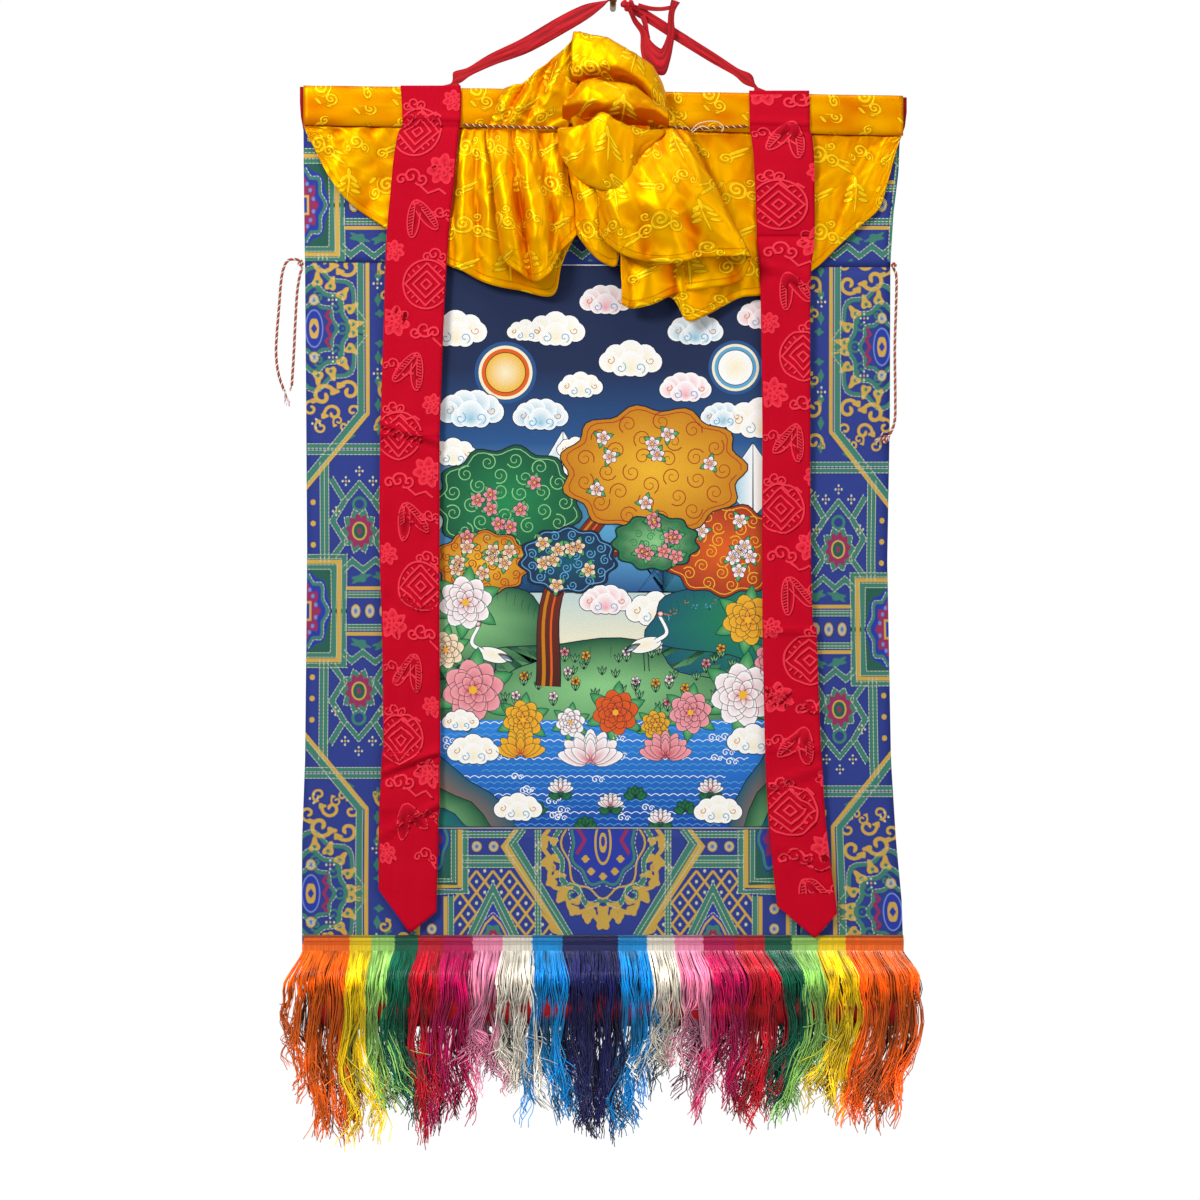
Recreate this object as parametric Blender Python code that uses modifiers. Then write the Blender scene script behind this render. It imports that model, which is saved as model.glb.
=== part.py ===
"""A scroll painting in a brocade frame, hanging by its tape from a plain wall hook.

X runs to the right as seen from the front, Z runs up, and the front looks along -Y. The origin is the
middle of the hook's end at the wall. All tables are in millimetres, and a depth is a distance in front
of the wall.
"""

import math
import random

import bmesh
import bpy
from mathutils import Matrix, Vector

MM = 0.001
GAP = 0.3  # between pieces that touch
WELD_DISTANCE = 0.01

# The layers of the hanging, from the wall to the front.
BACKING_BACK = 17.0
BACKING_THICK = 1.0
BROCADE_BACK = BACKING_BACK + BACKING_THICK + GAP
BROCADE_THICK = 1.2
PICTURE_THICK = 1.0
BROCADE_FRONT = BROCADE_BACK + BROCADE_THICK
SLEEVE_DEEP = 9.0
SLEEVE_FRONT = BROCADE_BACK + SLEEVE_DEEP
CLOTH_THICK = 1.2  # silk, ribbons and tape

# The top sleeve slopes down to the right, as it hangs.
SLEEVE_LEFT, SLEEVE_RIGHT = -247.5, 232.0
SLEEVE_TOP_LEFT = -64.5
SLEEVE_HIGH = 32.5
SLEEVE_SLOPE = -0.0175
SLEEVE_EDGE_ROUND = 3.0
BACKING_PEEP = 3.2  # red cloth that shows past each end of the sleeve

# The brocade's side edges, which draw in a little at the middle.
EDGE_ROWS = (
    # z, left_x, right_x
    (-60, -248.0, 231.0),
    (-130, -247.5, 228.5),
    (-172, -247.0, 223.5),
    (-208, -246.5, 222.0),
    (-332, -245.5, 221.5),
    (-444, -244.8, 219.5),
    (-604, -246.4, 222.5),
    (-668, -248.8, 226.5),
    (-716, -249.0, 231.0),
    (-790, -248.5, 233.5),
)

# The picture, and the window that the brocade leaves for it.
WINDOW_LEFT, WINDOW_RIGHT = -162.4, 149.6
WINDOW_TOP, WINDOW_BOTTOM = -207.2, -659.2
SEAM_LEFT_Z, SEAM_RIGHT_Z = -205.6, -209.6  # the seam under the top panel
BROCADE_BOTTOM = -781.6

ROLLER_HIGH, ROLLER_DEEP = 36.0, 22.0
ROLLER_LEFT, ROLLER_RIGHT = -243.0, 233.0

# The red ribbons: how their edges run, and how far they stand off the wall. A crease is a row that
# stands further out or further in than its neighbours.
RIBBON_LEFT_ROWS = (
    # z, left_x, right_x, depth
    (-65.6, -169.5, -121.5, 28.4),
    (-80, -168.5, -121.0, 28.5),
    (-94, -168.0, -121.5, 28.5),
    (-99, -168.5, -122.5, 27.6),
    (-104, -171.5, -123.0, 28.8),
    (-124, -175.0, -125.0, 30.2),
    (-150, -177.5, -127.5, 28.6),
    (-190, -181.0, -131.5, 27.4),
    (-252, -183.0, -135.0, 26.6),
    (-330, -185.5, -138.0, 26.0),
    (-343, -186.0, -138.5, 27.4),
    (-356, -186.0, -138.5, 25.6),
    (-430, -186.5, -138.5, 25.2),
    (-500, -184.5, -138.5, 25.8),
    (-586, -183.5, -138.0, 25.0),
    (-600, -184.5, -138.0, 26.6),
    (-612, -185.0, -138.5, 24.8),
    (-640, -186.5, -138.5, 26.0),
    (-654, -187.0, -139.5, 24.6),
    (-707, -187.2, -140.6, 24.8),
)
RIBBON_RIGHT_ROWS = (
    (-69.6, 108.5, 156.5, 28.4),
    (-84, 108.8, 157.0, 28.5),
    (-98, 109.0, 157.0, 28.5),
    (-103, 109.5, 157.5, 27.6),
    (-108, 110.5, 159.0, 28.8),
    (-128, 112.5, 160.5, 30.2),
    (-178, 114.5, 161.0, 28.6),
    (-186, 114.8, 160.5, 27.2),
    (-194, 115.0, 160.5, 28.2),
    (-226, 117.5, 157.5, 26.8),
    (-330, 119.2, 157.5, 26.0),
    (-400, 119.0, 157.5, 25.6),
    (-486, 119.2, 159.0, 26.2),
    (-500, 119.4, 162.5, 27.2),
    (-514, 119.6, 163.0, 25.4),
    (-580, 121.0, 165.5, 25.2),
    (-594, 121.4, 166.0, 26.8),
    (-608, 121.8, 167.0, 25.0),
    (-660, 124.8, 170.5, 25.2),
    (-720, 131.0, 178.5, 24.8),
)
# The pointed end under the last row: x and z of its three corners.
RIBBON_LEFT_POINT = ((-187.0, -707.5), (-162.0, -742.5), (-141.0, -725.0))
RIBBON_RIGHT_POINT = ((131.2, -720.5), (161.5, -746.5), (179.0, -726.0))

# The hanging tape. A row is a place along its middle: its width there, and how far the tape is turned
# from facing the front (0) to lying flat on the hook (90).
STRAP_LEFT_ROWS = (
    # x, z, depth, width, turn
    (-126.0, -59.0, 21.4, 9.5, 0),
    (-114.0, -53.0, 21.2, 7.0, 10),
    (-96.0, -43.5, 21.0, 9.5, 0),
    (-70.0, -32.5, 20.8, 12.5, 0),
    (-42.0, -16.5, 20.4, 13.5, 0),
    (-22.0, -5.5, 20.0, 12.0, 12),
    (-10.0, 0.6, 19.0, 9.0, 50),
    (-4.0, 3.6, 18.6, 8.0, 80),
    (0.0, 4.1, 18.6, 8.0, 90),
    (3.0, 3.6, 18.6, 8.0, 86),
)
STRAP_LEFT_FOOT = ((-140.0, -65.4), (-121.5, -65.9))
STRAP_RIGHT_ROWS = (
    (109.0, -60.5, 21.2, 9.0, 0),
    (98.0, -53.5, 21.0, 6.5, -8),
    (80.0, -42.5, 20.8, 8.0, 0),
    (52.0, -25.0, 20.6, 8.5, 0),
    (34.0, -13.5, 20.2, 8.5, 8),
    (22.0, -6.0, 19.2, 8.5, 0),
    (13.0, -1.6, 18.6, 7.0, 0),
)
STRAP_RIGHT_FOOT = ((113.0, -70.2), (128.5, -70.5))
KNOT_AT = (11.6, -0.6, 24.4)
KNOT_RADII = (7.4, 3.5, 5.6)  # across, deep, up
# The bow is given by its two edges, from the knot down, round the fold and up again.
BOW_BAND_ROWS = (
    # outer_x, outer_z, inner_x, inner_z, depth
    (10.8, -2.4, 15.0, -3.8, 29.4),
    (12.6, -7.6, 16.8, -8.6, 28.4),
    (16.2, -15.4, 20.2, -13.6, 26.2),
    (21.6, -24.0, 27.2, -21.6, 25.6),
    (22.0, -36.0, 29.6, -28.4, 25.8),
    (24.0, -44.8, 34.0, -33.2, 26.0),
    (30.4, -52.8, 37.2, -35.4, 26.2),
    (35.2, -56.5, 38.2, -35.8, 26.2),
    (41.6, -56.3, 39.4, -34.6, 26.0),
    (45.2, -46.4, 41.6, -29.6, 25.6),
    (47.8, -34.4, 43.2, -24.0, 25.4),
    (49.4, -22.4, 43.6, -16.0, 25.2),
    (48.8, -12.8, 44.0, -9.6, 25.0),
    (49.8, -5.0, 45.2, -3.2, 25.0),
    (53.6, 1.2, 46.6, 3.8, 25.0),
)
BOW_EYE_ROWS = (
    # x, z, depth, width, turn
    (23.6, -9.0, 22.7, 4.4, 0),
    (25.8, -16.0, 22.7, 4.0, 0),
    (26.8, -22.0, 22.8, 3.8, 0),
    (28.0, -27.5, 22.9, 3.8, 0),
)
BOW_STRAND_ROWS = (
    (20.0, -0.8, 23.0, 3.8, 0),
    (29.0, -3.2, 23.2, 3.6, 0),
    (38.0, -3.8, 23.4, 3.2, 0),
    (45.6, -2.8, 23.4, 3.2, 0),
)

# The silk cover. Each leaf is one stretch of the same cloth, and each row is one fold of it, from the
# root, which the gathering holds, to the hem. The belly is how far the fold swells out half way.
SIDE_LEFT_ROWS = (
    # fold, root_x, root_depth, hem_x, hem_z, hem_depth, belly
    ("corner", -247.0, 22.6, -245.5, -101.5, 22.6, 0.0),
    ("edge_1", -236.0, 22.6, -239.0, -114.5, 22.6, 0.2),
    ("edge_2", -222.5, 22.6, -226.5, -138.5, 23.0, 0.6),
    ("edge_3", -206.5, 22.8, -209.0, -160.0, 23.2, 0.8),
    ("under_1", -178.5, 22.8, -181.5, -179.0, 23.4, 0.6),
    ("under_2", -146.5, 22.8, -154.5, -196.0, 23.4, 0.4),
    ("ribbon_in", -125.5, 23.4, -131.0, -209.0, 24.0, 1.0),
    ("fold_1", -117.5, 24.6, -121.0, -213.0, 26.5, 5.0),
    ("dip_1", -110.0, 25.8, -108.0, -220.0, 25.0, 3.0),
    ("fold_2", -104.0, 26.6, -93.5, -225.5, 28.0, 7.0),
    ("dip_2", -98.0, 26.8, -74.5, -229.0, 25.5, 2.0),
    ("tip", -86.0, 26.8, -48.0, -233.0, 27.0, 2.0),
    ("side_1", -72.0, 26.8, -41.0, -209.0, 28.0, 2.0),
    ("side_2", -58.5, 26.8, -33.0, -191.0, 29.0, 1.5),
    ("apex", -45.5, 26.8, -28.0, -183.0, 30.0, 1.0),
)
TUBES_ROWS = (
    ("turned_in", -97.0, 29.6, -77.5, -197.5, 31.0, 3.0),
    ("left_edge", -101.0, 30.4, -87.0, -200.0, 36.0, 7.0),
    ("belly_1", -96.0, 30.8, -82.5, -210.5, 45.0, 11.0),
    ("crown_1", -89.5, 30.8, -73.0, -217.0, 46.0, 12.0),
    ("valley", -82.0, 29.8, -65.5, -222.5, 38.0, 5.0),
    ("belly_2", -74.0, 30.8, -58.5, -223.0, 46.0, 12.0),
    ("crown_2", -65.0, 30.8, -49.5, -216.0, 45.0, 11.0),
    ("right_edge", -56.5, 30.0, -42.5, -201.0, 38.0, 6.0),
    ("fold_3", -48.5, 30.8, -35.0, -192.0, 36.0, 9.0),
    ("apex", -41.0, 29.8, -29.0, -185.0, 33.5, 4.0),
)
SIDE_RIGHT_ROWS = (
    ("inner", 21.5, 26.8, 33.5, -233.5, 26.5, 1.0),
    ("flap_in", 31.0, 26.8, 48.0, -236.0, 28.5, 2.0),
    ("flap_tip", 41.0, 26.8, 59.0, -253.5, 32.0, 4.0),
    ("flap_out", 50.5, 26.8, 73.5, -249.5, 28.5, 4.0),
    ("dip", 65.0, 26.6, 89.0, -241.0, 26.0, 2.0),
    ("fold", 82.5, 25.2, 102.5, -234.5, 26.5, 4.0),
    ("ribbon_in", 108.0, 23.6, 120.0, -232.0, 24.0, 1.0),
    ("under_1", 133.5, 22.8, 141.5, -223.0, 23.4, 0.5),
    ("under_2", 159.0, 22.8, 162.5, -210.5, 23.4, 0.4),
    ("edge_1", 180.0, 22.6, 180.0, -193.5, 23.2, 0.8),
    ("edge_2", 197.5, 22.6, 199.0, -176.0, 23.2, 0.8),
    ("corner", 212.0, 22.6, 213.0, -162.5, 22.8, 0.5),
    ("edge_3", 221.5, 22.6, 220.0, -140.0, 22.6, 0.2),
    ("end", 230.5, 22.6, 228.0, -110.0, 22.6, 0.0),
)
LOBE_ROWS = (
    # fold, root_x, root_z, root_depth, hem_x, hem_z, hem_depth, belly
    ("under_edge", 3.0, -108.0, 34.0, 7.0, -241.0, 35.5, 2.0),
    ("under_a", 12.0, -108.0, 34.0, 15.0, -244.0, 32.5, 2.0),
    ("under_b", 21.0, -107.0, 33.5, 31.0, -241.0, 36.0, 4.0),
    ("under_c", 30.0, -106.0, 33.0, 50.5, -232.0, 32.5, 3.0),
    ("under_d", 40.0, -105.0, 32.5, 74.5, -228.0, 35.5, 4.0),
    ("under_e", 50.0, -104.0, 32.0, 98.5, -224.0, 34.5, 4.0),
    ("turn_low", 57.0, -104.0, 34.0, 107.0, -215.0, 40.0, 6.0),
    ("turn_top", 57.0, -103.0, 38.0, 108.0, -204.0, 47.0, 9.0),
    ("front_a", 49.0, -102.0, 40.0, 89.0, -204.0, 53.0, 12.0),
    ("front_b", 38.0, -102.0, 41.0, 69.5, -205.0, 50.5, 14.0),
    ("front_c", 26.0, -104.0, 42.0, 50.5, -209.5, 56.0, 14.0),
    ("front_d", 13.5, -107.0, 42.0, 29.5, -209.0, 51.5, 12.0),
    ("front_e", 1.0, -109.0, 42.0, 10.5, -204.0, 54.0, 10.0),
    ("front_f", -9.0, -109.0, 41.0, -1.5, -196.0, 49.0, 8.0),
    ("front_g", -16.0, -108.0, 39.5, -10.5, -186.5, 44.0, 5.0),
)
CENTRE_FOLD_ROWS = (
    ("apex", -39.5, -103.5, 34.0, -28.5, -185.0, 33.6, 1.5),
    ("left", -31.0, -105.0, 35.0, -20.0, -197.0, 38.0, 3.0),
    ("low_left", -20.0, -106.0, 36.4, -10.5, -206.5, 40.5, 4.0),
    ("low_right", -9.0, -106.0, 37.0, 1.0, -211.0, 38.5, 3.0),
    ("right", -1.0, -106.0, 36.0, 4.0, -203.0, 36.8, 1.0),
)
SLOPE_LEFT_ROWS = (
    ("pinch", -102.0, -102.5, 29.9, -86.5, -68.0, 30.4, 0.2),
    ("fold_1", -96.0, -102.6, 30.2, -77.5, -65.5, 33.4, 2.5),
    ("dip_1", -90.0, -102.7, 30.0, -69.5, -62.5, 31.2, 0.5),
    ("fold_2", -82.5, -102.8, 30.2, -58.5, -53.0, 35.4, 3.5),
    ("dip_2", -72.0, -103.0, 30.0, -49.0, -45.5, 32.8, 1.0),
    ("fold_3", -61.0, -103.0, 30.6, -37.5, -37.0, 38.2, 4.5),
    ("peak", -49.0, -103.2, 31.4, -29.5, -25.0, 36.6, 3.0),
    ("tucked", -36.0, -103.2, 33.0, -21.0, -33.5, 35.0, 1.0),
)
SLOPE_RIGHT_ROWS = (
    ("inner", 30.0, -104.0, 33.0, 26.0, -62.0, 37.0, 1.0),
    ("fold", 42.0, -104.2, 31.6, 35.0, -62.5, 36.0, 3.0),
    ("dip", 52.0, -104.4, 30.4, 39.0, -70.0, 33.4, 0.5),
    ("outer", 64.5, -104.6, 29.9, 42.5, -79.0, 32.4, 0.2),
)
# The leaves of the bunch go from the root up over a ridge and down again in front.
PEAK_ROWS = (
    # fold, root (x, z, depth), ridge (x, z, depth), hem (x, z, depth)
    ("left_edge", (-16.0, -74.0, 34.5), (-30.5, -24.6, 37.0), (-32.5, -62.0, 42.0)),
    ("fold_1", (-12.0, -74.0, 34.0), (-19.0, -26.8, 40.0), (-20.5, -56.0, 48.0)),
    ("crown", (-6.0, -74.0, 33.5), (-5.2, -30.2, 41.0), (-7.0, -55.0, 52.0)),
    ("fold_2", (3.0, -76.0, 33.5), (9.5, -38.2, 41.0), (8.5, -59.0, 53.5)),
    ("shoulder", (12.0, -80.0, 33.5), (23.2, -46.8, 40.0), (22.0, -68.0, 51.0)),
    ("fold_3", (19.0, -84.0, 33.5), (34.0, -57.0, 38.5), (32.0, -78.0, 46.5)),
    ("right_edge", (24.0, -88.0, 34.0), (39.5, -71.0, 36.0), (41.5, -88.0, 40.5)),
)
SWAG_ROWS = (
    ("left", (-16.0, -84.0, 40.0), (-35.5, -73.0, 41.5), (-39.5, -86.5, 43.5)),
    ("corner", (-12.0, -82.0, 41.0), (-25.0, -67.0, 44.5), (-28.0, -86.0, 50.0)),
    ("peak", (-8.0, -80.0, 42.0), (-18.0, -61.8, 49.5), (-19.0, -85.5, 56.0)),
    ("middle", (2.0, -82.0, 42.0), (-1.5, -65.0, 51.5), (-3.0, -87.5, 59.0)),
    ("right", (12.0, -85.0, 41.5), (15.0, -67.5, 51.0), (15.5, -88.5, 57.5)),
    ("slope", (19.0, -88.0, 40.0), (28.5, -77.5, 48.0), (30.0, -90.5, 52.5)),
    ("end", (24.0, -92.0, 38.0), (40.5, -86.5, 43.5), (43.5, -96.0, 45.5)),
)
POCKET_ROWS = (
    ("left_edge", (-18.0, -98.0, 38.0), (-41.0, -88.5, 40.0), (-42.2, -113.0, 42.0)),
    ("left_fold", (-14.0, -98.0, 40.0), (-33.0, -90.0, 49.0), (-36.5, -131.0, 46.0)),
    ("belly_1", (-10.0, -98.0, 42.0), (-21.0, -91.5, 56.0), (-24.0, -140.5, 52.0)),
    ("ridge", (-4.0, -98.0, 43.0), (-9.5, -88.8, 60.0), (-9.5, -145.0, 57.0)),
    ("belly_2", (4.0, -99.0, 43.0), (4.3, -97.5, 61.0), (8.5, -145.0, 57.5)),
    ("right_fold", (14.0, -99.0, 41.0), (22.0, -99.8, 55.5), (18.5, -127.5, 52.5)),
    ("right_edge", (22.0, -98.0, 38.0), (40.5, -99.5, 43.5), (35.5, -111.0, 43.0)),
)
GATHER_ROUTE = (
    # x, depth and radius of the roll of cloth that the cord draws together
    (-112.0, 24.8, 0.7),
    (-98.0, 28.0, 2.2),
    (-60.0, 28.6, 2.7),
    (-30.0, 32.0, 2.7),
    (20.0, 32.0, 2.7),
    (45.0, 29.4, 2.7),
    (66.0, 27.6, 2.0),
    (90.0, 24.6, 0.7),
)
CORE_AT = (-1.0, -87.0, 39.0)
CORE_RADII = (36.0, 36.0, 8.0)  # across, up, deep

# Twisted cords.
CORD_THICK = 2.4
CORD_POINT_STEP = 6.0
VEIL_CORD_LEFT_ROUTE = (
    (-119.8, -97.2, 29.3),
    (-110.0, -97.8, 31.8),
    (-100.0, -98.6, 34.0),
    (-80.0, -99.4, 35.0),
    (-62.0, -100.0, 35.4),
    (-44.0, -100.2, 36.4),
)
VEIL_CORD_RIGHT_ROUTE = (
    (46.0, -100.0, 38.4),
    (58.0, -100.4, 34.6),
    (70.0, -100.6, 33.0),
    (88.0, -99.2, 30.4),
    (106.9, -98.0, 29.3),
)
SIDE_CORD_LEFT_OUTER_ROUTE = (
    (-248.6, -205.0, 20.2),
    (-255.0, -203.4, 20.8),
    (-261.0, -205.6, 21.0),
    (-265.0, -217.0, 20.8),
    (-267.0, -240.0, 20.4),
    (-269.6, -276.0, 20.0),
    (-267.4, -296.0, 20.0),
    (-262.8, -309.0, 20.0),
)
SIDE_CORD_LEFT_INNER_ROUTE = (
    (-248.4, -210.0, 20.2),
    (-250.4, -216.0, 20.8),
    (-252.6, -230.0, 20.8),
    (-254.0, -252.0, 20.4),
    (-255.4, -280.0, 20.0),
    (-257.0, -304.5, 20.0),
)
SIDE_CORD_RIGHT_ROUTE = (
    (224.2, -210.5, 20.2),
    (226.6, -217.0, 20.8),
    (226.4, -240.0, 20.6),
    (225.4, -274.0, 20.4),
    (225.8, -312.0, 20.4),
    (225.0, -334.0, 22.4),
    (219.0, -348.0, 23.4),
)

# The fringe. A row says where the strands that start near x hang at the roller, half way down and at
# their tips, and how low the tips reach.
FRINGE_ROWS = (
    # x, at_roller, at_middle, at_tip, tip_z
    (-247.0, -260.0, -260.0, -252.0, -884.0),
    (-238.0, -246.0, -248.0, -240.0, -904.0),
    (-210.0, -212.0, -214.0, -208.0, -916.0),
    (-174.0, -179.0, -181.0, -170.0, -894.0),
    (-156.0, -162.0, -165.0, -155.0, -912.0),
    (-112.0, -114.5, -119.0, -117.0, -896.0),
    (-88.0, -93.0, -96.0, -88.0, -878.0),
    (-65.0, -64.0, -66.0, -64.0, -888.0),
    (-41.0, -37.0, -40.0, -34.0, -896.0),
    (-18.0, -18.0, -18.0, -17.0, -916.0),
    (4.0, 7.0, 7.0, -2.0, -912.0),
    (27.0, 31.0, 30.0, 22.0, -888.0),
    (50.0, 56.0, 55.0, 49.0, -874.0),
    (72.0, 81.0, 82.0, 73.0, -898.0),
    (98.0, 109.0, 106.0, 100.0, -902.0),
    (122.0, 136.0, 136.0, 125.0, -904.0),
    (143.0, 156.0, 157.0, 138.0, -896.0),
    (164.0, 172.0, 175.0, 160.0, -894.0),
    (186.0, 196.0, 193.0, 183.0, -902.0),
    (214.0, 226.0, 224.0, 208.0, -900.0),
    (232.0, 246.0, 242.0, 229.0, -908.0),
)
HEADING_TOP, HEADING_HIGH, HEADING_THICK = -744.0, 12.0, 2.2
HEADING_BACK = BROCADE_FRONT + GAP
STRANDS_A_ROW = 88
STRAND_ROWS = 2
STRAND_ROOT, STRAND_BODY, STRAND_TIP = 0.9, 1.7, 0.7  # the three corners' distance from the middle
STRAND_ROW_STEP = 4.5
ROLLER_CLEAR = 3.0
TIP_SPREAD = 0.09  # how much the strands' lengths differ
STRAND_SEED = 11

HOOK_THICK = 5.0
HOOK_REACH = 28.0
HOOK_BEND = 6.0
HOOK_TIP_HIGH = 11.0

collection = None
joined = None


def at(x, z, depth):
    """The place at x and z millimetres that lies this far in front of the wall, in metres."""
    return Vector((x, -depth, z)) * MM


def start():
    """An empty scene with a collection for the object and one for the shapes that are joined into it."""
    global collection, joined
    for obj in list(bpy.data.objects):
        bpy.data.objects.remove(obj, do_unlink=True)
    collection = bpy.data.collections.new("scroll_painting")
    joined = bpy.data.collections.new("joined_shapes")
    for made in (collection, joined):
        bpy.context.scene.collection.children.link(made)


def material(name, color, roughness, metallic=0.0):
    made = bpy.data.materials.new(name)
    made.use_nodes = True
    shader = made.node_tree.nodes["Principled BSDF"]
    shader.inputs["Base Color"].default_value = (*color, 1.0)
    shader.inputs["Roughness"].default_value = roughness
    shader.inputs["Metallic"].default_value = metallic
    return made


def put(obj, look=None):
    """Makes the object a piece of the part. Without a look it is a shape that another piece takes in."""
    for held in list(obj.users_collection):
        held.objects.unlink(obj)
    if look is None:
        obj.hide_render = True
        obj.display_type = "WIRE"
        joined.objects.link(obj)
    else:
        obj.data.materials.append(look)
        collection.objects.link(obj)
    return obj


def node(name, data, look=None):
    return put(bpy.data.objects.new(name, data), look)


def take_in(name, look=None):
    """The primitive that was just added, under its own name."""
    obj = bpy.context.object
    obj.name = obj.data.name = name
    return put(obj, look)


def mix(a, b, share):
    return a + (b - a) * share


def smooth_through(points, share):
    """A smooth curve through all the points, at a share of the way from the first to the last."""
    place = min(max(share, 0.0), 1.0) * (len(points) - 1)
    i = min(int(place), len(points) - 2)
    t = place - i
    p1, p2 = points[i], points[i + 1]
    p0 = points[i - 1] if i > 0 else p1 * 2 - p2
    p3 = points[i + 2] if i + 2 < len(points) else p2 * 2 - p1
    return 0.5 * (
        p1 * 2 + (p2 - p0) * t + (p0 * 2 - p1 * 5 + p2 * 4 - p3) * t**2
        + (p1 * 3 - p0 - p2 * 3 + p3) * t**3
    )


def row_at(rows, x):
    """The values of a table at x, which is its first column and rises or falls from row to row."""
    ordered = sorted(rows)
    if x <= ordered[0][0]:
        return ordered[0][1:]
    for low, high in zip(ordered, ordered[1:]):
        if x <= high[0]:
            share = (x - low[0]) / (high[0] - low[0])
            return tuple(mix(a, b, share) for a, b in zip(low[1:], high[1:]))
    return ordered[-1][1:]


def sleeve_bottom(x):
    return SLEEVE_TOP_LEFT - SLEEVE_HIGH + SLEEVE_SLOPE * (x - SLEEVE_LEFT)


def side_edge(side, top_z, bottom_z):
    """The brocade's side edge between two heights, from the top down, as x and z."""
    column = {"left": 0, "right": 1}[side]
    heights = [top_z] + [row[0] for row in EDGE_ROWS if bottom_z < row[0] < top_z] + [bottom_z]
    return [(row_at(EDGE_ROWS, z)[column], z) for z in heights]


def grid_mesh(name, rows):
    """A mesh of the quads between rows of points."""
    count = len(rows[0])
    points = [point for row in rows for point in row]
    faces = [
        (r * count + c, r * count + c + 1, (r + 1) * count + c + 1, (r + 1) * count + c)
        for r in range(len(rows) - 1)
        for c in range(count - 1)
    ]
    mesh = bpy.data.meshes.new(name)
    mesh.from_pydata(points, [], faces)
    mesh.update()
    return mesh


def sheet(name, rows, thick, look=None):
    """Cloth: an open surface through rows of points, with its thickness on both sides."""
    obj = node(name, grid_mesh(name, rows), look)
    solid = obj.modifiers.new("thickness", "SOLIDIFY")
    solid.thickness = thick * MM
    solid.offset = 0.0
    obj.data.shade_smooth()
    return obj


def panel(name, outline, back, thick, look=None):
    """A flat cut piece with this outline of x and z, standing upright."""
    curve = bpy.data.curves.new(name, "CURVE")
    curve.dimensions = "2D"
    curve.fill_mode = "BOTH"
    curve.extrude = thick / 2 * MM
    spline = curve.splines.new("POLY")
    spline.points.add(len(outline) - 1)
    for point, (x, z) in zip(spline.points, outline):
        point.co = (x * MM, z * MM, 0.0, 1.0)
    spline.use_cyclic_u = True
    obj = node(name, curve, look)
    obj.rotation_euler.x = math.radians(90)
    obj.location.y = -(back + thick / 2) * MM
    return obj


def tube(name, points, thick, look=None, rings=2, radii=None):
    """A round rod or cord along the points, with closed ends. Radii scale it point by point."""
    curve = bpy.data.curves.new(name, "CURVE")
    curve.dimensions = "3D"
    curve.bevel_depth = thick / 2 * MM
    curve.bevel_resolution = rings
    curve.use_fill_caps = True
    spline = curve.splines.new("POLY")
    spline.points.add(len(points) - 1)
    for point, place, radius in zip(spline.points, points, radii or [1.0] * len(points)):
        point.co = (*place, 1.0)
        point.radius = radius
    return node(name, curve, look)


def as_mesh(obj, name, look=None):
    """The same shape as a mesh with closed ends and its faces outwards."""
    graph = bpy.context.evaluated_depsgraph_get()
    mesh = bpy.data.meshes.new_from_object(obj.evaluated_get(graph))
    mesh.transform(obj.matrix_world)
    bpy.data.objects.remove(obj, do_unlink=True)
    mesh.materials.clear()
    shape = bmesh.new()
    shape.from_mesh(mesh)
    bmesh.ops.remove_doubles(shape, verts=shape.verts, dist=WELD_DISTANCE * MM)
    bmesh.ops.recalc_face_normals(shape, faces=shape.faces)
    shape.to_mesh(mesh)
    shape.free()
    return node(name, mesh, look)


def join(obj, shapes):
    """Takes the shapes into the object, as one body."""
    for shape in shapes:
        union = obj.modifiers.new(shape.name, "BOOLEAN")
        union.operation = "UNION"
        union.solver = "MANIFOLD"
        union.object = shape


def tape_rows(table):
    """The two edges of a tape, row by row, from its middle line, width and turn."""
    middles = [at(x, z, depth) for x, z, depth, width, turn in table]
    rows = []
    for i, (x, z, depth, width, turn) in enumerate(table):
        along = middles[min(i + 1, len(table) - 1)] - middles[max(i - 1, 0)]
        along.normalize()
        across = along.cross(Vector((0, 1, 0))).normalized()
        across = Matrix.Rotation(math.radians(-turn), 3, along) @ across
        half = across * (width / 2 * MM)
        rows.append((middles[i] - half, middles[i] + half))
    return rows


def tape(name, rows, look):
    """A flat tape through pairs of edge points, rounded between them."""
    steps = 2 * (len(rows) - 1)
    edges = [[row[side] for row in rows] for side in (0, 1)]
    fine = [[smooth_through(edge, i / steps) for edge in edges] for i in range(steps + 1)]
    sheet(name, fine, CLOTH_THICK, look)


def make_tapes(look):
    """The two arms of the hanging tape, and the bow that is tied in the same tape."""
    left_foot = [at(x, z, STRAP_LEFT_ROWS[0][2]) for x, z in STRAP_LEFT_FOOT]
    right_foot = [at(x, z, STRAP_RIGHT_ROWS[0][2]) for x, z in STRAP_RIGHT_FOOT]
    tape("strap_left", [left_foot, *tape_rows(STRAP_LEFT_ROWS)], look)
    tape("strap_right", [right_foot, *tape_rows(STRAP_RIGHT_ROWS)], look)
    bow = [(at(ox, oz, depth), at(ix, iz, depth)) for ox, oz, ix, iz, depth in BOW_BAND_ROWS]
    tape("bow_band", bow, look)
    tape("bow_eye", tape_rows(BOW_EYE_ROWS), look)
    tape("bow_strand", tape_rows(BOW_STRAND_ROWS), look)


def make_hook(look):
    """A straight shank from the wall, a bend, and an upright tip."""
    bend = [
        at(0, HOOK_BEND * (1 - math.cos(a)), HOOK_REACH - HOOK_BEND * (1 - math.sin(a)))
        for a in (math.radians(15 * step) for step in range(7))
    ]
    points = [at(0, 0, 0), *bend, at(0, HOOK_TIP_HIGH, HOOK_REACH)]
    tube("wall_hook", points, HOOK_THICK, look, rings=4)


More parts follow.
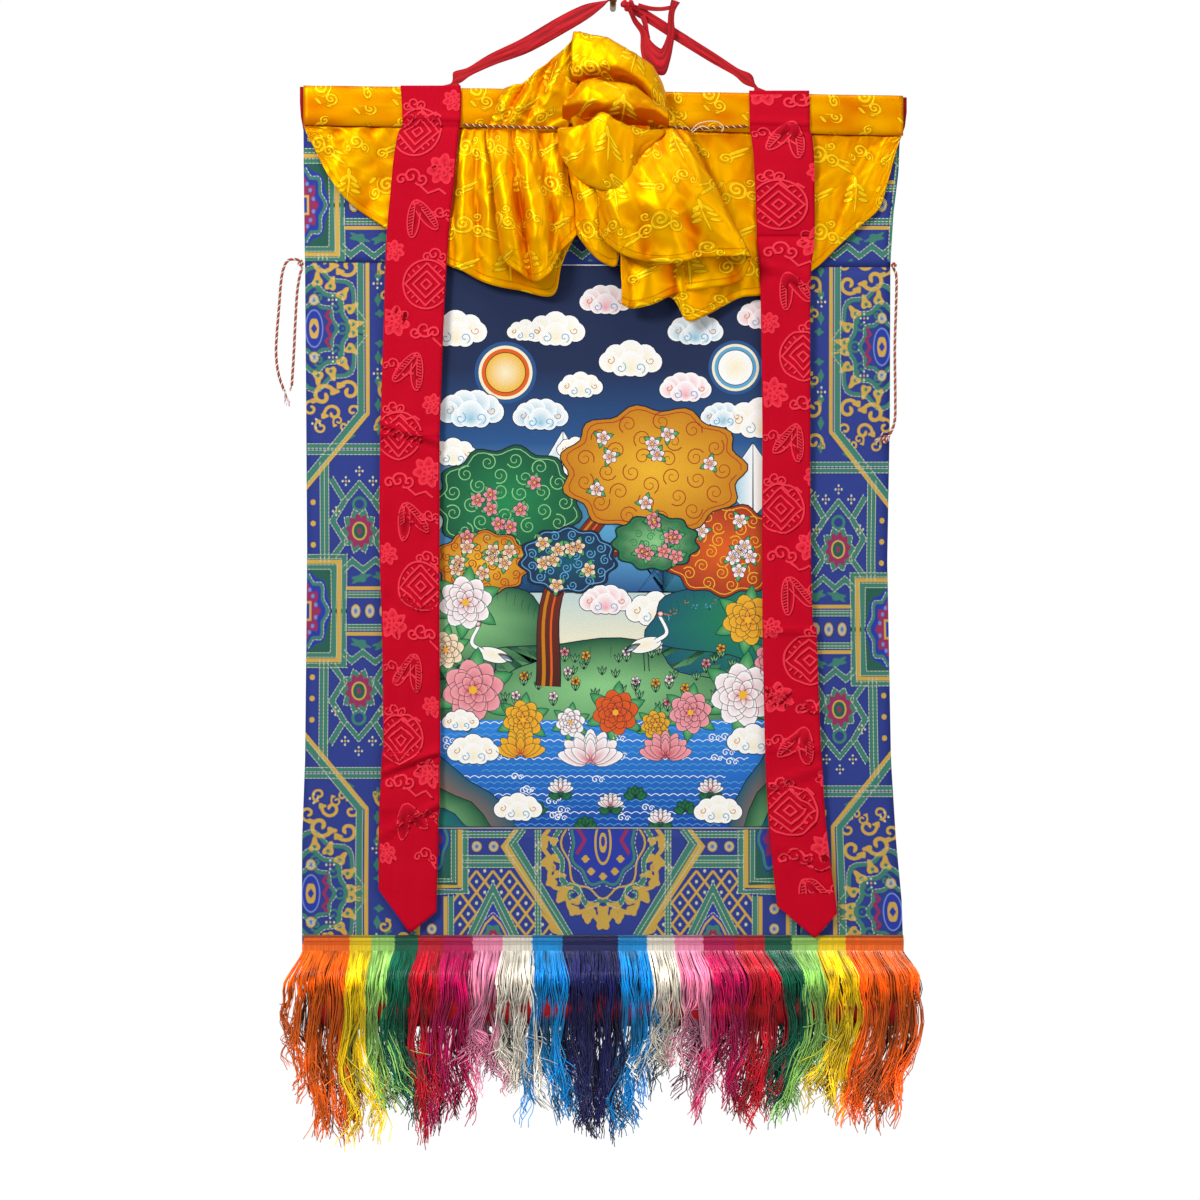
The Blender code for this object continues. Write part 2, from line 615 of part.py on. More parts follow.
def make_knot(look):
    """A small tied lump with the ridges of the tape's turns."""
    bpy.ops.mesh.primitive_uv_sphere_add(segments=18, ring_count=10, radius=1.0)
    obj = take_in("strap_knot", look)
    centre, radii = at(*KNOT_AT), Vector(KNOT_RADII) * MM
    for vertex in obj.data.vertices:
        turn = math.atan2(vertex.co.z, vertex.co.y)
        ridge = 1.0 + 0.10 * math.cos(3 * turn + 4 * vertex.co.x)
        vertex.co = Vector(vertex.co) * ridge
        vertex.co = centre + Vector([vertex.co[i] * radii[i] for i in range(3)])
    obj.data.shade_smooth()


def make_sleeve(look):
    """The flat stick in its wrapping: a long bar with rounded edges, which slopes to the right."""
    bpy.ops.mesh.primitive_cube_add(size=1.0)
    obj = take_in("top_sleeve", look)
    for vertex in obj.data.vertices:
        x = SLEEVE_LEFT if vertex.co.x < 0 else SLEEVE_RIGHT
        z = sleeve_bottom(x) + (SLEEVE_HIGH if vertex.co.z > 0 else 0.0)
        vertex.co = at(x, z, BROCADE_BACK if vertex.co.y > 0 else SLEEVE_FRONT)
    bevel = obj.modifiers.new("rounded", "BEVEL")
    bevel.width = SLEEVE_EDGE_ROUND * MM
    bevel.segments = 3


def make_panels(red, brocade, print_look):
    """The red backing, the four brocade panels round the window, and the picture in it."""
    half = GAP / 2
    peep = (SLEEVE_LEFT - BACKING_PEEP, SLEEVE_RIGHT + BACKING_PEEP)
    under = [sleeve_bottom(x) for x in peep]
    backing = [(peep[1], under[1] + SLEEVE_HIGH), (peep[0], under[0] + SLEEVE_HIGH)]
    backing += [(peep[0], under[0]), *side_edge("left", under[0] - 2, BROCADE_BOTTOM)]
    backing += [*reversed(side_edge("right", under[1] - 2, BROCADE_BOTTOM)), (peep[1], under[1])]
    panel("backing_cloth", backing, BACKING_BACK, BACKING_THICK, red)

    tops = [sleeve_bottom(x) - GAP for x in (SLEEVE_LEFT, SLEEVE_RIGHT)]
    top = side_edge("left", tops[0], SEAM_LEFT_Z + half)
    top += [(WINDOW_LEFT, WINDOW_TOP + half), (WINDOW_RIGHT, WINDOW_TOP + half)]
    top += reversed(side_edge("right", tops[1], SEAM_RIGHT_Z + half))
    panel("brocade_top", top, BROCADE_BACK, BROCADE_THICK, brocade)

    left = side_edge("left", SEAM_LEFT_Z - half, BROCADE_BOTTOM)
    left += [(WINDOW_LEFT - half, BROCADE_BOTTOM), (WINDOW_LEFT - half, WINDOW_TOP - half)]
    panel("brocade_left", left, BROCADE_BACK, BROCADE_THICK, brocade)

    right = [(WINDOW_RIGHT + half, WINDOW_TOP - half), (WINDOW_RIGHT + half, BROCADE_BOTTOM)]
    right += reversed(side_edge("right", SEAM_RIGHT_Z - half, BROCADE_BOTTOM))
    panel("brocade_right", right, BROCADE_BACK, BROCADE_THICK, brocade)

    inner = (WINDOW_LEFT + half, WINDOW_RIGHT - half)
    low = (WINDOW_BOTTOM - half, BROCADE_BOTTOM)
    bottom = [(inner[0], low[0]), (inner[0], low[1]), (inner[1], low[1]), (inner[1], low[0])]
    panel("brocade_bottom", bottom, BROCADE_BACK, BROCADE_THICK, brocade)

    high = (WINDOW_TOP - half, WINDOW_BOTTOM + half)
    picture = [(inner[0], high[0]), (inner[0], high[1]), (inner[1], high[1]), (inner[1], high[0])]
    panel("picture_panel", picture, BROCADE_BACK, PICTURE_THICK, print_look)


def make_bottom_sleeve(look):
    """The red cloth wound round the roller: an oval bar with softened ends."""
    bpy.ops.mesh.primitive_cylinder_add(vertices=24, radius=0.5, depth=1.0)
    obj = take_in("bottom_sleeve", look)
    middle_z = BROCADE_BOTTOM - GAP - ROLLER_HIGH / 2
    middle_depth = BACKING_BACK + BACKING_THICK
    for vertex in obj.data.vertices:
        round_z, round_y, along = -vertex.co.x, vertex.co.y, vertex.co.z
        x = ROLLER_LEFT if along < 0 else ROLLER_RIGHT
        vertex.co = at(x, middle_z + round_z * ROLLER_HIGH, middle_depth - round_y * ROLLER_DEEP)
    bevel = obj.modifiers.new("soft ends", "BEVEL")
    bevel.width = 1.5 * MM
    bevel.segments = 2
    bevel.limit_method = "ANGLE"
    bevel.angle_limit = math.radians(60)
    obj.data.shade_smooth()


def make_ribbon(name, table, point, look):
    """A ribbon that hangs over the silk, with creases across it and a pointed end."""
    rows = []
    for z, left_x, right_x, depth in table:
        rows.append([at(mix(left_x, right_x, share), z, depth) for share in (0.0, 0.5, 1.0)])
    last_depth = table[-1][3]
    (left_x, left_z), (tip_x, tip_z), (right_x, right_z) = point
    rows[-1][1] = at((left_x + right_x) / 2, (left_z + right_z) / 2 - 4.0, last_depth)
    rows.append([at(left_x, left_z, last_depth), at(tip_x, tip_z, last_depth),
                 at(right_x, right_z, last_depth)])
    sheet(name, rows, CLOTH_THICK, look)


def leaf(name, folds, across_steps=2, along_steps=5):
    """One stretch of silk: each fold is the three places that it passes, from root to hem."""
    columns = []
    for i in range((len(folds) - 1) * across_steps + 1):
        share = i / ((len(folds) - 1) * across_steps)
        curve = [smooth_through([fold[k] for fold in folds], share) for k in range(3)]
        columns.append([smooth_through(curve, s / along_steps) for s in range(along_steps + 1)])
    return sheet(name, columns, CLOTH_THICK)


def hanging_fold(root, hem, belly):
    """A fold that hangs from its root to its hem and swells forward between them."""
    return (root, (root + hem) / 2 + Vector((0, -belly * MM, 0)), hem)


def side_folds(table):
    """The folds of a leaf that hangs just under the top sleeve."""
    return [
        hanging_fold(at(rx, sleeve_bottom(rx) - GAP, rd), at(hx, hz, hd), belly)
        for fold, rx, rd, hx, hz, hd, belly in table
    ]


def free_folds(table):
    return [
        hanging_fold(at(rx, rz, rd), at(hx, hz, hd), belly)
        for fold, rx, rz, rd, hx, hz, hd, belly in table
    ]


def ridge_folds(table):
    return [tuple(at(*place) for place in row[1:]) for row in table]


def make_silk(look):
    """The silk cover: leaves of cloth that all run into one gathered roll and one bunch."""
    route = [Vector((x, depth, radius)) for x, depth, radius in GATHER_ROUTE]
    route = [smooth_through(route, i / 16) for i in range(17)]
    roll = [at(x, sleeve_bottom(x) - GAP - radius, depth) for x, depth, radius in route]
    roll = tube("gathered_roll", roll, 2.0, radii=[radius for x, depth, radius in route])
    silk = as_mesh(roll, "silk_cover", look)
    bpy.ops.mesh.primitive_uv_sphere_add(segments=12, ring_count=7, radius=1.0)
    core = take_in("bunch_core")
    across, up, deep = CORE_RADII
    for vertex in core.data.vertices:
        vertex.co = at(*CORE_AT) + Vector((vertex.co.x * across, vertex.co.y * deep,
                                           vertex.co.z * up)) * MM
    leaves = [
        core,
        leaf("side_left", side_folds(SIDE_LEFT_ROWS), across_steps=1),
        leaf("tubes", side_folds(TUBES_ROWS)),
        leaf("side_right", side_folds(SIDE_RIGHT_ROWS), across_steps=1),
        leaf("turned_lobe", free_folds(LOBE_ROWS)),
        leaf("centre_fold", free_folds(CENTRE_FOLD_ROWS)),
        leaf("slope_left", free_folds(SLOPE_LEFT_ROWS)),
        leaf("slope_right", free_folds(SLOPE_RIGHT_ROWS)),
        leaf("peak", ridge_folds(PEAK_ROWS)),
        leaf("swag", ridge_folds(SWAG_ROWS)),
        leaf("pocket", ridge_folds(POCKET_ROWS)),
    ]
    join(silk, leaves)


def make_cord(name, route, look):
    """A thin cord along a smooth curve through its route."""
    places = [at(*place) for place in route]
    length = sum((b - a).length for a, b in zip(places, places[1:])) / MM
    steps = max(6, round(length / CORD_POINT_STEP))
    tube(name, [smooth_through(places, i / steps) for i in range(steps + 1)], CORD_THICK, look)


def strand_points(x, row, reach):
    """Where one strand runs: out of the heading, over the roller, and down to its tip."""
    at_roller, at_middle, at_tip, tip_z = row_at(FRINGE_ROWS, x)
    root_z = HEADING_TOP - HEADING_HIGH
    root_depth = HEADING_BACK + HEADING_THICK / 2
    roller_front = BACKING_BACK + BACKING_THICK + ROLLER_DEEP / 2 + ROLLER_CLEAR
    depth = roller_front + row * STRAND_ROW_STEP
    roller_z = BROCADE_BOTTOM - 6.0
    low_z = roller_z + (tip_z - roller_z) * reach
    return [
        at(x, root_z + HEADING_HIGH / 3, root_depth),
        at(x, root_z - 1.5, root_depth + 0.6 * row),
        at(at_roller, roller_z, depth),
        at(at_middle, mix(roller_z, low_z, 0.5), depth),
        at(at_tip, low_z, depth - 1.5),
    ]


def make_fringe(look):
    """The heading strip with its strands, which stand apart below it."""
    left, right = FRINGE_ROWS[0][0], FRINGE_ROWS[-1][0]
    top, bottom = HEADING_TOP, HEADING_TOP - HEADING_HIGH
    strip = panel("heading_strip", [(left, top), (left, bottom), (right, bottom), (right, top)],
                  HEADING_BACK, HEADING_THICK)
    section = bpy.data.curves.new("strand_section", "CURVE")
    section.dimensions = "2D"
    ring = section.splines.new("POLY")
    ring.points.add(2)
    for i, point in enumerate(ring.points):
        turn = math.radians(90 + 120 * i)
        point.co = (math.cos(turn) * MM, math.sin(turn) * MM, 0, 1)
    ring.use_cyclic_u = True
    guide = node("strand_section", section)

    draw = random.Random(STRAND_SEED)
    strands = bpy.data.curves.new("strands", "CURVE")
    strands.dimensions = "3D"
    strands.bevel_mode = "OBJECT"
    strands.bevel_object = guide
    strands.use_fill_caps = True
    step = (right - left) / STRANDS_A_ROW
    for row in range(STRAND_ROWS):
        for i in range(STRANDS_A_ROW):
            x = left + step * (i + 0.25 + 0.5 * row)
            reach = 1.0 + TIP_SPREAD * draw.uniform(-1.0, 0.2)
            spline = strands.splines.new("POLY")
            points = strand_points(x, row, reach)
            spline.points.add(len(points) - 1)
            widths = (STRAND_ROOT, STRAND_ROOT, STRAND_BODY, STRAND_BODY, STRAND_TIP)
            for point, place, width in zip(spline.points, points, widths):
                point.co = (*place, 1.0)
                point.radius = width
    hanging = as_mesh(node("strand_curves", strands), "strands")
    join(as_mesh(strip, "fringe", look), [hanging])


def main():
    start()
    metal = material("dark_brass", (0.16, 0.09, 0.04), 0.45, 0.8)
    tape_red = material("red_tape", (0.55, 0.01, 0.03), 0.75)
    cloth_red = material("red_cotton", (0.50, 0.02, 0.02), 0.85)
    silk = material("yellow_silk", (0.85, 0.50, 0.01), 0.35)
    brocade = material("blue_brocade", (0.05, 0.09, 0.30), 0.70)
    print_look = material("printed_cotton", (0.25, 0.40, 0.35), 0.80)
    ribbon = material("red_damask", (0.50, 0.01, 0.03), 0.45)
    cord = material("twisted_cord", (0.50, 0.20, 0.10), 0.80)
    yarn = material("rayon_yarn", (0.60, 0.15, 0.10), 0.45)

    make_hook(metal)
    make_tapes(tape_red)
    make_knot(tape_red)
    make_sleeve(silk)
    make_panels(cloth_red, brocade, print_look)
    make_bottom_sleeve(cloth_red)
    make_ribbon("ribbon_left", RIBBON_LEFT_ROWS, RIBBON_LEFT_POINT, ribbon)
    make_ribbon("ribbon_right", RIBBON_RIGHT_ROWS, RIBBON_RIGHT_POINT, ribbon)
    make_silk(silk)
    make_cord("veil_cord_left", VEIL_CORD_LEFT_ROUTE, cord)
    make_cord("veil_cord_right", VEIL_CORD_RIGHT_ROUTE, cord)
    make_cord("side_cord_left_outer", SIDE_CORD_LEFT_OUTER_ROUTE, cord)
    make_cord("side_cord_left_inner", SIDE_CORD_LEFT_INNER_ROUTE, cord)
    make_cord("side_cord_right", SIDE_CORD_RIGHT_ROUTE, cord)
    make_fringe(yarn)


main()
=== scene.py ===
# %% [markdown]
# # A scroll painting in a brocade frame
# A hanging of this kind is sewn like a garment. A printed cotton picture sits in a window of blue
# brocade, a yellow silk cover is gathered up over it, two red ribbons hold the gathers, and a fringe
# of many colours hides the roller. A red tape carries it all from one wall hook.
#
# The solids of all these pieces are already packed. This script dresses them: it loads the solids,
# sets up the camera and the light, and then makes each cloth, cord and thread in the solids' places.

import random
from math import ceil, cos, dist, exp, floor, hypot, pi, radians, sin, sqrt, tau

import bpy
from mathutils import Matrix, Vector, noise


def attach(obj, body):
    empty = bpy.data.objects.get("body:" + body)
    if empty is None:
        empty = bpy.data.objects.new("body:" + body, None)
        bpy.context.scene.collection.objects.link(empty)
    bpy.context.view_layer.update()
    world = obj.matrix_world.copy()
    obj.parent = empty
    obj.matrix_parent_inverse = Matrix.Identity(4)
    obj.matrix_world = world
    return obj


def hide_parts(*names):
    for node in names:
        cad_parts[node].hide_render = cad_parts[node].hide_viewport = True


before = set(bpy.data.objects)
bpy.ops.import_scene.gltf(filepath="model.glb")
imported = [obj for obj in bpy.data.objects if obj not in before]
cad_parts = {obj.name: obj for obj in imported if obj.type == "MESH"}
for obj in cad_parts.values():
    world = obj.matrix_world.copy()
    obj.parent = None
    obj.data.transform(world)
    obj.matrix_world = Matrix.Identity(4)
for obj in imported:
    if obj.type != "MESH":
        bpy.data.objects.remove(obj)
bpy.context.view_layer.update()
print(f"{len(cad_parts)} solids loaded")

# %% [markdown]
# ## A few helpers
# Lengths are in millimetres in all tables, as a sewing pattern gives them, and `at` turns them into
# metres. A depth is a distance in front of the wall. Colours are written as a colour picker shows
# them, and one function makes them linear.

# %% Helpers for places, colours and nodes
MM = 0.001


def at(x, z, depth):
    """The place at x and z millimetres that lies this far in front of the wall, in metres."""
    return Vector((x, -depth, z)) * MM


def linear(code):
    """A picked colour, such as #C8102A, as the linear numbers that a material needs."""
    parts = [int(code[i : i + 2], 16) / 255 for i in (1, 3, 5)]
    return (*[p / 12.92 if p <= 0.04045 else ((p + 0.055) / 1.055) ** 2.4 for p in parts], 1.0)


def mix(a, b, share):
    return a + (b - a) * share


def clamped(value, low=0.0, high=1.0):
    """The value, or the limit that it passes."""
    return min(max(value, low), high)


def wander(*place):
    """A number from about -1 to 1 that changes smoothly from place to place."""
    return noise.noise(Vector(place))


def smooth_through(points, share):
    """A smooth curve through all the points, at a share of the way from the first to the last."""
    place = clamped(share) * (len(points) - 1)
    i = min(int(place), len(points) - 2)
    t = place - i
    p1, p2 = points[i], points[i + 1]
    p0 = points[i - 1] if i > 0 else p1 * 2 - p2
    p3 = points[i + 2] if i + 2 < len(points) else p2 * 2 - p1
    return 0.5 * (
        p1 * 2 + (p2 - p0) * t + (p0 * 2 - p1 * 5 + p2 * 4 - p3) * t**2
        + (p1 * 3 - p0 - p2 * 3 + p3) * t**3
    )


def along(points, steps):
    """Steps + 1 places on the smooth curve through the points."""
    return [smooth_through(points, i / steps) for i in range(steps + 1)]


def row_at(rows, x):
    """The values of a table at x, which is its first column and rises or falls from row to row."""
    ordered = sorted(rows)
    if x <= ordered[0][0]:
        return ordered[0][1:]
    for low, high in zip(ordered, ordered[1:]):
        if x <= high[0]:
            share = (x - low[0]) / (high[0] - low[0])
            return tuple(mix(a, b, share) for a, b in zip(low[1:], high[1:]))
    return ordered[-1][1:]


def add(tree, kind, *values, out=0, **settings):
    """Adds one node, fills its inputs in order, or by the names in a dict, and gives its output.
    A value that comes from another node is linked."""
    made = tree.nodes.new(kind)
    for name, value in settings.items():
        setattr(made, name, value)
    named = values and isinstance(values[0], dict)
    for key, value in (values[0] if named else dict(enumerate(values))).items():
        if isinstance(value, bpy.types.NodeSocket):
            tree.links.new(value, made.inputs[key])
        elif value is not None:
            made.inputs[key].default_value = value
    return made.outputs[out]


def math_of(tree, operation, *values):
    return add(tree, "ShaderNodeMath", *values, operation=operation)


def two_tone(tree, share, dark, light):
    """A blend of two colours, each of them picked or made by a node."""
    tones = [linear(tone) if isinstance(tone, str) else tone for tone in (dark, light)]
    return add(tree, "ShaderNodeMix", {0: share, 6: tones[0], 7: tones[1]}, data_type="RGBA", out=2)


def bump(tree, height, deep, strength=1.0, under=None):
    """A surface raised by a height from 0 to 1, times so many millimetres, over a coarser bump."""
    return add(tree, "ShaderNodeBump", {"Strength": strength, "Distance": deep * MM, "Height": height,
                                        "Normal": under})


def material(name, roughness, **constants):
    """A new material, its node tree and its shader. Constants are shader inputs by name."""
    made = bpy.data.materials.new(name)
    made.use_nodes = True
    shader = made.node_tree.nodes["Principled BSDF"]
    shader.inputs["Roughness"].default_value = roughness
    for key, value in constants.items():
        shader.inputs[key.replace("_", " ")].default_value = value
    return made, made.node_tree, shader


def plug(shader, **values):
    """Links nodes to the shader's inputs of these names."""
    for key, value in values.items():
        shader.id_data.links.new(value, shader.inputs[key.replace("_", " ")])


def put(obj):
    """Puts an object into the scene."""
    bpy.context.scene.collection.objects.link(obj)
    return obj


def piece(name, mesh, looks, replaces=()):
    """Puts a mesh into the scene as a piece of the object that hangs still on the wall."""
    mesh.name = name
    obj = put(bpy.data.objects.new(name, mesh))
    for look in looks:
        mesh.materials.append(look)
    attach(obj, "root")
    if replaces:
        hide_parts(*replaces)
    return obj


def length_of(line):
    """How long a line of places is, in metres."""
    return sum((b - a).length for a, b in zip(line, line[1:]))


def lay_out(mesh, places):
    """Keeps where each corner lies on its cloth, in millimetres."""
    layer = mesh.uv_layers.new(name="cloth_mm")
    layer.data.foreach_set("uv", [value for place in places for value in place])


def measure(mesh, name, values):
    """Keeps one number for each place of a mesh."""
    mesh.attributes.new(name, "FLOAT", "POINT").data.foreach_set("value", values)


def grid_mesh(name, rows, closed=False):
    """Cloth as quads between rows of places. Its UV map holds millimetres along and across the cloth,
    and `from_end` holds each place's distance from the last column."""
    count = len(rows[0])
    points = [point for row in rows for point in row]
    across = [0.0]
    for a, b in zip(rows, rows[1:]):
        across.append(across[-1] + sum((q - p).length for p, q in zip(a, b)) / count / MM)
    down = []
    for row in rows:
        run = [0.0]
        for p, q in zip(row, row[1:]):
            run.append(run[-1] + (q - p).length / MM)
        down.append(run)
    last = len(rows) if closed else len(rows) - 1
    faces, places = [], []
    for r in range(last):
        n = (r + 1) % len(rows)
        wide = across[r + 1] if n else across[-1] + (rows[0][0] - rows[-1][0]).length / MM
        for c in range(count - 1):
            faces.append((r * count + c, r * count + c + 1, n * count + c + 1, n * count + c))
            places += [(across[r], down[r][c]), (across[r], down[r][c + 1]),
                       (wide, down[n][c + 1]), (wide, down[n][c])]
    mesh = bpy.data.meshes.new(name)
    mesh.from_pydata(points, [], faces)
    lay_out(mesh, places)
    measure(mesh, "from_end", [run[-1] - value for run in down for value in run])
    mesh.shade_smooth()
    mesh.update()
    return mesh


def thicken(obj, thick, offset=0.0):
    """Gives a cloth its thickness in millimetres."""
    solid = obj.modifiers.new("thickness", "SOLIDIFY")
    solid.thickness = thick * MM
    solid.offset = offset
    return obj


print("helpers ready")

# %% [markdown]
# ## The measurements
# These tables say where each edge and fold lies, as a sewing pattern would. The solids were built
# from the same measurements, so every cloth lands in its solid's place. Only the folds of the bunch
# were moved by some millimetres afterwards.

# %% Tables of edges, folds and routes
GAP = 0.3  # between pieces that touch
BACKING_BACK = 17.0
BACKING_THICK = 1.0
BROCADE_BACK = BACKING_BACK + BACKING_THICK + GAP
BROCADE_THICK = 1.2
BROCADE_FRONT = BROCADE_BACK + BROCADE_THICK
SLEEVE_DEEP = 9.0

# The top sleeve slopes down to the right, as it hangs.
SLEEVE_LEFT, SLEEVE_RIGHT = -247.5, 232.0
SLEEVE_TOP_LEFT = -64.5
SLEEVE_HIGH = 32.5
SLEEVE_SLOPE = -0.0175
BACKING_PEEP = 3.2  # red cloth that shows past each end of the sleeve

# The brocade's side edges, which draw in a little at the middle.
EDGE_ROWS = (
    # z, left_x, right_x
    (-60, -248, 231), (-130, -247.5, 228.5), (-172, -247, 223.5), (-208, -246.5, 222),
    (-332, -245.5, 221.5), (-444, -244.8, 219.5), (-604, -246.4, 222.5), (-668, -248.8, 226.5),
    (-716, -249, 231), (-790, -248.5, 233.5),
)

# The picture, and the window that the brocade leaves for it.
WINDOW_LEFT, WINDOW_RIGHT = -162.4, 149.6
WINDOW_TOP, WINDOW_BOTTOM = -207.2, -659.2
SEAM_LEFT_Z, SEAM_RIGHT_Z = -205.6, -209.6  # the seam under the top panel
BROCADE_BOTTOM = -781.6

ROLLER_HIGH, ROLLER_DEEP = 36.0, 22.0
ROLLER_LEFT, ROLLER_RIGHT = -243.0, 233.0

# The red ribbons: how their edges run, and how far they stand off the wall. A crease is a row that
# stands further out or further in than its neighbours.
RIBBON_LEFT_ROWS = (
    # z, left_x, right_x, depth
    (-65.6, -169.5, -121.5, 28.4), (-80, -168.5, -121, 28.5), (-94, -168, -121.5, 28.5),
    (-99, -168.5, -122.5, 27.6), (-104, -171.5, -123, 28.8), (-124, -175, -125, 30.2),
    (-150, -177.5, -127.5, 28.6), (-190, -181, -131.5, 27.4), (-252, -183, -135, 26.6),
    (-330, -185.5, -138, 26), (-343, -186, -138.5, 27.4), (-356, -186, -138.5, 25.6),
    (-430, -186.5, -138.5, 25.2), (-500, -184.5, -138.5, 25.8), (-586, -183.5, -138, 25),
    (-600, -184.5, -138, 26.6), (-612, -185, -138.5, 24.8), (-640, -186.5, -138.5, 26),
    (-654, -187, -139.5, 24.6), (-707, -187.2, -140.6, 24.8),
)
RIBBON_RIGHT_ROWS = (
    (-69.6, 108.5, 156.5, 28.4), (-84, 108.8, 157, 28.5), (-98, 109, 157, 28.5),
    (-103, 109.5, 157.5, 27.6), (-108, 110.5, 159, 28.8), (-128, 112.5, 160.5, 30.2),
    (-178, 114.5, 161, 28.6), (-186, 114.8, 160.5, 27.2), (-194, 115, 160.5, 28.2),
    (-226, 117.5, 157.5, 26.8), (-330, 119.2, 157.5, 26), (-400, 119, 157.5, 25.6),
    (-486, 119.2, 159, 26.2), (-500, 119.4, 162.5, 27.2), (-514, 119.6, 163, 25.4),
    (-580, 121, 165.5, 25.2), (-594, 121.4, 166, 26.8), (-608, 121.8, 167, 25),
    (-660, 124.8, 170.5, 25.2), (-720, 131, 178.5, 24.8),
)
# The pointed end under the last row: x and z of its three corners.
RIBBON_LEFT_POINT = ((-187.0, -707.5), (-162.0, -742.5), (-141.0, -725.0))
RIBBON_RIGHT_POINT = ((131.2, -720.5), (161.5, -746.5), (179.0, -726.0))

# The hanging tape. A row is a place along its middle: its width there, and how far the tape is turned
# from facing the front (0) to lying flat on the hook (90).
STRAP_LEFT_ROWS = (
    # x, z, depth, width, turn
    (-126, -59, 21.4, 9.5, 0), (-114, -53, 21.2, 7, 10), (-96, -43.5, 21, 9.5, 0),
    (-70, -32.5, 20.8, 12.5, 0), (-42, -16.5, 20.4, 13.5, 0), (-22, -5.5, 20, 12, 12),
    (-10, 0.6, 19, 9, 50), (-4, 3.6, 18.6, 8, 80), (0, 4.1, 18.6, 8, 90), (3, 3.6, 18.6, 8, 86),
)
STRAP_LEFT_FOOT = ((-140.0, -65.4), (-121.5, -65.9))
STRAP_RIGHT_ROWS = (
    (109, -60.5, 21.2, 9, 0), (98, -53.5, 21, 6.5, -8), (80, -42.5, 20.8, 8, 0),
    (52, -25, 20.6, 8.5, 0), (34, -13.5, 20.2, 8.5, 8), (22, -6, 19.2, 8.5, 0),
    (13, -1.6, 18.6, 7, 0),
)
STRAP_RIGHT_FOOT = ((113.0, -70.2), (128.5, -70.5))
KNOT_AT = (11.6, -0.6, 24.4)
# The bow is given by its two edges, from the knot down, round the fold and up again.
BOW_BAND_ROWS = (
    # outer_x, outer_z, inner_x, inner_z, depth
    (10.8, -2.4, 15, -3.8, 29.4), (12.6, -7.6, 16.8, -8.6, 28.4), (16.2, -15.4, 20.2, -13.6, 26.2),
    (21.6, -24, 27.2, -21.6, 25.6), (22, -36, 29.6, -28.4, 25.8), (24, -44.8, 34, -33.2, 26),
    (30.4, -52.8, 37.2, -35.4, 26.2), (35.2, -56.5, 38.2, -35.8, 26.2),
    (41.6, -56.3, 39.4, -34.6, 26), (45.2, -46.4, 41.6, -29.6, 25.6),
    (47.8, -34.4, 43.2, -24, 25.4), (49.4, -22.4, 43.6, -16, 25.2), (48.8, -12.8, 44, -9.6, 25),
    (49.8, -5, 45.2, -3.2, 25), (53.6, 1.2, 46.6, 3.8, 25),
)
BOW_EYE_ROWS = (
    # x, z, depth, width, turn
    (23.6, -9, 22.7, 4.4, 0), (25.8, -16, 22.7, 4, 0), (26.8, -22, 22.8, 3.8, 0),
    (28, -27.5, 22.9, 3.8, 0),
)
BOW_STRAND_ROWS = (
    (20, -0.8, 23, 3.8, 0), (29, -3.2, 23.2, 3.6, 0), (38, -3.8, 23.4, 3.2, 0),
    (45.6, -2.8, 23.4, 3.2, 0),
)

# The silk cover. Each leaf is one stretch of the same cloth, and each row is one fold of it, from the
# root, which the gathering holds, to the hem. The belly is how far the fold swells out half way.
SIDE_LEFT_ROWS = (
    # root_x, root_depth, hem_x, hem_z, hem_depth, belly
    (-247, 22.6, -245.5, -101.5, 22.6, 0), (-236, 22.6, -239, -114.5, 22.6, 0.2),
    (-222.5, 22.6, -226.5, -138.5, 23, 0.6), (-206.5, 22.8, -209, -160, 23.2, 0.8),
    (-178.5, 22.8, -181.5, -179, 23.4, 0.6), (-146.5, 22.8, -154.5, -196, 23.4, 0.4),
    (-125.5, 23.4, -131, -209, 24, 1), (-117.5, 24.6, -121, -213, 26.5, 5),
    (-110, 25.8, -108, -220, 25, 3), (-104, 26.6, -93.5, -225.5, 28, 7),
    (-98, 26.8, -74.5, -229, 25.5, 2), (-86, 26.8, -48, -233, 27, 2),
    (-72, 26.8, -41, -209, 28, 2), (-58.5, 26.8, -33, -191, 29, 1.5),
    (-45.5, 26.8, -28, -183, 30, 1),
)
TUBES_ROWS = (
    (-97, 29.6, -77.5, -197.5, 31, 3), (-101, 30.4, -87, -200, 36, 7),
    (-96, 30.8, -82.5, -210.5, 45, 11), (-89.5, 30.8, -73, -217, 46, 12),
    (-82, 29.8, -65.5, -222.5, 38, 5), (-74, 30.8, -58.5, -223, 46, 12),
    (-65, 30.8, -49.5, -216, 45, 11), (-56.5, 30, -42.5, -201, 38, 6),
    (-48.5, 30.8, -35, -192, 36, 9), (-41, 29.8, -29, -185, 33.5, 4),
)
SIDE_RIGHT_ROWS = (
    (21.5, 26.8, 33.5, -233.5, 26.5, 1), (31, 26.8, 48, -236, 28.5, 2),
    (41, 26.8, 59, -253.5, 32, 4), (50.5, 26.8, 73.5, -249.5, 28.5, 4),
    (65, 26.6, 89, -241, 26, 2), (82.5, 25.2, 102.5, -234.5, 26.5, 4),
    (108, 23.6, 120, -232, 24, 1), (133.5, 22.8, 141.5, -223, 23.4, 0.5),
    (159, 22.8, 162.5, -210.5, 23.4, 0.4), (180, 22.6, 180, -193.5, 23.2, 0.8),
    (197.5, 22.6, 199, -176, 23.2, 0.8), (212, 22.6, 213, -162.5, 22.8, 0.5),
    (221.5, 22.6, 220, -140, 22.6, 0.2), (230.5, 22.6, 228, -110, 22.6, 0),
)
